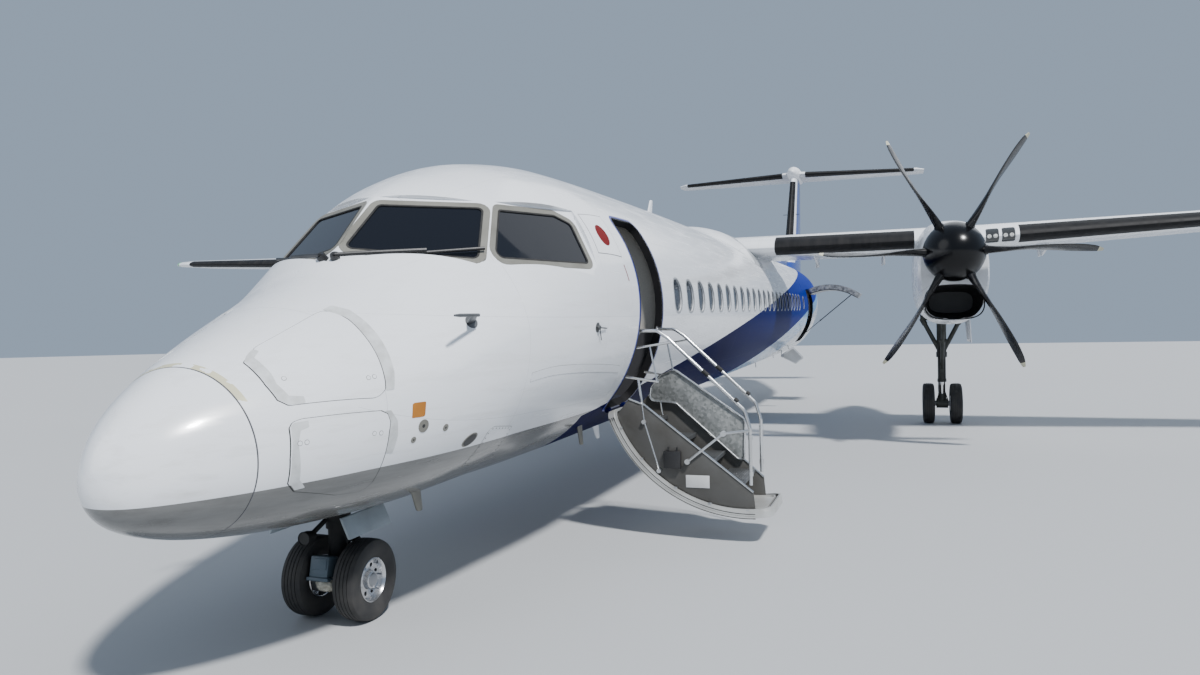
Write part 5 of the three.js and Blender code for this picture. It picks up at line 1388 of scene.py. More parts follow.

# Wing root fairing
# A smooth composite fairing that carries the tube's top up around the wing, with a grey band at
# its leading edge painted as the wing's shadow on the tube's side.
FAIRING_ROWS = [
    # station, half width, rise above the tube
    (11.200, 0.500, 0.000), (12.300, 0.900, 0.130), (13.300, 1.120, 0.165), (15.600, 1.120, 0.165),
    (17.000, 0.900, 0.120), (18.200, 0.500, 0.000),
]
# Corners of the tube's top that the fairing rests on, as (station, arc length)
UNDER_FAIRING = [(10.5, 0.2, 0), (19.0, 0.2, 0), (19.0, 4.0, 0), (10.5, 4.0, 0)]
g = Graph("fairing_paint", roughness=0.25)
spot = g.place(airframe=True)
x, y, z = g.axes(spot)
grime = g.noise(spot, 2.4, 5.0, 0.6)
white = g.mix(g.ramp(grime, 0.5, 0.8, 0.0, 0.4), WHITE, (0.48, 0.48, 0.47))
# a grey band round the wing's leading edge, painted shadow of the wing on the tube's side
panel = (y > 12.95) * (y < 13.75)
colour = g.mix(panel, white, (0.40, 0.42, 0.44))
joint = g.most(g.near(g.zigzag(y, 0.7), 0.0, 0.002), g.near(g.zigzag(x, 0.45), 0.0, 0.002))
colour = g.mix(joint * 0.5, colour, (0.16, 0.16, 0.17))
g.set("Base Color", colour)
g.set("Normal", g.bump(grime * 0.3 - joint, 0.0008, 0.7))
fairing_paint = g.material
rings = []
for y in spaced(11.2, 18.2, 0.175):
    _, half, rise = smooth_rows(FAIRING_ROWS, y)
    ring = []
    for i in range(33):
        turn = math.pi * i / 32
        across = half * math.cos(turn)
        ring.append(Vector((across, y, math.sqrt(TUBE ** 2 - across ** 2) + 0.004 + rise * math.sin(turn))))
    rings.append(ring + [Vector((-0.5 * half, y, 0.7)), Vector((0.5 * half, y, 0.7))])
bm = lofted(rings)
root_fairing = link("wing_root_fairing", bm, fairing_paint, nodes=["wing_fairing"])
bm = lofted([[Vector((x, p.y, p.z)) for p in wing_ring(0.0)] for x in (-2.6, 2.6)])
carve(root_fairing, bm)
carve(root_fairing, wrapped(bmesh.new(), [Vector(p) for p in UNDER_FAIRING], 0.9, 0.0))

# Wing tip and landing lights
# Clear fairings over a red light to port and a green one to starboard, and two landing lights in
# each leading edge outboard of the engine, flush windows with the lamps painted on as bright highlight
# discs.
lamp_glass = dark_glass("lamp_glass", (0.035, 0.036, 0.036), 0.2)
NAV_COLOURS = {"port": (0.75, 0.02, 0.02), "starboard": (0.01, 0.50, 0.12)}
for word, sign in SIDES:
    g = Graph(f"nav_lens_{word}", roughness=0.12)
    g.set("Base Color", g.blend(g.noise(g.place(), 60.0), 0.3, 0.7, NAV_COLOURS[word],
                              tuple(v * 0.6 for v in NAV_COLOURS[word])))
    rings = []
    for x in (13.93, 13.97, 14.01, 14.05, 14.09):
        _, chord, _, faces = wing_faces(x)
        nose = section_outline(chord, faces, 0.0, 0.10, 8)
        rings.append([on_wing(x, (u - 0.004, v * 1.02 + 0.001)) for u, v in nose])
    bm = lofted(rings)
    link(f"nav_light_{word}", bm, g.material, slot="window", side=sign)
LIGHT_CELLS = (5.125, 5.385)
g = Graph("lens_with_painted_lamp_glints", roughness=0.06)
spot = g.place(airframe=True)
x, y, z = g.axes(spot)
reach = 1.0
for cell in LIGHT_CELLS:
    for side in (-0.050, 0.050):
        lamp = on_wing(cell + side, (0.0, 0.0))
        far = [(value - at) ** 2.0 for value, at in ((abs(x), lamp.x), (z, lamp.z + 0.010))]
        reach = g.sum("MINIMUM", reach, g.sum("SQRT", g.sum("ADD", *far)))
# each lamp is a round patch painted bright in the window's colour, a painted highlight of its reflector on
# dark glass
glint = g.noise(spot, 90.0, 3.0)
g.set("Base Color", g.blend(reach, 0.038, 0.030,
                            g.blend(glint, 0.3, 0.7, (0.020, 0.021, 0.022), (0.05, 0.05, 0.048)),
                          g.blend(glint, 0.4, 0.6, (0.80, 0.80, 0.76), (0.30, 0.30, 0.29))))
g.set("Coat Weight", 0.5)
lens_with_painted_lamp_glints = g.material
lenses = bmesh.new()
for x in LIGHT_CELLS:
    rings = []
    for across in (x - 0.105, x - 0.085, x + 0.085, x + 0.105):
        _, chord, _, faces = wing_faces(across)
        tall = 0.110 if abs(across - x) > 0.09 else 0.125
        share = max(t for t in (0.002 * i for i in range(90)) if faces(t)[0] - faces(t)[1] < 2 * tall)
        rings.append([on_wing(across, (u - 0.003, v))
                      for u, v in section_outline(chord, faces, 0.0, share, 8)])
    loft(lenses, rings)
link("landing_light_windows", both_sides(lenses), lens_with_painted_lamp_glints, slot="window")
# Airstair
# The forward door is its own stair: a curved panel hinged at its foot, with painted cheek plates,
# ribbed treads, bright tube handrails, a mottled galvanised guard plate and folding links.
STAIR_HINGE = Vector((TUBE * math.cos(math.radians(-44.9)) + 0.006, 0,
                      TUBE * math.sin(math.radians(-44.9)) - 0.020))
STAIR_OPEN = math.radians(117)
CHEEK_EDGE = [(1.200, -0.880), (1.480, -0.905), (2.310, -1.640)]
NEAR_EDGE = [(1.195, -0.850), (1.336, -0.900), (2.022, -1.430), (2.310, -1.655)]
HANDRAIL = [(1.302, -0.234), (1.470, -0.236), (1.565, -0.300), (2.245, -0.945), (2.290, -1.100),
            (2.290, -1.600)]
RAIL_BRACES = [
    # line from the jamb to the rail or the cheek, as (x, z), and radius
    (((1.280, -0.390), (1.605, -0.340)), 0.0110),
    (((1.400, -0.372), (1.462, -0.696)), 0.0085),
    (((1.160, -0.652), (1.478, -0.698)), 0.0120),
    (((1.286, -0.671), (1.336, -1.060), (1.468, -1.500)), 0.0125),
]
TREADS = [(1.150, -1.075), (1.430, -1.240), (1.710, -1.405), (1.990, -1.570)]
GUARD = [(1.215, -0.930), (1.235, -0.800), (1.330, -0.680), (1.473, -0.627), (2.150, -1.102),
         (2.135, -1.480), (2.080, -1.480), (1.480, -0.950)]


def turned_about(pivot, angle, axis):
    pivot = Vector(pivot)
    return Matrix.Translation(pivot) @ Matrix.Rotation(angle, 4, axis) @ Matrix.Translation(-pivot)


def swung_open(bm, hinge, angle):
    """Turns a door, drawn shut, open about its hinge line."""
    bmesh.ops.transform(bm, matrix=turned_about(hinge, angle, "Y"), verts=bm.verts)
    return bm


def hinge_lugs(bm, door, hinge, way, barrel):
    """Hinge barrels outside the skin, each with a strap onto the panel's outer face."""
    at = math.atan2(hinge.z, hinge.x)
    reach = at + way * math.radians(3.4)
    strap = [(math.cos(t) * r, math.sin(t) * r) for t, r in
             ((at, TUBE + 0.006), (at, TUBE + 0.030), (reach, TUBE + 0.008), (reach, TUBE - 0.012))]
    for y in (door["front"] + 0.11, door["back"] - 0.17):
        rod(bm, (hinge.x, y, hinge.z), (hinge.x, y + 0.06, hinge.z), barrel, 24)
        prism(bm, strap, y, y + 0.06, axis=1, bevel=0.002)
    return bm


def door_rib(bm, outline, inset, width, proud, base):
    """A raised rib on the inner face of a door, at a distance in from its outline."""
    edges = ((0, 0.0), (0, proud), (width, proud), (width, 0.0), (0, 0.0))
    skin_ring(bm, outline, [(-inset - across, base + up) for across, up in edges], 0.05)


def inner_face(p):
    """The outer skin keeps its paint; the inner face and the edges are bare."""
    return 0 if skin_depth(p) < 0.010 else 1


g = Graph("galvanised", metallic=0.55)
spot = g.place()
cells = g.add("TexVoronoi")
g.feed(cells.inputs["Vector"], spot)
cells.inputs["Scale"].default_value = 42.0
spangle = g.axes(cells.outputs["Color"])[0]
wide = g.noise(spot, 5.0, 4.0)
tone = g.mix(spangle, (0.20, 0.21, 0.205), (0.38, 0.39, 0.38))
g.set("Base Color", g.mix(g.ramp(wide, 0.4, 0.7, 0.0, 0.45), tone, (0.16, 0.165, 0.16)))
g.set("Roughness", g.ramp(spangle, 0.0, 1.0, 0.42, 0.62))
g.set("Normal", g.bump(spangle, 0.0003))
galvanised = g.material
cheek_grey = metal("cheek_grey", (0.085, 0.083, 0.078), 0.5, 0.2, stain=(0.6, 0.56, 0.5))
rib_metal = metal("rib_metal", (0.60, 0.60, 0.58), 0.35, 0.6)
bright_tube = metal("bright_tube", (0.74, 0.75, 0.76), 0.2, 0.95)
blank_plate = metal("blank_plate", (0.66, 0.67, 0.68), 0.4, 0.0)

stair_panel = door_outline(**STAIR_DOOR, ease=SHUT_LINE)
bm = wrapped(bmesh.new(), stair_panel, DOOR_PANEL, 0.001)
hinge_lugs(bm, STAIR_DOOR, STAIR_HINGE, 1, 0.0242)
bmesh.ops.recalc_face_normals(bm, faces=bm.faces)
mesh = bpy.data.meshes.new("shut")
bm.to_mesh(mesh)
for face, made in zip(bm.faces, mesh.polygons):
    face.material_index = inner_face(face.calc_center_median())
bpy.data.meshes.remove(mesh)
link("airstair_shell", swung_open(bm, STAIR_HINGE, STAIR_OPEN),
     [livery("airstair_paint", door=(STAIR_HINGE, STAIR_OPEN)), rib_metal], body="airstair",
     nodes=["airstair_skin"])


ribs, strips = bmesh.new(), bmesh.new()
door_rib(ribs, stair_panel, 0.004, 0.018, 0.022, DOOR_PANEL - 0.002)
door_rib(ribs, stair_panel, 0.054, 0.014, 0.016, DOOR_PANEL - 0.002)
door_rib(strips, stair_panel, 0.026, 0.020, 0.010, DOOR_PANEL - 0.002)
link("airstair_ribs", swung_open(ribs, STAIR_HINGE, STAIR_OPEN), rib_metal, body="airstair", slot="alloy")
link("airstair_seal", swung_open(strips, STAIR_HINGE, STAIR_OPEN), black_rubber, body="airstair",
     slot="tyre")


def stair_arc(inset, steps=24):
    """Points along the inside of the open panel, as (x, z), from its foot outward."""
    turn = turned_about(STAIR_HINGE, STAIR_OPEN, "Y")
    found = []
    for i in range(steps + 1):
        t = math.radians(STAIR_DOOR["low"] + 3 + 72 * i / steps)
        p = turn @ Vector(((TUBE - inset) * math.cos(t), 0, (TUBE - inset) * math.sin(t)))
        found.append((p.x, p.z))
    return found


NEAR_CHEEK, FAR_CHEEK = STAIR_DOOR["front"] + 0.040, STAIR_DOOR["back"] - 0.060
cheeks, treads, rails, guard, sleeves, tubes, lines = (bmesh.new() for _ in range(7))
for y, top in ((NEAR_CHEEK, NEAR_EDGE), (FAR_CHEEK, CHEEK_EDGE)):
    prism(cheeks, stair_arc(DOOR_PANEL + 0.0043) + top[::-1], y, y + 0.020, axis=1, bevel=0.003)
    edge = bent([Vector((x, y, z)) for x, z in top], 0.06)
    hose(tubes, [Vector((p.x, y, p.z - 0.004)) for p in edge], 0.009, 8)
link("airstair_cheeks", cheeks, cheek_grey, body="airstair", nodes=["airstair_steps"], slot="grey_metal")
for x, z in TREADS:
    block(treads, (x, NEAR_CHEEK + 0.020, z - 0.030), (x + 0.240, FAR_CHEEK, z - 0.001), 0.003)
    block(treads, (x + 0.222, NEAR_CHEEK + 0.022, z - 0.034), (x + 0.244, FAR_CHEEK - 0.002, z + 0.004),
          0.003)
    for k in range(9):
        block(treads, (x + 0.014 + 0.023 * k, NEAR_CHEEK + 0.040, z - 0.002),
              (x + 0.024 + 0.023 * k, FAR_CHEEK - 0.020, z + 0.003))
link("airstair_treads", treads, dark_metal, body="airstair", slot="dark_metal")
for y in (STAIR_DOOR["front"] + 0.050, STAIR_DOOR["back"] - 0.050):
    hose(rails, bent([(x, y, z) for x, z in HANDRAIL], 0.09, 5), 0.016, 12)
    for run, radius in RAIL_BRACES:
        hose(rails, [(x, y, z) for x, z in run], radius, 8)
    rod(rails, (1.297, y, -0.234), (1.306, y, -0.234), 0.034, 16)
    for x, z in ((2.292, -1.180), (2.2915, -1.500)):
        rod(rails, (x, y, z - 0.02), (x, y, z + 0.02), 0.021, 14)
    rod(sleeves, (1.880, y, -0.597), (1.935, y, -0.645), 0.0195, 14)
    rod(sleeves, (2.160, y, -0.845), (2.190, y, -0.872), 0.0195, 14)
link("airstair_handrails", rails, bright_tube, body="airstair", slot="alloy")
link("airstair_sleeves", sleeves, black_rubber, body="airstair", slot="tyre")
corners = rounded([Vector((x, 0, z)) for x, z in GUARD], 0.05, 3)
prism(guard, [(p.x, p.z) for p in corners], FAR_CHEEK - 0.024, FAR_CHEEK - 0.016, axis=1, bevel=0.002)
for y in (FAR_CHEEK - 0.032, FAR_CHEEK - 0.008):
    hose(tubes, [Vector((p.x, y, p.z)) for p in corners + corners[:1]], 0.0085, 8)
link("airstair_guard", guard, galvanised, body="airstair", slot="grey_metal")
link("airstair_guard_tubes", tubes, bright_tube, body="airstair", slot="alloy")

fittings = bmesh.new()
near = NEAR_CHEEK - 0.001
block(fittings, (1.520, near - 0.050, -1.470), (1.675, near, -1.315), 0.006)
for x, z in ((1.560, -1.300), (1.640, -1.300)):
    rod(fittings, (x, near - 0.020, z - 0.03), (x, near - 0.020, z + 0.02), 0.008, 8)
link("airstair_lock_box", fittings, black_paint, body="airstair", slot="black_composite")
bm = bmesh.new()
block(bm, (1.712, near - 0.004, -1.641), (1.925, near, -1.530), 0.0015)
for x, z in ((1.722, -1.631), (1.915, -1.631), (1.722, -1.540), (1.915, -1.540)):
    rivet(bm, Vector((x, near - 0.004, z)), Vector((0, -1, 0)))
link("airstair_blank_plate", bm, blank_plate, body="airstair", slot="white_paint")
bm = bmesh.new()
hose(bm, [(1.734, near - 0.020, -1.407), (2.060, near - 0.020, -1.150), (2.285, near - 0.006, -1.120)],
     0.012, 8)
for x, z in ((1.734, -1.407), (2.060, -1.150)):
    rod(bm, (x, near - 0.040, z), (x, near + 0.004, z), 0.024, 16)
for y in (NEAR_CHEEK - 0.012, FAR_CHEEK + 0.040):
    for x, z in ((1.336, -1.060), (1.468, -1.500)):
        rod(bm, (x, y - 0.016, z), (x, y + 0.016, z), 0.020, 12)
for inset, radius in ((0.012, 0.0050), (0.034, 0.0035), (0.052, 0.0050)):
    for y in (STAIR_DOOR["front"] + SHUT_LINE + 0.003, STAIR_DOOR["back"] - SHUT_LINE - 0.003):
        hose(lines, [(x, y, z) for x, z in stair_arc(inset)], radius, 6)
for t in (6, 22, 38, 54, 70):
    x, z = stair_arc(DOOR_PANEL + 0.002)[round(t / 72 * 24)]
    block(bm, (x - 0.016, STAIR_DOOR["front"] + 0.012, z - 0.004),
          (x + 0.016, STAIR_DOOR["front"] + 0.036, z + 0.030), 0.003)
link("airstair_links", bm, alloy, body="airstair", slot="alloy")
link("airstair_edge_lines", lines, black_rubber, body="airstair", slot="tyre")
# Baggage door
# The aft door swings up and out on two hinges at its top. Its inner face carries a silver quilted
# lining between ribs, and a slim stay at its forward side holds it up.
HATCH_HINGE = Vector((TUBE * math.cos(math.radians(20)) + 0.014, 0,
                      TUBE * math.sin(math.radians(20)) + 0.010))
HATCH_OPEN = math.radians(95.5)
HATCH_PANEL = 0.130
g = Graph("quilted_lining", metallic=0.55)
spot = g.place()
quilt_relief_and_shade = g.noise(spot, 15.0, 2.0)
folds = g.noise(spot, 45.0, 4.0)
# the colour follows the quilt's relief, light on the puffs and dark in the hollows: painted highlight and
# shade over the silver lining
g.set("Base Color", g.blend(quilt_relief_and_shade, 0.35, 0.65, (0.13, 0.135, 0.145), (0.34, 0.35, 0.37)))
g.set("Roughness", g.ramp(folds, 0.3, 0.7, 0.25, 0.5))
g.set("Normal", g.bump(quilt_relief_and_shade + folds * 0.3, 0.012))
quilted = g.material

hatch_panel = door_outline(**HATCH_DOOR, ease=SHUT_LINE)
bm = wrapped(bmesh.new(), hatch_panel, HATCH_PANEL, 0.001)
hinge_lugs(bm, HATCH_DOOR, HATCH_HINGE, -1, 0.0165)
for face in bm.faces:
    face.material_index = inner_face(face.calc_center_median())
link("baggage_door_skin", swung_open(bm, HATCH_HINGE, -HATCH_OPEN),
     [livery("baggage_door_paint", door=(HATCH_HINGE, -HATCH_OPEN)), quilted], body="baggage_hatch",
     nodes=["baggage_door"])
bm = wrapped(bmesh.new(), offset(hatch_panel, UP, -0.045), HATCH_PANEL + 0.020, HATCH_PANEL - 0.004,
             pitch=0.05)
link("baggage_door_lining", swung_open(bm, HATCH_HINGE, -HATCH_OPEN), quilted,
               body="baggage_hatch", slot="alloy")
bm = bmesh.new()
door_rib(bm, hatch_panel, 0.004, 0.016, 0.014, HATCH_PANEL - 0.002)
link("baggage_door_rib", swung_open(bm, HATCH_HINGE, -HATCH_OPEN), black_rubber, body="baggage_hatch",
     slot="tyre")
bm = bmesh.new()
STAY = [(2.480, 20.560, 0.330), (1.640, 20.560, -0.360), (1.080, 20.560, -0.820)]
rod(bm, STAY[0], STAY[1], 0.0125, 10)
rod(bm, STAY[1], STAY[2], 0.0080, 10)
for spot in STAY:
    rod(bm, Vector(spot) - Vector((0, 0.018, 0)), Vector(spot) + Vector((0, 0.018, 0)), 0.021, 14)
link("baggage_door_stay", bm, black_paint, body="baggage_hatch", slot="black_composite")

# Nacelles
# White composite and alloy pods under the wing: a rounded black intake below the spinner, an
# exhaust on the outboard side, and a long well for the main wheels behind the engine.
NACELLE_X = 4.400
NACELLE_ROWS = [
    # station, half width, top, bottom, squareness
    (11.640, 0.490, 1.235, -0.270, 2.3), (11.800, 0.530, 1.262, -0.315, 2.4),
    (12.500, 0.555, 1.350, -0.360, 2.6), (13.300, 0.560, 1.410, -0.390, 2.8),
    (14.800, 0.560, 1.430, -0.380, 2.8), (16.000, 0.535, 1.300, -0.300, 2.6),
    (17.200, 0.420, 1.060, -0.060, 2.4), (18.200, 0.200, 0.800, 0.300, 2.2),
    (18.600, 0.040, 0.640, 0.540, 2.0),
]
INTAKE = {"half": 0.430, "top": 0.255, "bottom": -0.275, "depth": 0.900}
WHEEL_BAY = {"front": 14.250, "back": 17.150, "half": 0.400, "top": 0.500}
EXHAUST = {"station": 14.100, "height": 0.700, "radius": 0.170}


def nacelle_ring(station, inset=0.0, around=96):
    _, half, top, bottom, power = smooth_rows(NACELLE_ROWS, station)
    middle, tall = (top + bottom) / 2, (top - bottom) / 2 - inset
    ring = []
    for i in range(around):
        c, s = math.cos(2 * math.pi * i / around), math.sin(2 * math.pi * i / around)
        across = (half - inset) * math.copysign(abs(c) ** (2 / power), c)
        ring.append(Vector((NACELLE_X + across, station,
                            middle + tall * math.copysign(abs(s) ** (2 / power), s))))
    return ring


def intake_ring(station, inset=0.0, around=64, soft=1.0):
    middle, tall = (INTAKE["top"] + INTAKE["bottom"]) / 2, (INTAKE["top"] - INTAKE["bottom"]) / 2 - inset
    ring = []
    for i in range(around):
        c, s = math.cos(2 * math.pi * i / around), math.sin(2 * math.pi * i / around)
        across = (INTAKE["half"] - inset) * math.copysign(abs(c) ** (0.6 * soft), c)
        ring.append(Vector((NACELLE_X + across, station,
                            middle + tall * math.copysign(abs(s) ** (0.7 * soft), s))))
    return ring


def nacelle_paint():
    g = Graph("nacelle_paint", roughness=0.25)
    spot = g.place(airframe=True)
    x, y, z = g.axes(spot)
    out = abs(x)
    grime = g.noise(g.stretched(spot, (2.0, 0.35, 2.0)), 2.6, 6.0, 0.65)
    colour = g.mix(g.ramp(grime, 0.48, 0.8, 0.0, 0.5), WHITE, (0.45, 0.44, 0.42))
    # exhaust soot trails back and up from the pipe on the outboard side
    side = g.ramp(out, 4.7, 4.9)
    reach = g.ramp(y, 13.95, 14.4) * g.ramp(y, 18.0, 14.8)
    spread_out = g.ramp(abs(z - 0.74), 0.36, 0.05)
    soot = side * reach * spread_out * g.ramp(grime, 0.2, 0.6)
    colour = g.mix(soot * 0.8, colour, (0.05, 0.045, 0.04))
    turn = g.sum("ARCTAN2", z - 0.52, out - NACELLE_X)
    hoops = g.most(g.near(g.zigzag(y - 11.9, 0.58), 0.0, 0.0022), g.near(g.zigzag(turn, 0.63), 0.0, 0.004))
    colour = g.mix(hoops * 0.6, colour, (0.12, 0.12, 0.13))
    dots = (g.zigzag(y - 11.9, 0.58) - 0.022) ** 2.0 + g.zigzag(turn * 0.6, 0.02) ** 2.0
    screws = dots < 0.0035 ** 2
    colour = g.mix(screws * 0.5, colour, (0.3, 0.3, 0.3))
    g.set("Base Color", colour)
    g.set("Roughness", g.ramp(grime, 0.4, 0.8, 0.2, 0.5))
    g.set("Coat Weight", 0.2)
    g.set("Normal", g.bump(grime * 0.2 - (hoops + screws), 0.0008, 0.7))
    return g.material


def nacelle_lining(p, normal):
    """The intake's throat is black; the wheel well is primed and oily."""
    x = abs(p.x) - NACELLE_X
    in_duct = p.y < 11.644 + INTAKE["depth"] and abs(x) < INTAKE["half"] + 0.002 and -0.277 < p.z < 0.257
    if in_duct and (p.y > 11.66 or normal.z * (p.z + 0.01) + normal.x
                    * (p.x - math.copysign(NACELLE_X, p.x)) < 0):
        return 1
    along_bay = WHEEL_BAY["front"] - 0.01 < p.y < WHEEL_BAY["back"] + 0.01
    in_bay = along_bay and abs(x) < WHEEL_BAY["half"] + 0.003
    if in_bay and p.z < WHEEL_BAY["top"] + 0.005:
        bottom = smooth_rows(NACELLE_ROWS, p.y)[3]
        if abs(x) < WHEEL_BAY["half"] - 0.003 and p.z < WHEEL_BAY["top"] - 0.005 and p.z < bottom + 0.02:
            return 0
        return 2
    return 0


nacelle_white = nacelle_paint()
primer = metal("primer", (0.34, 0.36, 0.33), 0.55, 0.1, stain=(0.35, 0.34, 0.32))
scorched = metal("scorched", (0.11, 0.09, 0.075), 0.5, 0.8, stain=(0.5, 0.4, 0.35))
for word, sign in SIDES:
    bm = bmesh.new()
    stations = [11.6402] + spaced(11.66, 18.2, 0.14) + [18.32, 18.44, 18.54, 18.6]
    loft(bm, [nacelle_ring(y) for y in stations])
    pod = link(f"nacelle_skin_{word}", bm, [nacelle_white, black_paint, primer],
               nodes=[f"nacelle_{word}"], side=sign)
    cutters = []
    bm = bmesh.new()
    flare = [(11.60, -0.020), (11.640, -0.016), (11.655, -0.004), (11.68, 0.004), (11.9, 0.02),
             (12.54, 0.09)]
    loft(bm, [intake_ring(y, inset) for y, inset in flare])
    cutters.append(bm)
    cutters.append(box_mesh((NACELLE_X - WHEEL_BAY["half"], WHEEL_BAY["front"], -0.6),
                            (NACELLE_X + WHEEL_BAY["half"], WHEEL_BAY["back"], WHEEL_BAY["top"])))
    bm = bmesh.new()
    rod(bm, (NACELLE_X + 0.1, EXHAUST["station"], EXHAUST["height"]),
        (NACELLE_X + 0.7, EXHAUST["station"] + 0.26, EXHAUST["height"] - 0.02), EXHAUST["radius"], 40)
    cutters.append(bm)
    for bm in cutters:
        carve(pod, bm, side=sign)
    reface(pod, nacelle_lining)
    # the exhaust's own thin pipe, and the lip of the intake
    bm = bmesh.new()
    way = Vector((0.6, 0.26, -0.02)).normalized()
    start = Vector((NACELLE_X + 0.12, EXHAUST["station"] + 0.009, EXHAUST["height"]))
    side, up_way = way.orthogonal().normalized(), way.cross(way.orthogonal()).normalized()
    rings = []
    for far, radius in ((0.0, 0.150), (0.46, 0.150), (0.475, 0.156), (0.475, 0.163), (0.46, 0.166),
                        (0.0, 0.166), (0.0, 0.150)):
        turns = [2 * math.pi * i / 40 for i in range(40)]
        rings.append([start + way * far + (side * math.cos(t) + up_way * math.sin(t)) * radius
                      for t in turns])
    loft(bm, rings, caps=False)
    link(f"exhaust_pipe_{word}", bm, scorched, slot="dark_metal", side=sign)
    bm = bmesh.new()
    lip = [(11.668, 0.001), (11.640, -0.009), (11.6405, -0.013), (11.645, -0.017), (11.655, -0.013),
           (11.668, 0.001)]
    loft(bm, [intake_ring(y, inset) for y, inset in lip[:5] + lip[:1]], caps=False)
    link(f"intake_lip_{word}", bm, black_rubber, slot="tyre", side=sign)

# Engines
# Each engine is one closed block in its bay; what shows is a dark casing with clamps.
engine_casing = metal("engine_casing", (0.20, 0.195, 0.185), 0.5, 0.8, stain=(0.5, 0.45, 0.4))
for word, sign in SIDES:
    bm = bmesh.new()
    block(bm, (NACELLE_X - 0.33, 12.12, 0.30), (NACELLE_X + 0.33, 13.90, 0.92), 0.06)
    for y in (12.5, 12.95, 13.4):
        block(bm, (NACELLE_X - 0.335, y, 0.295), (NACELLE_X + 0.335, y + 0.04, 0.925), 0.012)
    link(f"engine_case_{word}", bm, engine_casing, nodes=[f"engine_{word}"], slot="dark_metal", side=sign)

# Propellers
# Six swept composite blades in gloss black with pale tips and a bare metal guard along the leading
# edge, on a black spinner with its screw ring. Both turn the same way.
HUB = {"station": 11.386, "height": 0.775}
BLADES = [
    # radius, chord, thickness, angle, sweep aft
    (0.400, 0.230, 0.150, 101.0, 0.000), (0.640, 0.285, 0.105, 98.0, -0.020),
    (1.100, 0.345, 0.056, 84.0, -0.010), (1.600, 0.330, 0.035, 75.0, 0.055),
    (1.920, 0.235, 0.022, 71.0, 0.120), (2.055, 0.090, 0.012, 69.0, 0.170),
]
BLADE_OUTLINE = [(-0.5, 0.0), (-0.47, 0.16), (-0.38, 0.34), (-0.2, 0.5), (0.0, 0.5), (0.2, 0.42),
                 (0.37, 0.22), (0.5, 0.05), (0.5, -0.05), (0.37, -0.17), (0.2, -0.35), (0.0, -0.42),
                 (-0.2, -0.4), (-0.38, -0.28), (-0.47, -0.14)]
SPINNER = [(-0.420, 0.0), (-0.418, 0.03), (-0.410, 0.075), (-0.392, 0.135), (-0.362, 0.200),
           (-0.320, 0.260), (-0.262, 0.318), (-0.195, 0.366), (-0.120, 0.407), (-0.040, 0.440),
           (0.040, 0.459), (0.090, 0.465), (0.145, 0.465), (0.148, 0.461), (0.151, 0.465), (0.222, 0.465),
           (0.225, 0.458), (0.225, 0.130), (0.2537, 0.130), (0.2537, 0.0)]


def spun(bm, profile, centre, axis=(0, 1, 0), steps=64):
    """A turned shape about an axis through a point, from (distance along it, radius) points."""
    axis, centre = Vector(axis), Vector(centre)
    side = axis.orthogonal().normalized()
    verts = [bm.verts.new(centre + axis * far + side * radius) for far, radius in profile]
    edges = [bm.edges.new(pair) for pair in zip(verts, verts[1:])]
    bmesh.ops.spin(bm, geom=verts + edges, cent=centre, axis=axis, angle=2 * math.pi, steps=steps,
                   use_merge=True)
    near_axis = [v for v in bm.verts if v.is_valid]
    bmesh.ops.remove_doubles(bm, verts=near_axis, dist=2e-6)
    return bm


def blade_colour(side_x):
    g = Graph(f"blade_paint_{side_x:+.0f}", roughness=0.2)
    spot = g.place(airframe=True)
    x, _, z = g.axes(spot)
    dx, dz = x - side_x, z - HUB["height"]
    radius = g.sum("SQRT", dx * dx + dz * dz)
    wear = g.noise(spot, 9.0, 5.0)
    black = g.blend(wear, 0.45, 0.8, (0.006, 0.006, 0.007), (0.02, 0.02, 0.02))
    tip = g.blend(wear, 0.4, 0.8, (0.62, 0.60, 0.42), (0.42, 0.41, 0.32))
    g.set("Base Color", g.mix(radius > 1.985, black, tip))
    g.set("Roughness", g.ramp(wear, 0.4, 0.8, 0.22, 0.4))
    g.set("Specular IOR Level", 0.3)
    g.set("Normal", g.bump(g.noise(spot, 40.0), 0.0002))
    return g.material


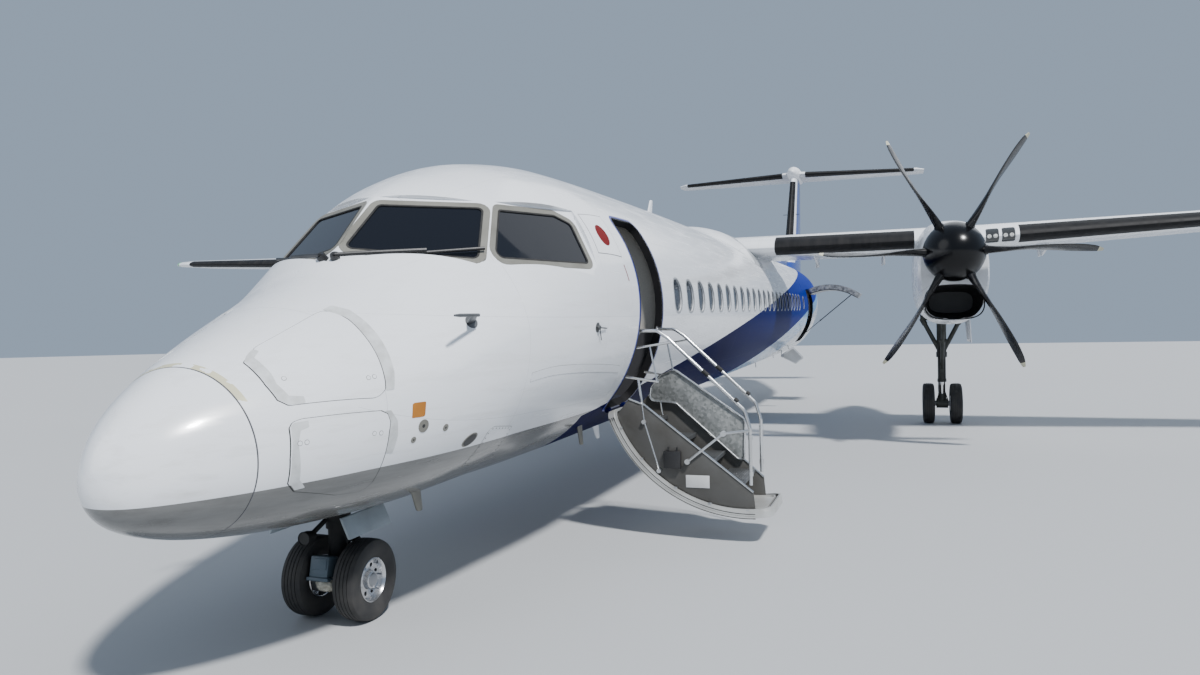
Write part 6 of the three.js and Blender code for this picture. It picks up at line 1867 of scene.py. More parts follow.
guard_metal = metal("guard_metal", (0.045, 0.045, 0.045), 0.38, 0.6)
spinner_black = metal("spinner_black", (0.002, 0.002, 0.0025), 0.2, 0.0, stain=(1.8, 1.8, 1.8),
                      depth=0.0001, specular=0.3)
for word, sign in SIDES:
    hub = Vector((sign * NACELLE_X, HUB["station"], HUB["height"]))
    paint = blade_colour(sign * NACELLE_X)
    bm = bmesh.new()
    spun(bm, SPINNER, hub)
    for turn in range(36):
        t = 2 * math.pi * turn / 36
        out = Vector((math.cos(t), 0, math.sin(t)))
        rivet(bm, hub + out * 0.4645 + Vector((0, 0.187, 0)), out, 0.007, 0.0015)
    link(f"spinner_{word}", bm, spinner_black, body=f"propeller_{word}", nodes=[f"propeller_{word}"],
         slot="black_composite")
    blades, guards, cuffs = bmesh.new(), bmesh.new(), bmesh.new()
    for i in range(6):
        around = Matrix.Translation(hub) @ Matrix.Rotation(2 * math.pi * (i + 0.5) / 6, 4, "Y")

        def blade_ring(radius, outline, puff=0.0):
            _, chord, thick, angle, sweep = smooth_rows(BLADES, radius)
            turn = math.radians(angle)
            ring = []
            for u, v in outline:
                a, b = u * chord + sweep, v * thick + math.copysign(puff, v)
                ring.append(around @ Vector((a * math.cos(turn) - b * math.sin(turn),
                                             a * math.sin(turn) + b * math.cos(turn), radius)))
            return ring

        radii = spaced(0.400, 1.95, 0.06) + [1.985, 2.015, 2.04, 2.055]
        loft(blades, [blade_ring(r, BLADE_OUTLINE) for r in radii])
        edge = [(-0.503, 0.0), (-0.472, 0.165), (-0.40, 0.33), (-0.40, -0.27), (-0.472, -0.145)]
        loft(guards, [blade_ring(r, edge, 0.0006) for r in spaced(0.95, 1.93, 0.08)])
        loft(cuffs, [[around @ Vector((0.076 * grow * math.cos(t), 0.076 * grow * math.sin(t), r)) for t in
                      (2 * math.pi * k / 24 for k in range(24))]
                     for r, grow in ((0.42, 1.0), (0.466, 1.0), (0.471, 0.92))])
    link(f"blades_{word}", blades, paint, body=f"propeller_{word}", nodes=[f"propeller_{word}"],
         slot="black_composite")
    link(f"blade_guards_{word}", guards, guard_metal, body=f"propeller_{word}", slot="alloy")
    link(f"blade_cuffs_{word}", cuffs, black_rubber, body=f"propeller_{word}", slot="tyre")
# Fin and rudders
# A tall swept fin in blue with a black ice boot, and a rudder in two pieces, the rear one hinged
# on the front one.
FIN_SECTIONS = [(1.180, 27.100, 4.640, 0.11), (4.980, 29.780, 2.420, 0.12)]
FIN_HINGE, RUDDER_SPLIT, FIN_NOSE_GAP, RUDDER_GAP = 0.64, 0.83, 0.013, 0.034
FIN_ROOT, FIN_TOP, RUDDER_ROOT, RUDDER_TOP = 1.180, 4.8985, 1.420, 4.715
RUDDER_DISCS = (1.700, 3.100, 4.500)
DORSAL = [(22.900, 1.320), (25.400, 1.560), (27.900, 2.240), (27.900, 1.200), (22.900, 1.200)]
TAILPLANE_SECTIONS = [(0.000, 29.900, 2.350, 0.12), (4.360, 30.850, 1.400, 0.12),
                      (4.635, 31.120, 1.080, 0.10)]
TAILPLANE_HEIGHT = 5.040
ELEVATOR = {"inner": 0.330, "outer": 4.360, "hinge": 0.66}
BULLET = [(29.510, 0.0), (29.530, 0.045), (29.570, 0.088), (29.620, 0.130), (29.760, 0.190),
          (29.950, 0.235), (30.250, 0.260), (30.700, 0.270), (31.200, 0.258), (31.900, 0.190),
          (32.400, 0.096), (32.700, 0.030), (32.830, 0.0)]


def fin_faces(z):
    _, leading, chord, thickness = row_between(FIN_SECTIONS, z)
    return leading, chord, face_heights(chord, thickness, False)


def on_fin(z, point):
    return Vector((point[1], fin_faces(z)[0] + point[0], z))


def fin_ring(z, shape, *rest, **part):
    _, chord, faces = fin_faces(z)
    return [on_fin(z, p) for p in shape(chord, faces, *rest, **part)]


def tail_faces(x):
    _, leading, chord, thickness = row_between(TAILPLANE_SECTIONS, x)
    return leading, chord, face_heights(chord, thickness, False)


def on_tail(x, point):
    return Vector((x, tail_faces(x)[0] + point[0], TAILPLANE_HEIGHT + point[1]))


def tail_ring(x, shape, *rest, **part):
    _, chord, faces = tail_faces(x)
    return [on_tail(x, p) for p in shape(chord, faces, *rest, **part)]


def fin_paint():
    """Royal blue behind a white band, with a black ice boot at the leading edge."""
    g = Graph("fin_paint", roughness=0.2)
    spot = g.place(airframe=True)
    _, y, z = g.axes(spot)
    wear = g.noise(spot, 1.6, 5.0, 0.6)
    back = y - (z - 1.18) * 0.70526 - 27.10
    blue = g.blend(wear, 0.4, 0.8, (0.014, 0.045, 0.29), (0.03, 0.07, 0.33))
    colour = g.mix(back < g.ramp(z, 1.5, 4.9, 0.62, 0.40), blue, WHITE)
    # the roots of the fin and its dorsal ridge stay in the tube's blue
    colour = g.mix(z < 1.62, colour, blue)
    boot = (back < g.ramp(z, 1.5, 4.9, 0.26, 0.18)) * (z > 2.05)
    boot = boot * (z < 4.72)
    colour = g.mix(boot, colour, g.blend(wear, 0.4, 0.8, *ICE_BOOT))
    joints = g.most(g.near(g.zigzag(z, 0.52), 0.0, 0.002), g.near(back, 1.05, 0.002))
    joints = g.most(joints, g.near(back, 0.55, 0.002))
    colour = g.mix(joints * 0.4, colour, (0.1, 0.1, 0.12))
    g.set("Base Color", colour)
    g.set("Roughness", g.ramp(wear, 0.4, 0.8, 0.16, 0.32) + boot * 0.3)
    g.set("Coat Weight", g.ramp(boot, 0.0, 1.0, 0.25, 0.0))
    g.set("Specular IOR Level", g.ramp(boot, 0.0, 1.0, 0.4, 0.16))
    tubes = boot * g.zigzag(back, 0.016) * 18.0
    g.set("Normal", g.bump(tubes + (wear * 0.2 - joints), 0.0007, 0.7))
    return g.material


def tailplane_paint():
    """White with black ice boots, painted grey beneath as shade."""
    g = Graph("tailplane_paint", roughness=0.28)
    spot = g.place(airframe=True)
    x, y, z = g.axes(spot)
    out = abs(x)
    wear = g.noise(spot, 1.9, 5.0, 0.6)
    back = y - out * 0.21789 - 29.90
    painted_underside_shade = g.ramp(z, TAILPLANE_HEIGHT + 0.01, TAILPLANE_HEIGHT - 0.01)
    white = g.blend(wear, 0.45, 0.8, WHITE, (0.55, 0.56, 0.57))
    # the underside is greyed as painted shade
    colour = g.mix(painted_underside_shade * 0.6, white, (0.42, 0.44, 0.46))
    inside = (out > 0.42) * (out < 4.28)
    boot = inside * (back < g.ramp(out, 0.4, 4.3, 0.24, 0.15))
    colour = g.mix(boot, colour, g.blend(wear, 0.4, 0.8, *ICE_BOOT))
    joints = g.most(g.near(g.zigzag(out, 0.48), 0.0, 0.0018), g.near(back, 0.75, 0.002))
    colour = g.mix(joints * 0.45, colour, (0.15, 0.15, 0.16))
    g.set("Base Color", colour)
    g.set("Roughness", g.ramp(wear, 0.4, 0.8, 0.22, 0.4) + boot * 0.3)
    g.set("Specular IOR Level", g.ramp(boot, 0.0, 1.0, 0.5, 0.16))
    tubes = boot * g.zigzag(back, 0.014) * 18.0
    g.set("Normal", g.bump(tubes + (wear * 0.2 - joints), 0.0007, 0.7))
    return g.material


fin_blue, tail_white = fin_paint(), tailplane_paint()
rudder_ends = (RUDDER_ROOT, RUDDER_TOP)
bm = lofted([fin_ring(z, section_outline) for z in spaced(FIN_ROOT, FIN_TOP, 0.35)])
fin_skin = link("fin_skin", bm, fin_blue, nodes=["fin"])
bm = lofted([fin_ring(z, well_outline, FIN_HINGE, FIN_NOSE_GAP)
             for z in (RUDDER_ROOT - RUDDER_GAP, RUDDER_TOP + RUDDER_GAP)])
carve(fin_skin, bm)
rings = []
for y, z in [(22.90, 1.345)] + [(y, row_between(DORSAL[:3], y)[1]) for y in spaced(23.1, 27.8, 0.235)]:
    wide = 0.055
    ring = [Vector((wide * math.cos(math.pi * k / 12), y, z - wide + wide * math.sin(math.pi * k / 12)))
            for k in range(13)]
    rings.append(ring + [Vector((-wide, y, 1.10)), Vector((wide, y, 1.10))])
bm = lofted(rings)
link("dorsal_ridge", bm, fin_blue, slot="blue_paint")

bm = lofted([fin_ring(z, hinged_outline, FIN_HINGE) for z in spaced(*rudder_ends, 0.4)])
ends = [on_fin(z, (FIN_HINGE * fin_faces(z)[1], 0)) for z in rudder_ends]
step = (ends[1] - ends[0]).normalized() * (RUDDER_GAP - 0.004)
rod(bm, ends[0] - step, ends[0] + step, 0.009)
rod(bm, ends[1] - step, ends[1] + step, 0.009)
front_rudder = link("rudder_front_skin", bm, fin_blue, body="rudder", nodes=["rudder_front"])
bm = lofted([fin_ring(z, well_outline, RUDDER_SPLIT, FIN_NOSE_GAP)
             for z in (RUDDER_ROOT - 0.1, RUDDER_TOP + 0.1)])
carve(front_rudder, bm)
bm = lofted([fin_ring(z, hinged_outline, RUDDER_SPLIT) for z in spaced(*rudder_ends, 0.4)])
for z in RUDDER_DISCS:
    _, chord, faces = fin_faces(z)
    low, high = [on_fin(level, (RUDDER_SPLIT * fin_faces(level)[1], 0)) for level in (z - 0.009, z + 0.009)]
    rod(bm, low, high, (hinge_in(chord, faces, RUDDER_SPLIT)[2] + FIN_NOSE_GAP) * 0.92, 24)
link("rudder_rear_skin", bm, fin_blue, body="rudder_tab", nodes=["rudder_rear"])

# Tailplane and elevators
# A small swept tailplane on top of the fin, with an elevator a side, joined over a pointed bullet.
bm = lofted([tail_ring(x, section_outline) for x in spaced(0.0, 4.36, 0.4)
             + [4.43, 4.50, 4.56, 4.60, 4.635]])
both_sides(bm)
stab = link("tailplane_skin", bm, tail_white, nodes=["tailplane"])
for word, sign in SIDES:
    bm = lofted([tail_ring(x, well_outline, ELEVATOR["hinge"])
                 for x in (ELEVATOR["inner"] - END_GAP, ELEVATOR["outer"], ELEVATOR["outer"] + END_GAP)])
    carve(stab, bm, side=sign)
    bm = bmesh.new()
    stations = (ELEVATOR["inner"], ELEVATOR["outer"])
    loft(bm, [tail_ring(x, hinged_outline, ELEVATOR["hinge"]) for x in spaced(*stations, 0.4)])
    ends = [on_tail(x, (ELEVATOR["hinge"] * tail_faces(x)[1], 0)) for x in stations]
    step = (ends[1] - ends[0]).normalized() * 0.0105
    rod(bm, ends[0] - step, ends[0] + step * 3, 0.009)
    rod(bm, ends[1] - step * 3, ends[1] + step, 0.009)
    link(f"elevator_skin_{word}", bm, tail_white, body=f"elevator_{word}", nodes=[f"elevator_{word}"],
         side=sign)
bullet_white = metal("bullet_white", WHITE, 0.28, 0.0, stain=(0.82, 0.81, 0.8), depth=0.0001)
bm = bmesh.new()
spun(bm, BULLET, (0, 0, 5.080), steps=48)
link("tail_bullet_skin", bm, bullet_white, nodes=["tail_bullet"])
# Wheels
# Forged alloy wheels with round lightening holes and a bolted hub cap, and ribbed radial tyres
# with four grooves, a little flat where they stand.
LEVEL = 5.0


def from_ground(x, aft, height):
    """A point given by distance along the ground and height above it, in the airframe's own axes."""
    dy, dz = aft - LEVEL, height - 2.13
    c, s = math.cos(NOSE_DOWN), math.sin(NOSE_DOWN)
    return Vector((x, LEVEL + dy * c + dz * s, -dy * s + dz * c))


NOSE_GEAR = {"aft": 1.850, "tyre": 0.264, "wide": 0.165, "spread": 0.195, "rim": 0.140, "axle": 0.034}
MAIN_GEAR = {"aft": 15.790, "tyre": 0.4065, "wide": 0.224, "spread": 0.259, "rim": 0.205, "axle": 0.055}


def tyre_paint():
    g = Graph("tyre_rubber", roughness=0.8)
    spot = g.place()
    dust = g.noise(spot, 7.0, 5.0, 0.6)
    g.set("Base Color", g.blend(dust, 0.35, 0.75, (0.016, 0.016, 0.017), (0.055, 0.052, 0.048)))
    g.set("Roughness", g.ramp(dust, 0.3, 0.7, 0.62, 0.9))
    g.set("Normal", g.bump(g.noise(spot, 160.0), 0.0008))
    return g.material


def tyre_profile(gear):
    """Half section of a tyre from one bead to the other, with square grooves in the tread."""
    half, bead, crown = gear["wide"] / 2, gear["rim"] + 0.0005, gear["tyre"]
    shoulder = [(-0.70, bead), (-0.80, bead + 0.10 * (crown - bead)), (-0.95, bead + 0.33 * (crown - bead)),
                (-1.00, bead + 0.55 * (crown - bead)), (-0.97, bead + 0.74 * (crown - bead)),
                (-0.86, 0.945 * crown + 0.004), (-0.70, 0.982 * crown)]
    tread = []
    for middle in (-0.48, -0.16, 0.16, 0.48):
        near = 1.0 - 0.022 * middle * middle
        for way, deep in ((-0.035, 0.0), (-0.022, 0.009), (0.022, 0.009), (0.035, 0.0)):
            tread.append((middle + way, near * crown - deep * crown / 0.4))
    points = shoulder + tread + [(-u, r) for u, r in reversed(shoulder)]
    return [(u * half, r) for u, r in points] + [(shoulder[0][0] * half, shoulder[0][1])]


def wheel_profile(gear):
    """Half section of one wheel, from its outer face in to the axle and back along its inner face."""
    half, rim = gear["wide"] * 0.36, gear["rim"]
    return [(half, rim), (half + 0.004, rim * 1.02), (half + 0.006, rim * 0.985),
            (half - 0.004, rim * 0.93), (half * 0.72, rim * 0.90), (half * 0.40, rim * 0.84),
            (half * 0.34, rim * 0.60), (half * 0.45, rim * 0.46), (half * 0.92, rim * 0.40),
            (half * 0.98, rim * 0.36), (half * 0.98, gear["axle"] * 0.6), (half * 0.2, gear["axle"] * 0.6),
            (half * 0.1, rim * 0.40), (half * 0.1, rim * 0.80), (-half * 0.4, rim * 0.86),
            (-half, rim * 0.93), (-half - 0.004, rim * 0.97), (-half, rim), (half, rim)]


tyre_rubber = tyre_paint()
wheel_alloy = metal("wheel_alloy", (0.62, 0.63, 0.65), 0.22, 0.95, stain=(0.55, 0.52, 0.48))
hub_grey = metal("hub_grey", (0.30, 0.31, 0.33), 0.45, 0.6)


TREAD_REST = 0.0015


def wheel_set(label, gear, x, tyre_names, body, wheel_node, holes, bolts):
    """A pair of wheels on their axle with their tyres, as pieces of one turning body."""
    middle = from_ground(x, gear["aft"], gear["tyre"])
    hubs = bmesh.new()
    for tyre_node, way in tyre_names:
        centre = middle + Vector((way * gear["spread"], 0, 0))
        bm = bmesh.new()
        spun(bm, tyre_profile(gear), centre, (way, 0, 0), 72)
        for vert in bm.verts:
            # the tread settles a little where it stands
            above = (STANCE @ vert.co).z
            if above < TREAD_REST:
                vert.co.z += (TREAD_REST - above) / math.cos(NOSE_DOWN)
        link(f"{tyre_node}_rubber", bm, tyre_rubber, body=body, nodes=[tyre_node], slot="tyre")
        bm = bmesh.new()
        spun(bm, wheel_profile(gear), centre, (way, 0, 0), 64)
        piece = link(tyre_node.replace("tyre", "wheel"), bm, wheel_alloy, body=body, nodes=[wheel_node],
                     slot="steel")
        cutter = bmesh.new()
        for k in range(holes):
            t = 2 * math.pi * (k + 0.5) / holes
            spot = centre + Vector((0, math.cos(t), math.sin(t))) * gear["rim"] * 0.66
            rod(cutter, spot - Vector((gear["wide"], 0, 0)), spot + Vector((gear["wide"], 0, 0)),
                gear["rim"] * 0.105, 16)
        carve(piece, cutter)
        face = centre + Vector((way * gear["wide"] * 0.36, 0, 0))
        for k in range(bolts):
            t = 2 * math.pi * k / bolts
            spot = face + Vector((-way * gear["wide"] * 0.10, math.cos(t) * gear["rim"] * 0.85,
                                  math.sin(t) * gear["rim"] * 0.85))
            rod(hubs, spot - Vector((way * 0.022, 0, 0)), spot, gear["rim"] * 0.035, 6)
        cap = [(-0.006, 0.0), (-0.006, gear["rim"] * 0.33), (0.002, gear["rim"] * 0.33),
               (0.010, gear["rim"] * 0.28), (0.014, gear["rim"] * 0.15), (0.015, 0.0)]
        spun(hubs, cap, face - Vector((way * 0.003, 0, 0)), (way, 0, 0), 32)
        drum = [(-gear["wide"] * 0.50, gear["axle"]), (-gear["wide"] * 0.50, gear["rim"] * 0.74),
                (-gear["wide"] * 0.06, gear["rim"] * 0.74), (-gear["wide"] * 0.06, gear["axle"])]
        spun(hubs, [(u, r) for u, r in drum], centre, (way, 0, 0), 40)
    rod(hubs, middle - Vector((gear["spread"], 0, 0)), middle + Vector((gear["spread"], 0, 0)),
        gear["axle"], 24)
    link(f"hubs_{label}", hubs, hub_grey, body=body, slot="grey_metal")


wheel_set("nose", NOSE_GEAR, 0, (("nose_tyre_port", 1), ("nose_tyre_starboard", -1)), "nose_wheel_pair",
          "nose_wheels", 8, 8)
for word, sign in SIDES:
    wheel_set(word, MAIN_GEAR, sign * NACELLE_X,
              ((f"main_tyre_{word}_inboard", -sign), (f"main_tyre_{word}_outboard", sign)),
              f"main_wheel_pair_{word}", f"main_wheels_{word}", 10, 10)

# Nose leg
# A painted oleo strut with torque links, hoses, a round taxi lamp and a grey box above a pale
# wrapped coupling, between two narrow doors.
g = Graph("leg_paint", roughness=0.4)
spot = g.place()
oil = g.noise(spot, 5.0, 6.0, 0.65)
g.set("Base Color", g.blend(oil, 0.42, 0.75, (0.060, 0.063, 0.056), (0.028, 0.026, 0.024)))
g.set("Roughness", g.ramp(oil, 0.3, 0.7, 0.3, 0.6))
g.set("Normal", g.bump(g.noise(spot, 120.0), 0.0004))
g.set("Specular IOR Level", 0.3)
leg_paint = g.material
dark_leg = metal("dark_leg", (0.012, 0.0125, 0.013), 0.6, 0.0, stain=(2.2, 2.1, 2.0), specular=0.2)
chrome = metal("chrome", (0.80, 0.80, 0.80), 0.08, 1.0, stain=(0.85, 0.84, 0.82), depth=0.0)
box_blue = metal("box_blue", (0.085, 0.12, 0.15), 0.5, 0.1)
g = Graph("pale_wrap", roughness=0.45)
spot = g.place()
crease_relief_and_shade = g.noise(spot, 26.0, 5.0, 0.7)
# the colour follows the creases' relief, darker in the folds as painted shade over the wrap's own pale tone
g.set("Base Color", g.blend(crease_relief_and_shade, 0.35, 0.65, (0.33, 0.31, 0.24), (0.66, 0.64, 0.55)))
g.set("Normal", g.bump(crease_relief_and_shade, 0.02))
pale_wrap = g.material
LEG_HEAD, LEG_JOINT = (1.790, 1.240), 0.650


def nose_axis(height):
    share = (height - NOSE_GEAR["tyre"]) / (LEG_HEAD[1] - NOSE_GEAR["tyre"])
    return from_ground(0, NOSE_GEAR["aft"] + share * (LEG_HEAD[0] - NOSE_GEAR["aft"]), height)


leg, hoses = bmesh.new(), bmesh.new()
low, top = nose_axis(LEG_JOINT), nose_axis(LEG_HEAD[1] - 0.035)
rod(leg, low, top, 0.080, 32)
for height in (0.668, 0.90, 1.02):
    rod(leg, nose_axis(height), nose_axis(height + 0.035), 0.088, 32)
head = nose_axis(LEG_HEAD[1])
rod(leg, (-0.2397, head.y, head.z - 0.07), (0.2397, head.y, head.z - 0.07), 0.045, 24)
rod(leg, nose_axis(0.82), (0, 1.310, -0.822), 0.036, 20)
rod(leg, nose_axis(0.80) + Vector((-0.09, 0, 0)), nose_axis(0.80) + Vector((0.09, 0, 0)), 0.045, 20)
link("nose_leg_strut", leg, dark_leg, nodes=["nose_leg"], slot="dark_metal")
lamp = bmesh.new()
front = from_ground(-0.050, 1.550, 0.577)
lamp_way = (from_ground(-0.050, 1.660, 0.577) - front).normalized()
spun(lamp, [(0.110, 0.0), (0.108, 0.020), (0.080, 0.036), (0.040, 0.043), (0.004, 0.0445), (0.0, 0.0445),
            (0.0, 0.040), (0.006, 0.039), (0.012, 0.0)], front, lamp_way, 32)
rod(lamp, front + lamp_way * 0.080 + Vector((0.0, 0, 0.012)), nose_axis(0.72), 0.016, 12)
link("taxi_lamp", lamp, dark_leg, slot="dark_metal")
lens = bmesh.new()
spun(lens, [(0.006, 0.0), (0.0058, 0.020), (0.004, 0.038), (0.009, 0.0385), (0.011, 0.020), (0.012, 0.0)],
     front, lamp_way, 32)
link("taxi_lamp_lens", lens, lamp_glass, slot="window")
for dx, dy, bow in ((0.060, -0.065, 0.05), (-0.045, -0.075, 0.06), (0.085, 0.02, 0.03)):
    start, end = nose_axis(1.12) + Vector((dx, dy, 0)), nose_axis(0.69) + Vector((dx * 0.9, dy - 0.004, 0))
    middle = start.lerp(end, 0.5) + Vector((dx * 0.3, -bow, 0))
    curve = [start.lerp(middle, t).lerp(middle.lerp(end, t), t) for t in (i / 8 for i in range(9))]
    hose(hoses, curve, 0.008, 8)
link("nose_leg_hoses", hoses, black_rubber, slot="tyre")

fork, shine = bmesh.new(), bmesh.new()
axle = nose_axis(NOSE_GEAR["tyre"])
rod(fork, nose_axis(0.40), nose_axis(LEG_JOINT - 0.0005), 0.062, 28)
rod(fork, nose_axis(0.60), nose_axis(LEG_JOINT - 0.0005), 0.074, 28)
rod(fork, axle, nose_axis(0.42), 0.070, 28)
rod(fork, (-0.096, axle.y, axle.z), (0.096, axle.y, axle.z), 0.078, 32)
for across in (-0.042, 0.042):
    knee = from_ground(across, 2.020, 0.470)
    rod(fork, nose_axis(0.60) + Vector((across, 0.05, 0)), knee, 0.014, 10)
    rod(fork, nose_axis(0.33) + Vector((across, 0.05, 0)), knee, 0.014, 10)
rod(fork, from_ground(-0.055, 2.020, 0.470), from_ground(0.055, 2.020, 0.470), 0.012, 12)
link("nose_fork_body", fork, dark_leg, body="nose_steering", nodes=["nose_fork"], slot="dark_metal")
bm = bmesh.new()
tilt = Matrix.Translation(from_ground(-0.013, 1.700,
                                      0.360)) @ Matrix.Rotation(math.radians(-12) - NOSE_DOWN, 4, "X")
block(bm, (-0.070, -0.055, -0.060), (0.070, 0.055, 0.075), 0.010, tilt)
block(bm, (-0.058, -0.0605, -0.010), (0.058, -0.053, 0.060), 0.003, tilt)
block(bm, (-0.085, -0.060, -0.082), (0.080, 0.090, -0.058), 0.006, tilt)
link("coupling_box", bm, box_blue, body="nose_steering", slot="dark_metal")
bm = bmesh.new()
bmesh.ops.create_uvsphere(bm, u_segments=28, v_segments=16, radius=0.05,
                          matrix=Matrix.Translation(from_ground(0.030, 1.690, 0.262))
                          @ Matrix.Diagonal((1.75, 1.25, 0.85, 1)))
wrinkles = random.Random(7)
for vert in bm.verts:
    vert.co += Vector([wrinkles.uniform(-0.006, 0.006) for _ in range(3)])
link("coupling_wrap", bm, pale_wrap, body="nose_steering", slot="white_paint")

# Gear doors
# Thin alloy doors left open on their hinges beside each bay, stiffened inside by pressed ribs.
NOSE_DOOR = {"front": 1.490, "back": 1.950, "drop": 1.430, "splay": 0.050}
door_grey = metal("door_grey", (0.33, 0.38, 0.42), 0.4, 0.2)
for word, sign in SIDES:
    bm = bmesh.new()
    edge = NOSE_BAY["half"]
    rows = [(edge - 0.008, -1.300), (edge + 0.008, -1.300), (edge + 0.066, -1.430), (edge + 0.050, -1.430)]
    prism(bm, [(sign * x, z) for x, z in rows], NOSE_DOOR["front"], NOSE_DOOR["back"], axis=1, bevel=0.003)
    for y in (1.56, 1.72, 1.88):
        prism(bm, [(sign * (edge - 0.002), -1.312), (sign * (edge - 0.010), -1.320),
                   (sign * (edge + 0.028), -1.412), (sign * (edge + 0.040), -1.412)], y - 0.012, y + 0.012,
              axis=1)
    link(f"nose_gear_door_{word}_leaf", bm, door_grey, nodes=[f"nose_gear_door_{word}"], slot="white_paint")
    bm = bmesh.new()
    x = NACELLE_X + WHEEL_BAY["half"]
    prism(bm, [(x + 0.004, -0.150), (x + 0.026, -0.150), (x + 0.060, -0.760), (x + 0.040, -0.760)], 14.300,
          15.150, axis=1, bevel=0.004)
    for y in (14.42, 14.62, 14.82, 15.02):
        prism(bm, [(x + 0.006, -0.34), (x - 0.004, -0.36), (x + 0.028, -0.72), (x + 0.040, -0.72)],
              y - 0.015, y + 0.015, axis=1)
    link(f"main_gear_door_{word}_leaf", bm, nacelle_white, nodes=[f"main_gear_door_{word}"], side=sign)

# Main legs
# Long grey oleo legs that hang from a trunnion in each nacelle, braced by a V of arms and a drag
# strut, with a polished piston, torque links and brake hoses.
for word, sign in SIDES:
    aft, tyre = MAIN_GEAR["aft"], MAIN_GEAR["tyre"]
    low, knee = from_ground(NACELLE_X, aft, tyre), from_ground(NACELLE_X, aft - 0.06, 1.4)
    head, pivot = from_ground(NACELLE_X, aft - 0.12, 2.12), from_ground(NACELLE_X, aft - 0.13, 2.16)
    leg, shine, hoses = bmesh.new(), bmesh.new(), bmesh.new()
    way = (knee - low).normalized()
    rod(leg, low, low + way * 0.20, 0.078, 32)
    rod(shine, low + way * 0.18, low + way * 0.46, 0.060, 32)
    rod(leg, low + way * 0.44, knee, 0.078, 32)
    rod(leg, low + way * 0.44, low + way * 0.50, 0.088, 32)
    rod(leg, knee - way * 0.05, knee + way * 0.05, 0.105, 32)
    rod(leg, knee, head, 0.092, 32)
    rod(leg, (low.x - 0.110, low.y, low.z), (low.x + 0.110, low.y, low.z), 0.098, 32)
    for across in (-1, 1):
        end = from_ground(NACELLE_X + across * 0.37, aft - 0.13, 2.14)
        rod(leg, knee, end, 0.044, 20)
        rod(leg, end - (end - knee).normalized() * 0.14, end, 0.056, 20)
    reach = WHEEL_BAY["half"] - 0.001
    rod(leg, (low.x - reach, pivot.y, pivot.z), (low.x + reach, pivot.y, pivot.z), 0.060, 28)
    drag_low, drag_top = from_ground(NACELLE_X, aft - 0.02, 1.05), from_ground(NACELLE_X, aft - 1.18, 2.33)
    rod(leg, drag_low, drag_top, 0.038, 20)
    middle = drag_low.lerp(drag_top, 0.5)
    rod(leg, middle - Vector((0.07, 0, 0)), middle + Vector((0.07, 0, 0)), 0.032, 20)
    rod(leg, (low.x - reach, drag_top.y, drag_top.z), (low.x + reach, drag_top.y, drag_top.z), 0.045, 24)
    for across in (-0.045, 0.045):
        joint = from_ground(NACELLE_X + across, aft + 0.27, 0.700)
        rod(leg, low + way * 0.10 + Vector((across, 0.06, 0)), joint, 0.020, 12)
        rod(leg, low + way * 0.58 + Vector((across, 0.06, 0)), joint, 0.020, 12)
    rod(leg, from_ground(NACELLE_X - 0.06, aft + 0.27, 0.700),
        from_ground(NACELLE_X + 0.06, aft + 0.27, 0.700), 0.016, 12)
    for across in (-0.05, 0.05):
        curve = [low + way * (0.25 + 0.12 * i)
                 + Vector((across, -0.085 - 0.03 * math.sin(math.pi * i / 8), 0)) for i in range(9)]
        hose(hoses, curve, 0.009, 8)
        hose(hoses, [curve[0], low + Vector((across * 2.2, -0.075, 0.05))], 0.009, 8)
    for bm, piece_name, paint, nodes, slot in ((leg, "main_leg_frame", leg_paint, [f"main_leg_{word}"],
                                                "grey_metal"),
                                               (shine, "main_leg_piston", chrome, (), "steel"),
                                               (hoses, "main_leg_hoses", black_rubber, (), "tyre")):
        link(f"{piece_name}_{word}", bm, paint, nodes=nodes, slot=slot, side=sign)
# Flight deck furniture
# Two padded crew seats on box bases with headrests, and the instrument panel under its glare
# shield with six blank screens, switch rows and a centre pedestal. Seen through the panes.
def cushion(bm, low, high, lean=0.0, pivot=None):
    """A crowned pad whose sides pull in between its corners, leaned back about a line across."""
    pad = bmesh.new()
    bmesh.ops.create_cube(pad, size=2)
    bmesh.ops.subdivide_edges(pad, edges=pad.edges, cuts=7, use_grid_fill=True)
    middle, half = (Vector(low) + Vector(high)) / 2, (Vector(high) - Vector(low)) / 2
    thin = min(range(3), key=lambda axis: half[axis])
    wide, tall = [axis for axis in range(3) if axis != thin]
    for vert in pad.verts:
        p = vert.co.copy()
        crown = max(0.0, (1 - p[wide] ** 4) * (1 - p[tall] ** 4)) ** 0.5
        edge = 1 - 0.07 * p[thin] ** 2
        vert.co[thin] = p[thin] * (0.52 + 0.48 * crown)
        vert.co[wide] = p[wide] * edge * (1 - 0.045 * (1 - p[tall] ** 2))
        vert.co[tall] = p[tall] * edge * (1 - 0.045 * (1 - p[wide] ** 2))
        vert.co = middle + Vector([c * h for c, h in zip(vert.co, half)])
    if lean:
        bmesh.ops.transform(pad, matrix=turned_about(pivot, lean, "X"), verts=pad.verts)
    mesh = bpy.data.meshes.new("pad")
    pad.to_mesh(mesh)
    bm.from_mesh(mesh)
    bpy.data.meshes.remove(mesh)


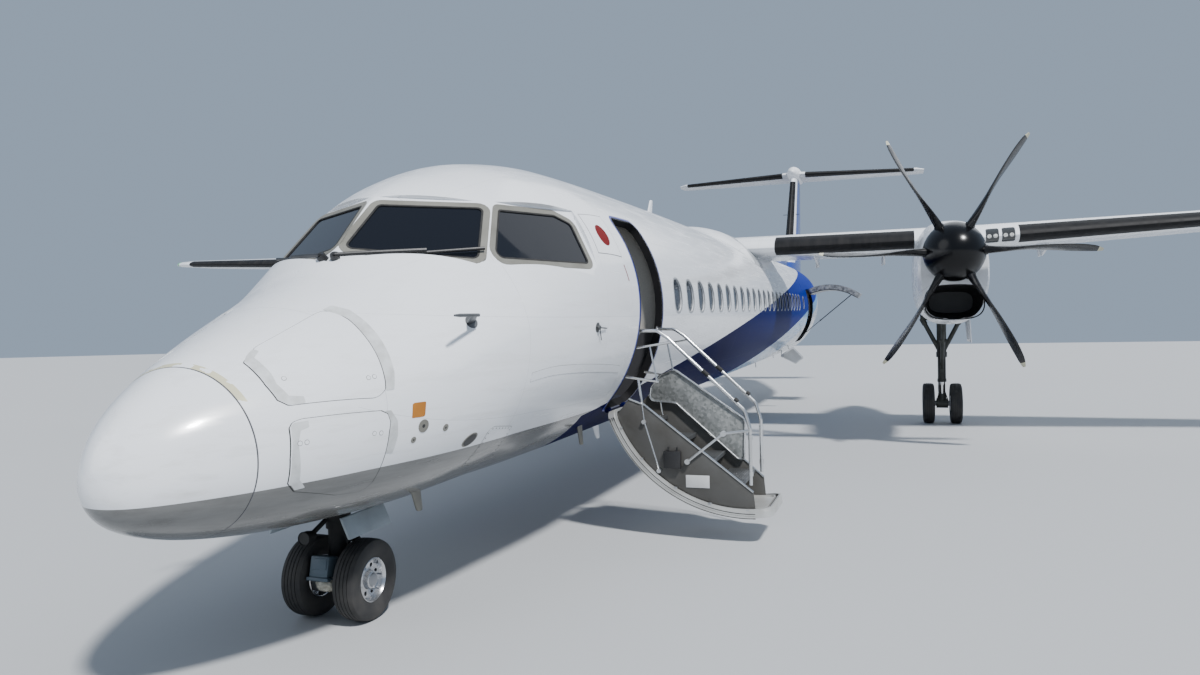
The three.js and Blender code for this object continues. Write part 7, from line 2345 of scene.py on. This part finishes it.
g = Graph("seat_cloth", roughness=0.85)
spot = g.place()
weave = g.noise(spot, 420.0, 2.0)
g.set("Base Color", g.blend(g.noise(spot, 9.0, 4.0), 0.35, 0.7, (0.045, 0.055, 0.085),
                            (0.075, 0.085, 0.115)))
g.set("Normal", g.bump(weave, 0.0012))
seat_cloth = g.material
for word, sign in SIDES:
    bm = bmesh.new()
    cushion(bm, (0.270, 3.190, -0.330), (0.710, 3.640, -0.190))
    cushion(bm, (0.275, 3.590, -0.230), (0.705, 3.700, 0.240), math.radians(-9), (0, 3.640, -0.220))
    cushion(bm, (0.380, 3.620, 0.250), (0.600, 3.700, 0.400), math.radians(-9), (0, 3.640, -0.220))
    for x in (0.262, 0.668):
        cushion(bm, (x, 3.300, -0.100), (x + 0.050, 3.620, -0.040))
    link(f"seat_cushions_{word}", bm, seat_cloth,
                   nodes=[f"pilot_seat_{word}"], slot="interior", side=sign)
    bm = bmesh.new()
    block(bm, (0.330, 3.230, -0.699), (0.650, 3.600, -0.560), 0.012)
    for x in (0.360, 0.585):
        block(bm, (x, 3.260, -0.565), (x + 0.035, 3.580, -0.325), 0.006)
    link(f"seat_base_{word}", bm, dark_metal, slot="dark_metal", side=sign)
panel_wide = 0.800
bm = bmesh.new()
prism(bm, [(2.500, -0.699), (2.740, -0.699), (2.690, -0.250), (2.560, 0.120), (2.440, 0.060)], -panel_wide,
      panel_wide, bevel=0.006)
prism(bm, [(2.330, 0.222), (2.300, 0.180), (2.420, 0.090), (2.590, 0.130), (2.585, 0.190)],
      -panel_wide - 0.02, panel_wide + 0.02, bevel=0.010)
block(bm, (-0.160, 2.700, -0.699), (0.160, 3.160, -0.330), 0.015)
link("panel_shell", bm, deck_lining, nodes=["instrument_panel"], slot="interior")
screens, knobs = bmesh.new(), bmesh.new()
panel_out = Vector((0, 0.37, 0.13)).normalized()
for x in (-0.62, -0.37, -0.12, 0.12, 0.37, 0.62):
    for size, rise in ((0.105, 0.004), (0.092, 0.007)):
        middle = Vector((x, 2.630, -0.080))
        face = [middle + Vector((u * size, 0, 0)) + panel_out.cross(Vector((1, 0, 0))) * v * size
                for u, v in
                ((-1, -1), (1, -1), (1, 1), (-1, 1))]
        slab(knobs if size > 0.1 else screens, rounded(face, 0.012, 3), panel_out, -0.010, rise)
for row in range(3):
    for k in range(7):
        spot = Vector((-0.105 + 0.035 * k, 2.790 + 0.100 * row, -0.330))
        rod(knobs, spot, spot + Vector((0, 0, 0.018)), 0.008, 8)
for x in (-0.045, 0.0, 0.045):
    rod(knobs, (x, 3.080, -0.335), (x, 3.050, -0.215), 0.006, 8)
    block(knobs, (x - 0.014, 3.030, -0.225), (x + 0.014, 3.070, -0.195), 0.005)
link("panel_screens", screens, dark_glass("screen_glass", (0.008, 0.010, 0.014), 0.0), slot="window")
link("panel_knobs", knobs, black_paint, slot="black_composite")

# Antennas, beacons, wicks and service points
# Blade antennas on the roof and belly, low navigation domes, red beacons, drain masts, static
# wicks at the trailing edges, and the service panel left hanging open under the aft belly.
antennas = bmesh.new()
BLADES = [
    # station, 1 for the roof or -1 for the belly, height, chord, chord at the tip, lean aft
    (9.60, 1, 0.31, 0.300, 0.150, 0.16),
    (6.90, -1, 0.26, 0.260, 0.140, 0.12),
    (10.90, -1, 0.20, 0.220, 0.120, 0.10),
    (23.30, -1, 0.24, 0.240, 0.130, 0.12),
]
for station, side, height, chord, tip, lean in BLADES:
    foot = body_point(station, math.radians(90 * side))
    blade_mast(antennas, foot, UP * side, height, chord, tip, 0.030, lean)
    plate = [foot + Vector((u * 0.05, v * chord * 0.62, 0))
             for u, v in ((-1, -1), (1, -1), (1, 1), (-1, 1))]
    slab(antennas, rounded(plate, 0.04, 4), UP * side, -0.012, 0.005)
for station, radius in ((7.60, 0.075), (8.30, 0.075), (11.20, 0.110)):
    foot = body_point(station, math.radians(90))
    for low, high, start, end in ((-0.010, 0.010, 1.0, 0.96), (0.010, 0.026, 0.96, 0.70),
                                  (0.026, 0.034, 0.70, 0.30)):
        rod(antennas, foot + UP * low, foot + UP * high, radius * start, 28, radius * end)
link("roof_and_belly_antennas", antennas, bullet_white, slot="white_paint")

lamps, collars = bmesh.new(), bmesh.new()
for foot, way in ((body_point(12.10, math.radians(-90)), -1), (Vector((0, 32.15, 5.208)), 1)):
    rod(collars, foot - UP * way * 0.02, foot + UP * way * 0.012, 0.062, 28)
    for low, high, start, end in ((0.010, 0.045, 0.050, 0.048), (0.045, 0.070, 0.048, 0.032),
                                  (0.070, 0.080, 0.032, 0.010)):
        rod(lamps, foot + UP * way * low, foot + UP * way * high, start, 28, end)
g = Graph("beacon_red", roughness=0.12)
g.set("Base Color", g.blend(g.noise(g.place(), 60.0), 0.3, 0.7, (0.45, 0.006, 0.006), (0.32, 0.004, 0.004)))
g.set("Transmission Weight", 0.35)
link("beacon_lamps", lamps, g.material, slot="window")
link("beacon_collars", collars, dark_metal, slot="dark_metal")

drains = bmesh.new()
for station, degrees in ((8.20, -82), (17.10, -98), (18.30, -80)):
    foot = body_point(station, math.radians(degrees))
    blade_mast(drains, foot, -UP, 0.150, 0.095, 0.060, 0.022, 0.06)
link("drain_masts", drains, alloy, slot="alloy")


def wick(bm, start, rise=-0.004):
    """A thin discharge rod that trails from an edge."""
    hose(bm, [start, start + Vector((0, 0.045, 0)), start + Vector((0, 0.150, rise))], 0.0028, 6)


WICKS = [
    # distance out along the wing, 0 for the aileron or 1 for the wing tip
    (10.60, 0), (11.50, 0), (12.40, 0), (13.10, 0), (13.70, 1), (14.05, 1),
]
for word, sign in SIDES:
    for body, chosen in ((f"aileron_{word}", 0), ("airframe", 1)):
        bm = bmesh.new()
        for x, kind in WICKS:
            if kind == chosen:
                _, chord, _, faces = wing_faces(x)
                wick(bm, on_wing(x, (chord * 0.985, sum(faces(0.985)) / 2)))
        link(f"wicks_{'aileron' if chosen == 0 else 'wing_tip'}_{word}", bm, black_paint,
             body=body, slot="black_composite", side=sign)
    bm = bmesh.new()
    for x in (1.60, 2.70, 3.60, 4.20):
        wick(bm, on_tail(x, (tail_faces(x)[1] * 0.985, 0)))
    link(f"wicks_elevator_{word}", bm, black_paint, body=f"elevator_{word}", slot="black_composite",
         side=sign)
bm = bmesh.new()
for z in (2.2, 2.9, 3.6, 4.3):
    wick(bm, on_fin(z, (fin_faces(z)[1] * 0.985, 0)), 0.004)
link("wicks_rudder", bm, black_paint, body="rudder_tab", slot="black_composite")
bm = bmesh.new()
for side in (1, -1):
    foot = Vector((side * 0.150, 29.050, 3.430))
    hose(bm, [foot, foot + Vector((side * 0.050, -0.010, 0)), foot + Vector((side * 0.135, -0.010, 0))],
         0.0090, 8)
link("fin_rods", bm, black_paint, slot="black_composite")

panel = [Vector((x, 19.0, z))
         for x, z in ((0.731, -1.227), (1.082, -0.997), (1.348, -1.277), (1.138, -1.432))]
bm = bmesh.new()
slab(bm, rounded(panel, 0.04, 4), Vector((0, -1, 0)), -0.012, 0.012)
link("open_service_panel", bm, nose_paint)
bm = bmesh.new()
slab(bm, rounded(offset(panel, Vector((0, -1, 0)), -0.035), 0.03, 4), Vector((0, -1, 0)), -0.018, 0.018)
rod(bm, (0.780, 19.0, -1.190), (0.800, 19.0, -1.050), 0.010, 10)
rod(bm, (0.980, 19.0, -1.060), (0.940, 19.0, -0.950), 0.010, 10)
link("service_panel_ribs", bm, rim_paint, slot="grey_metal")
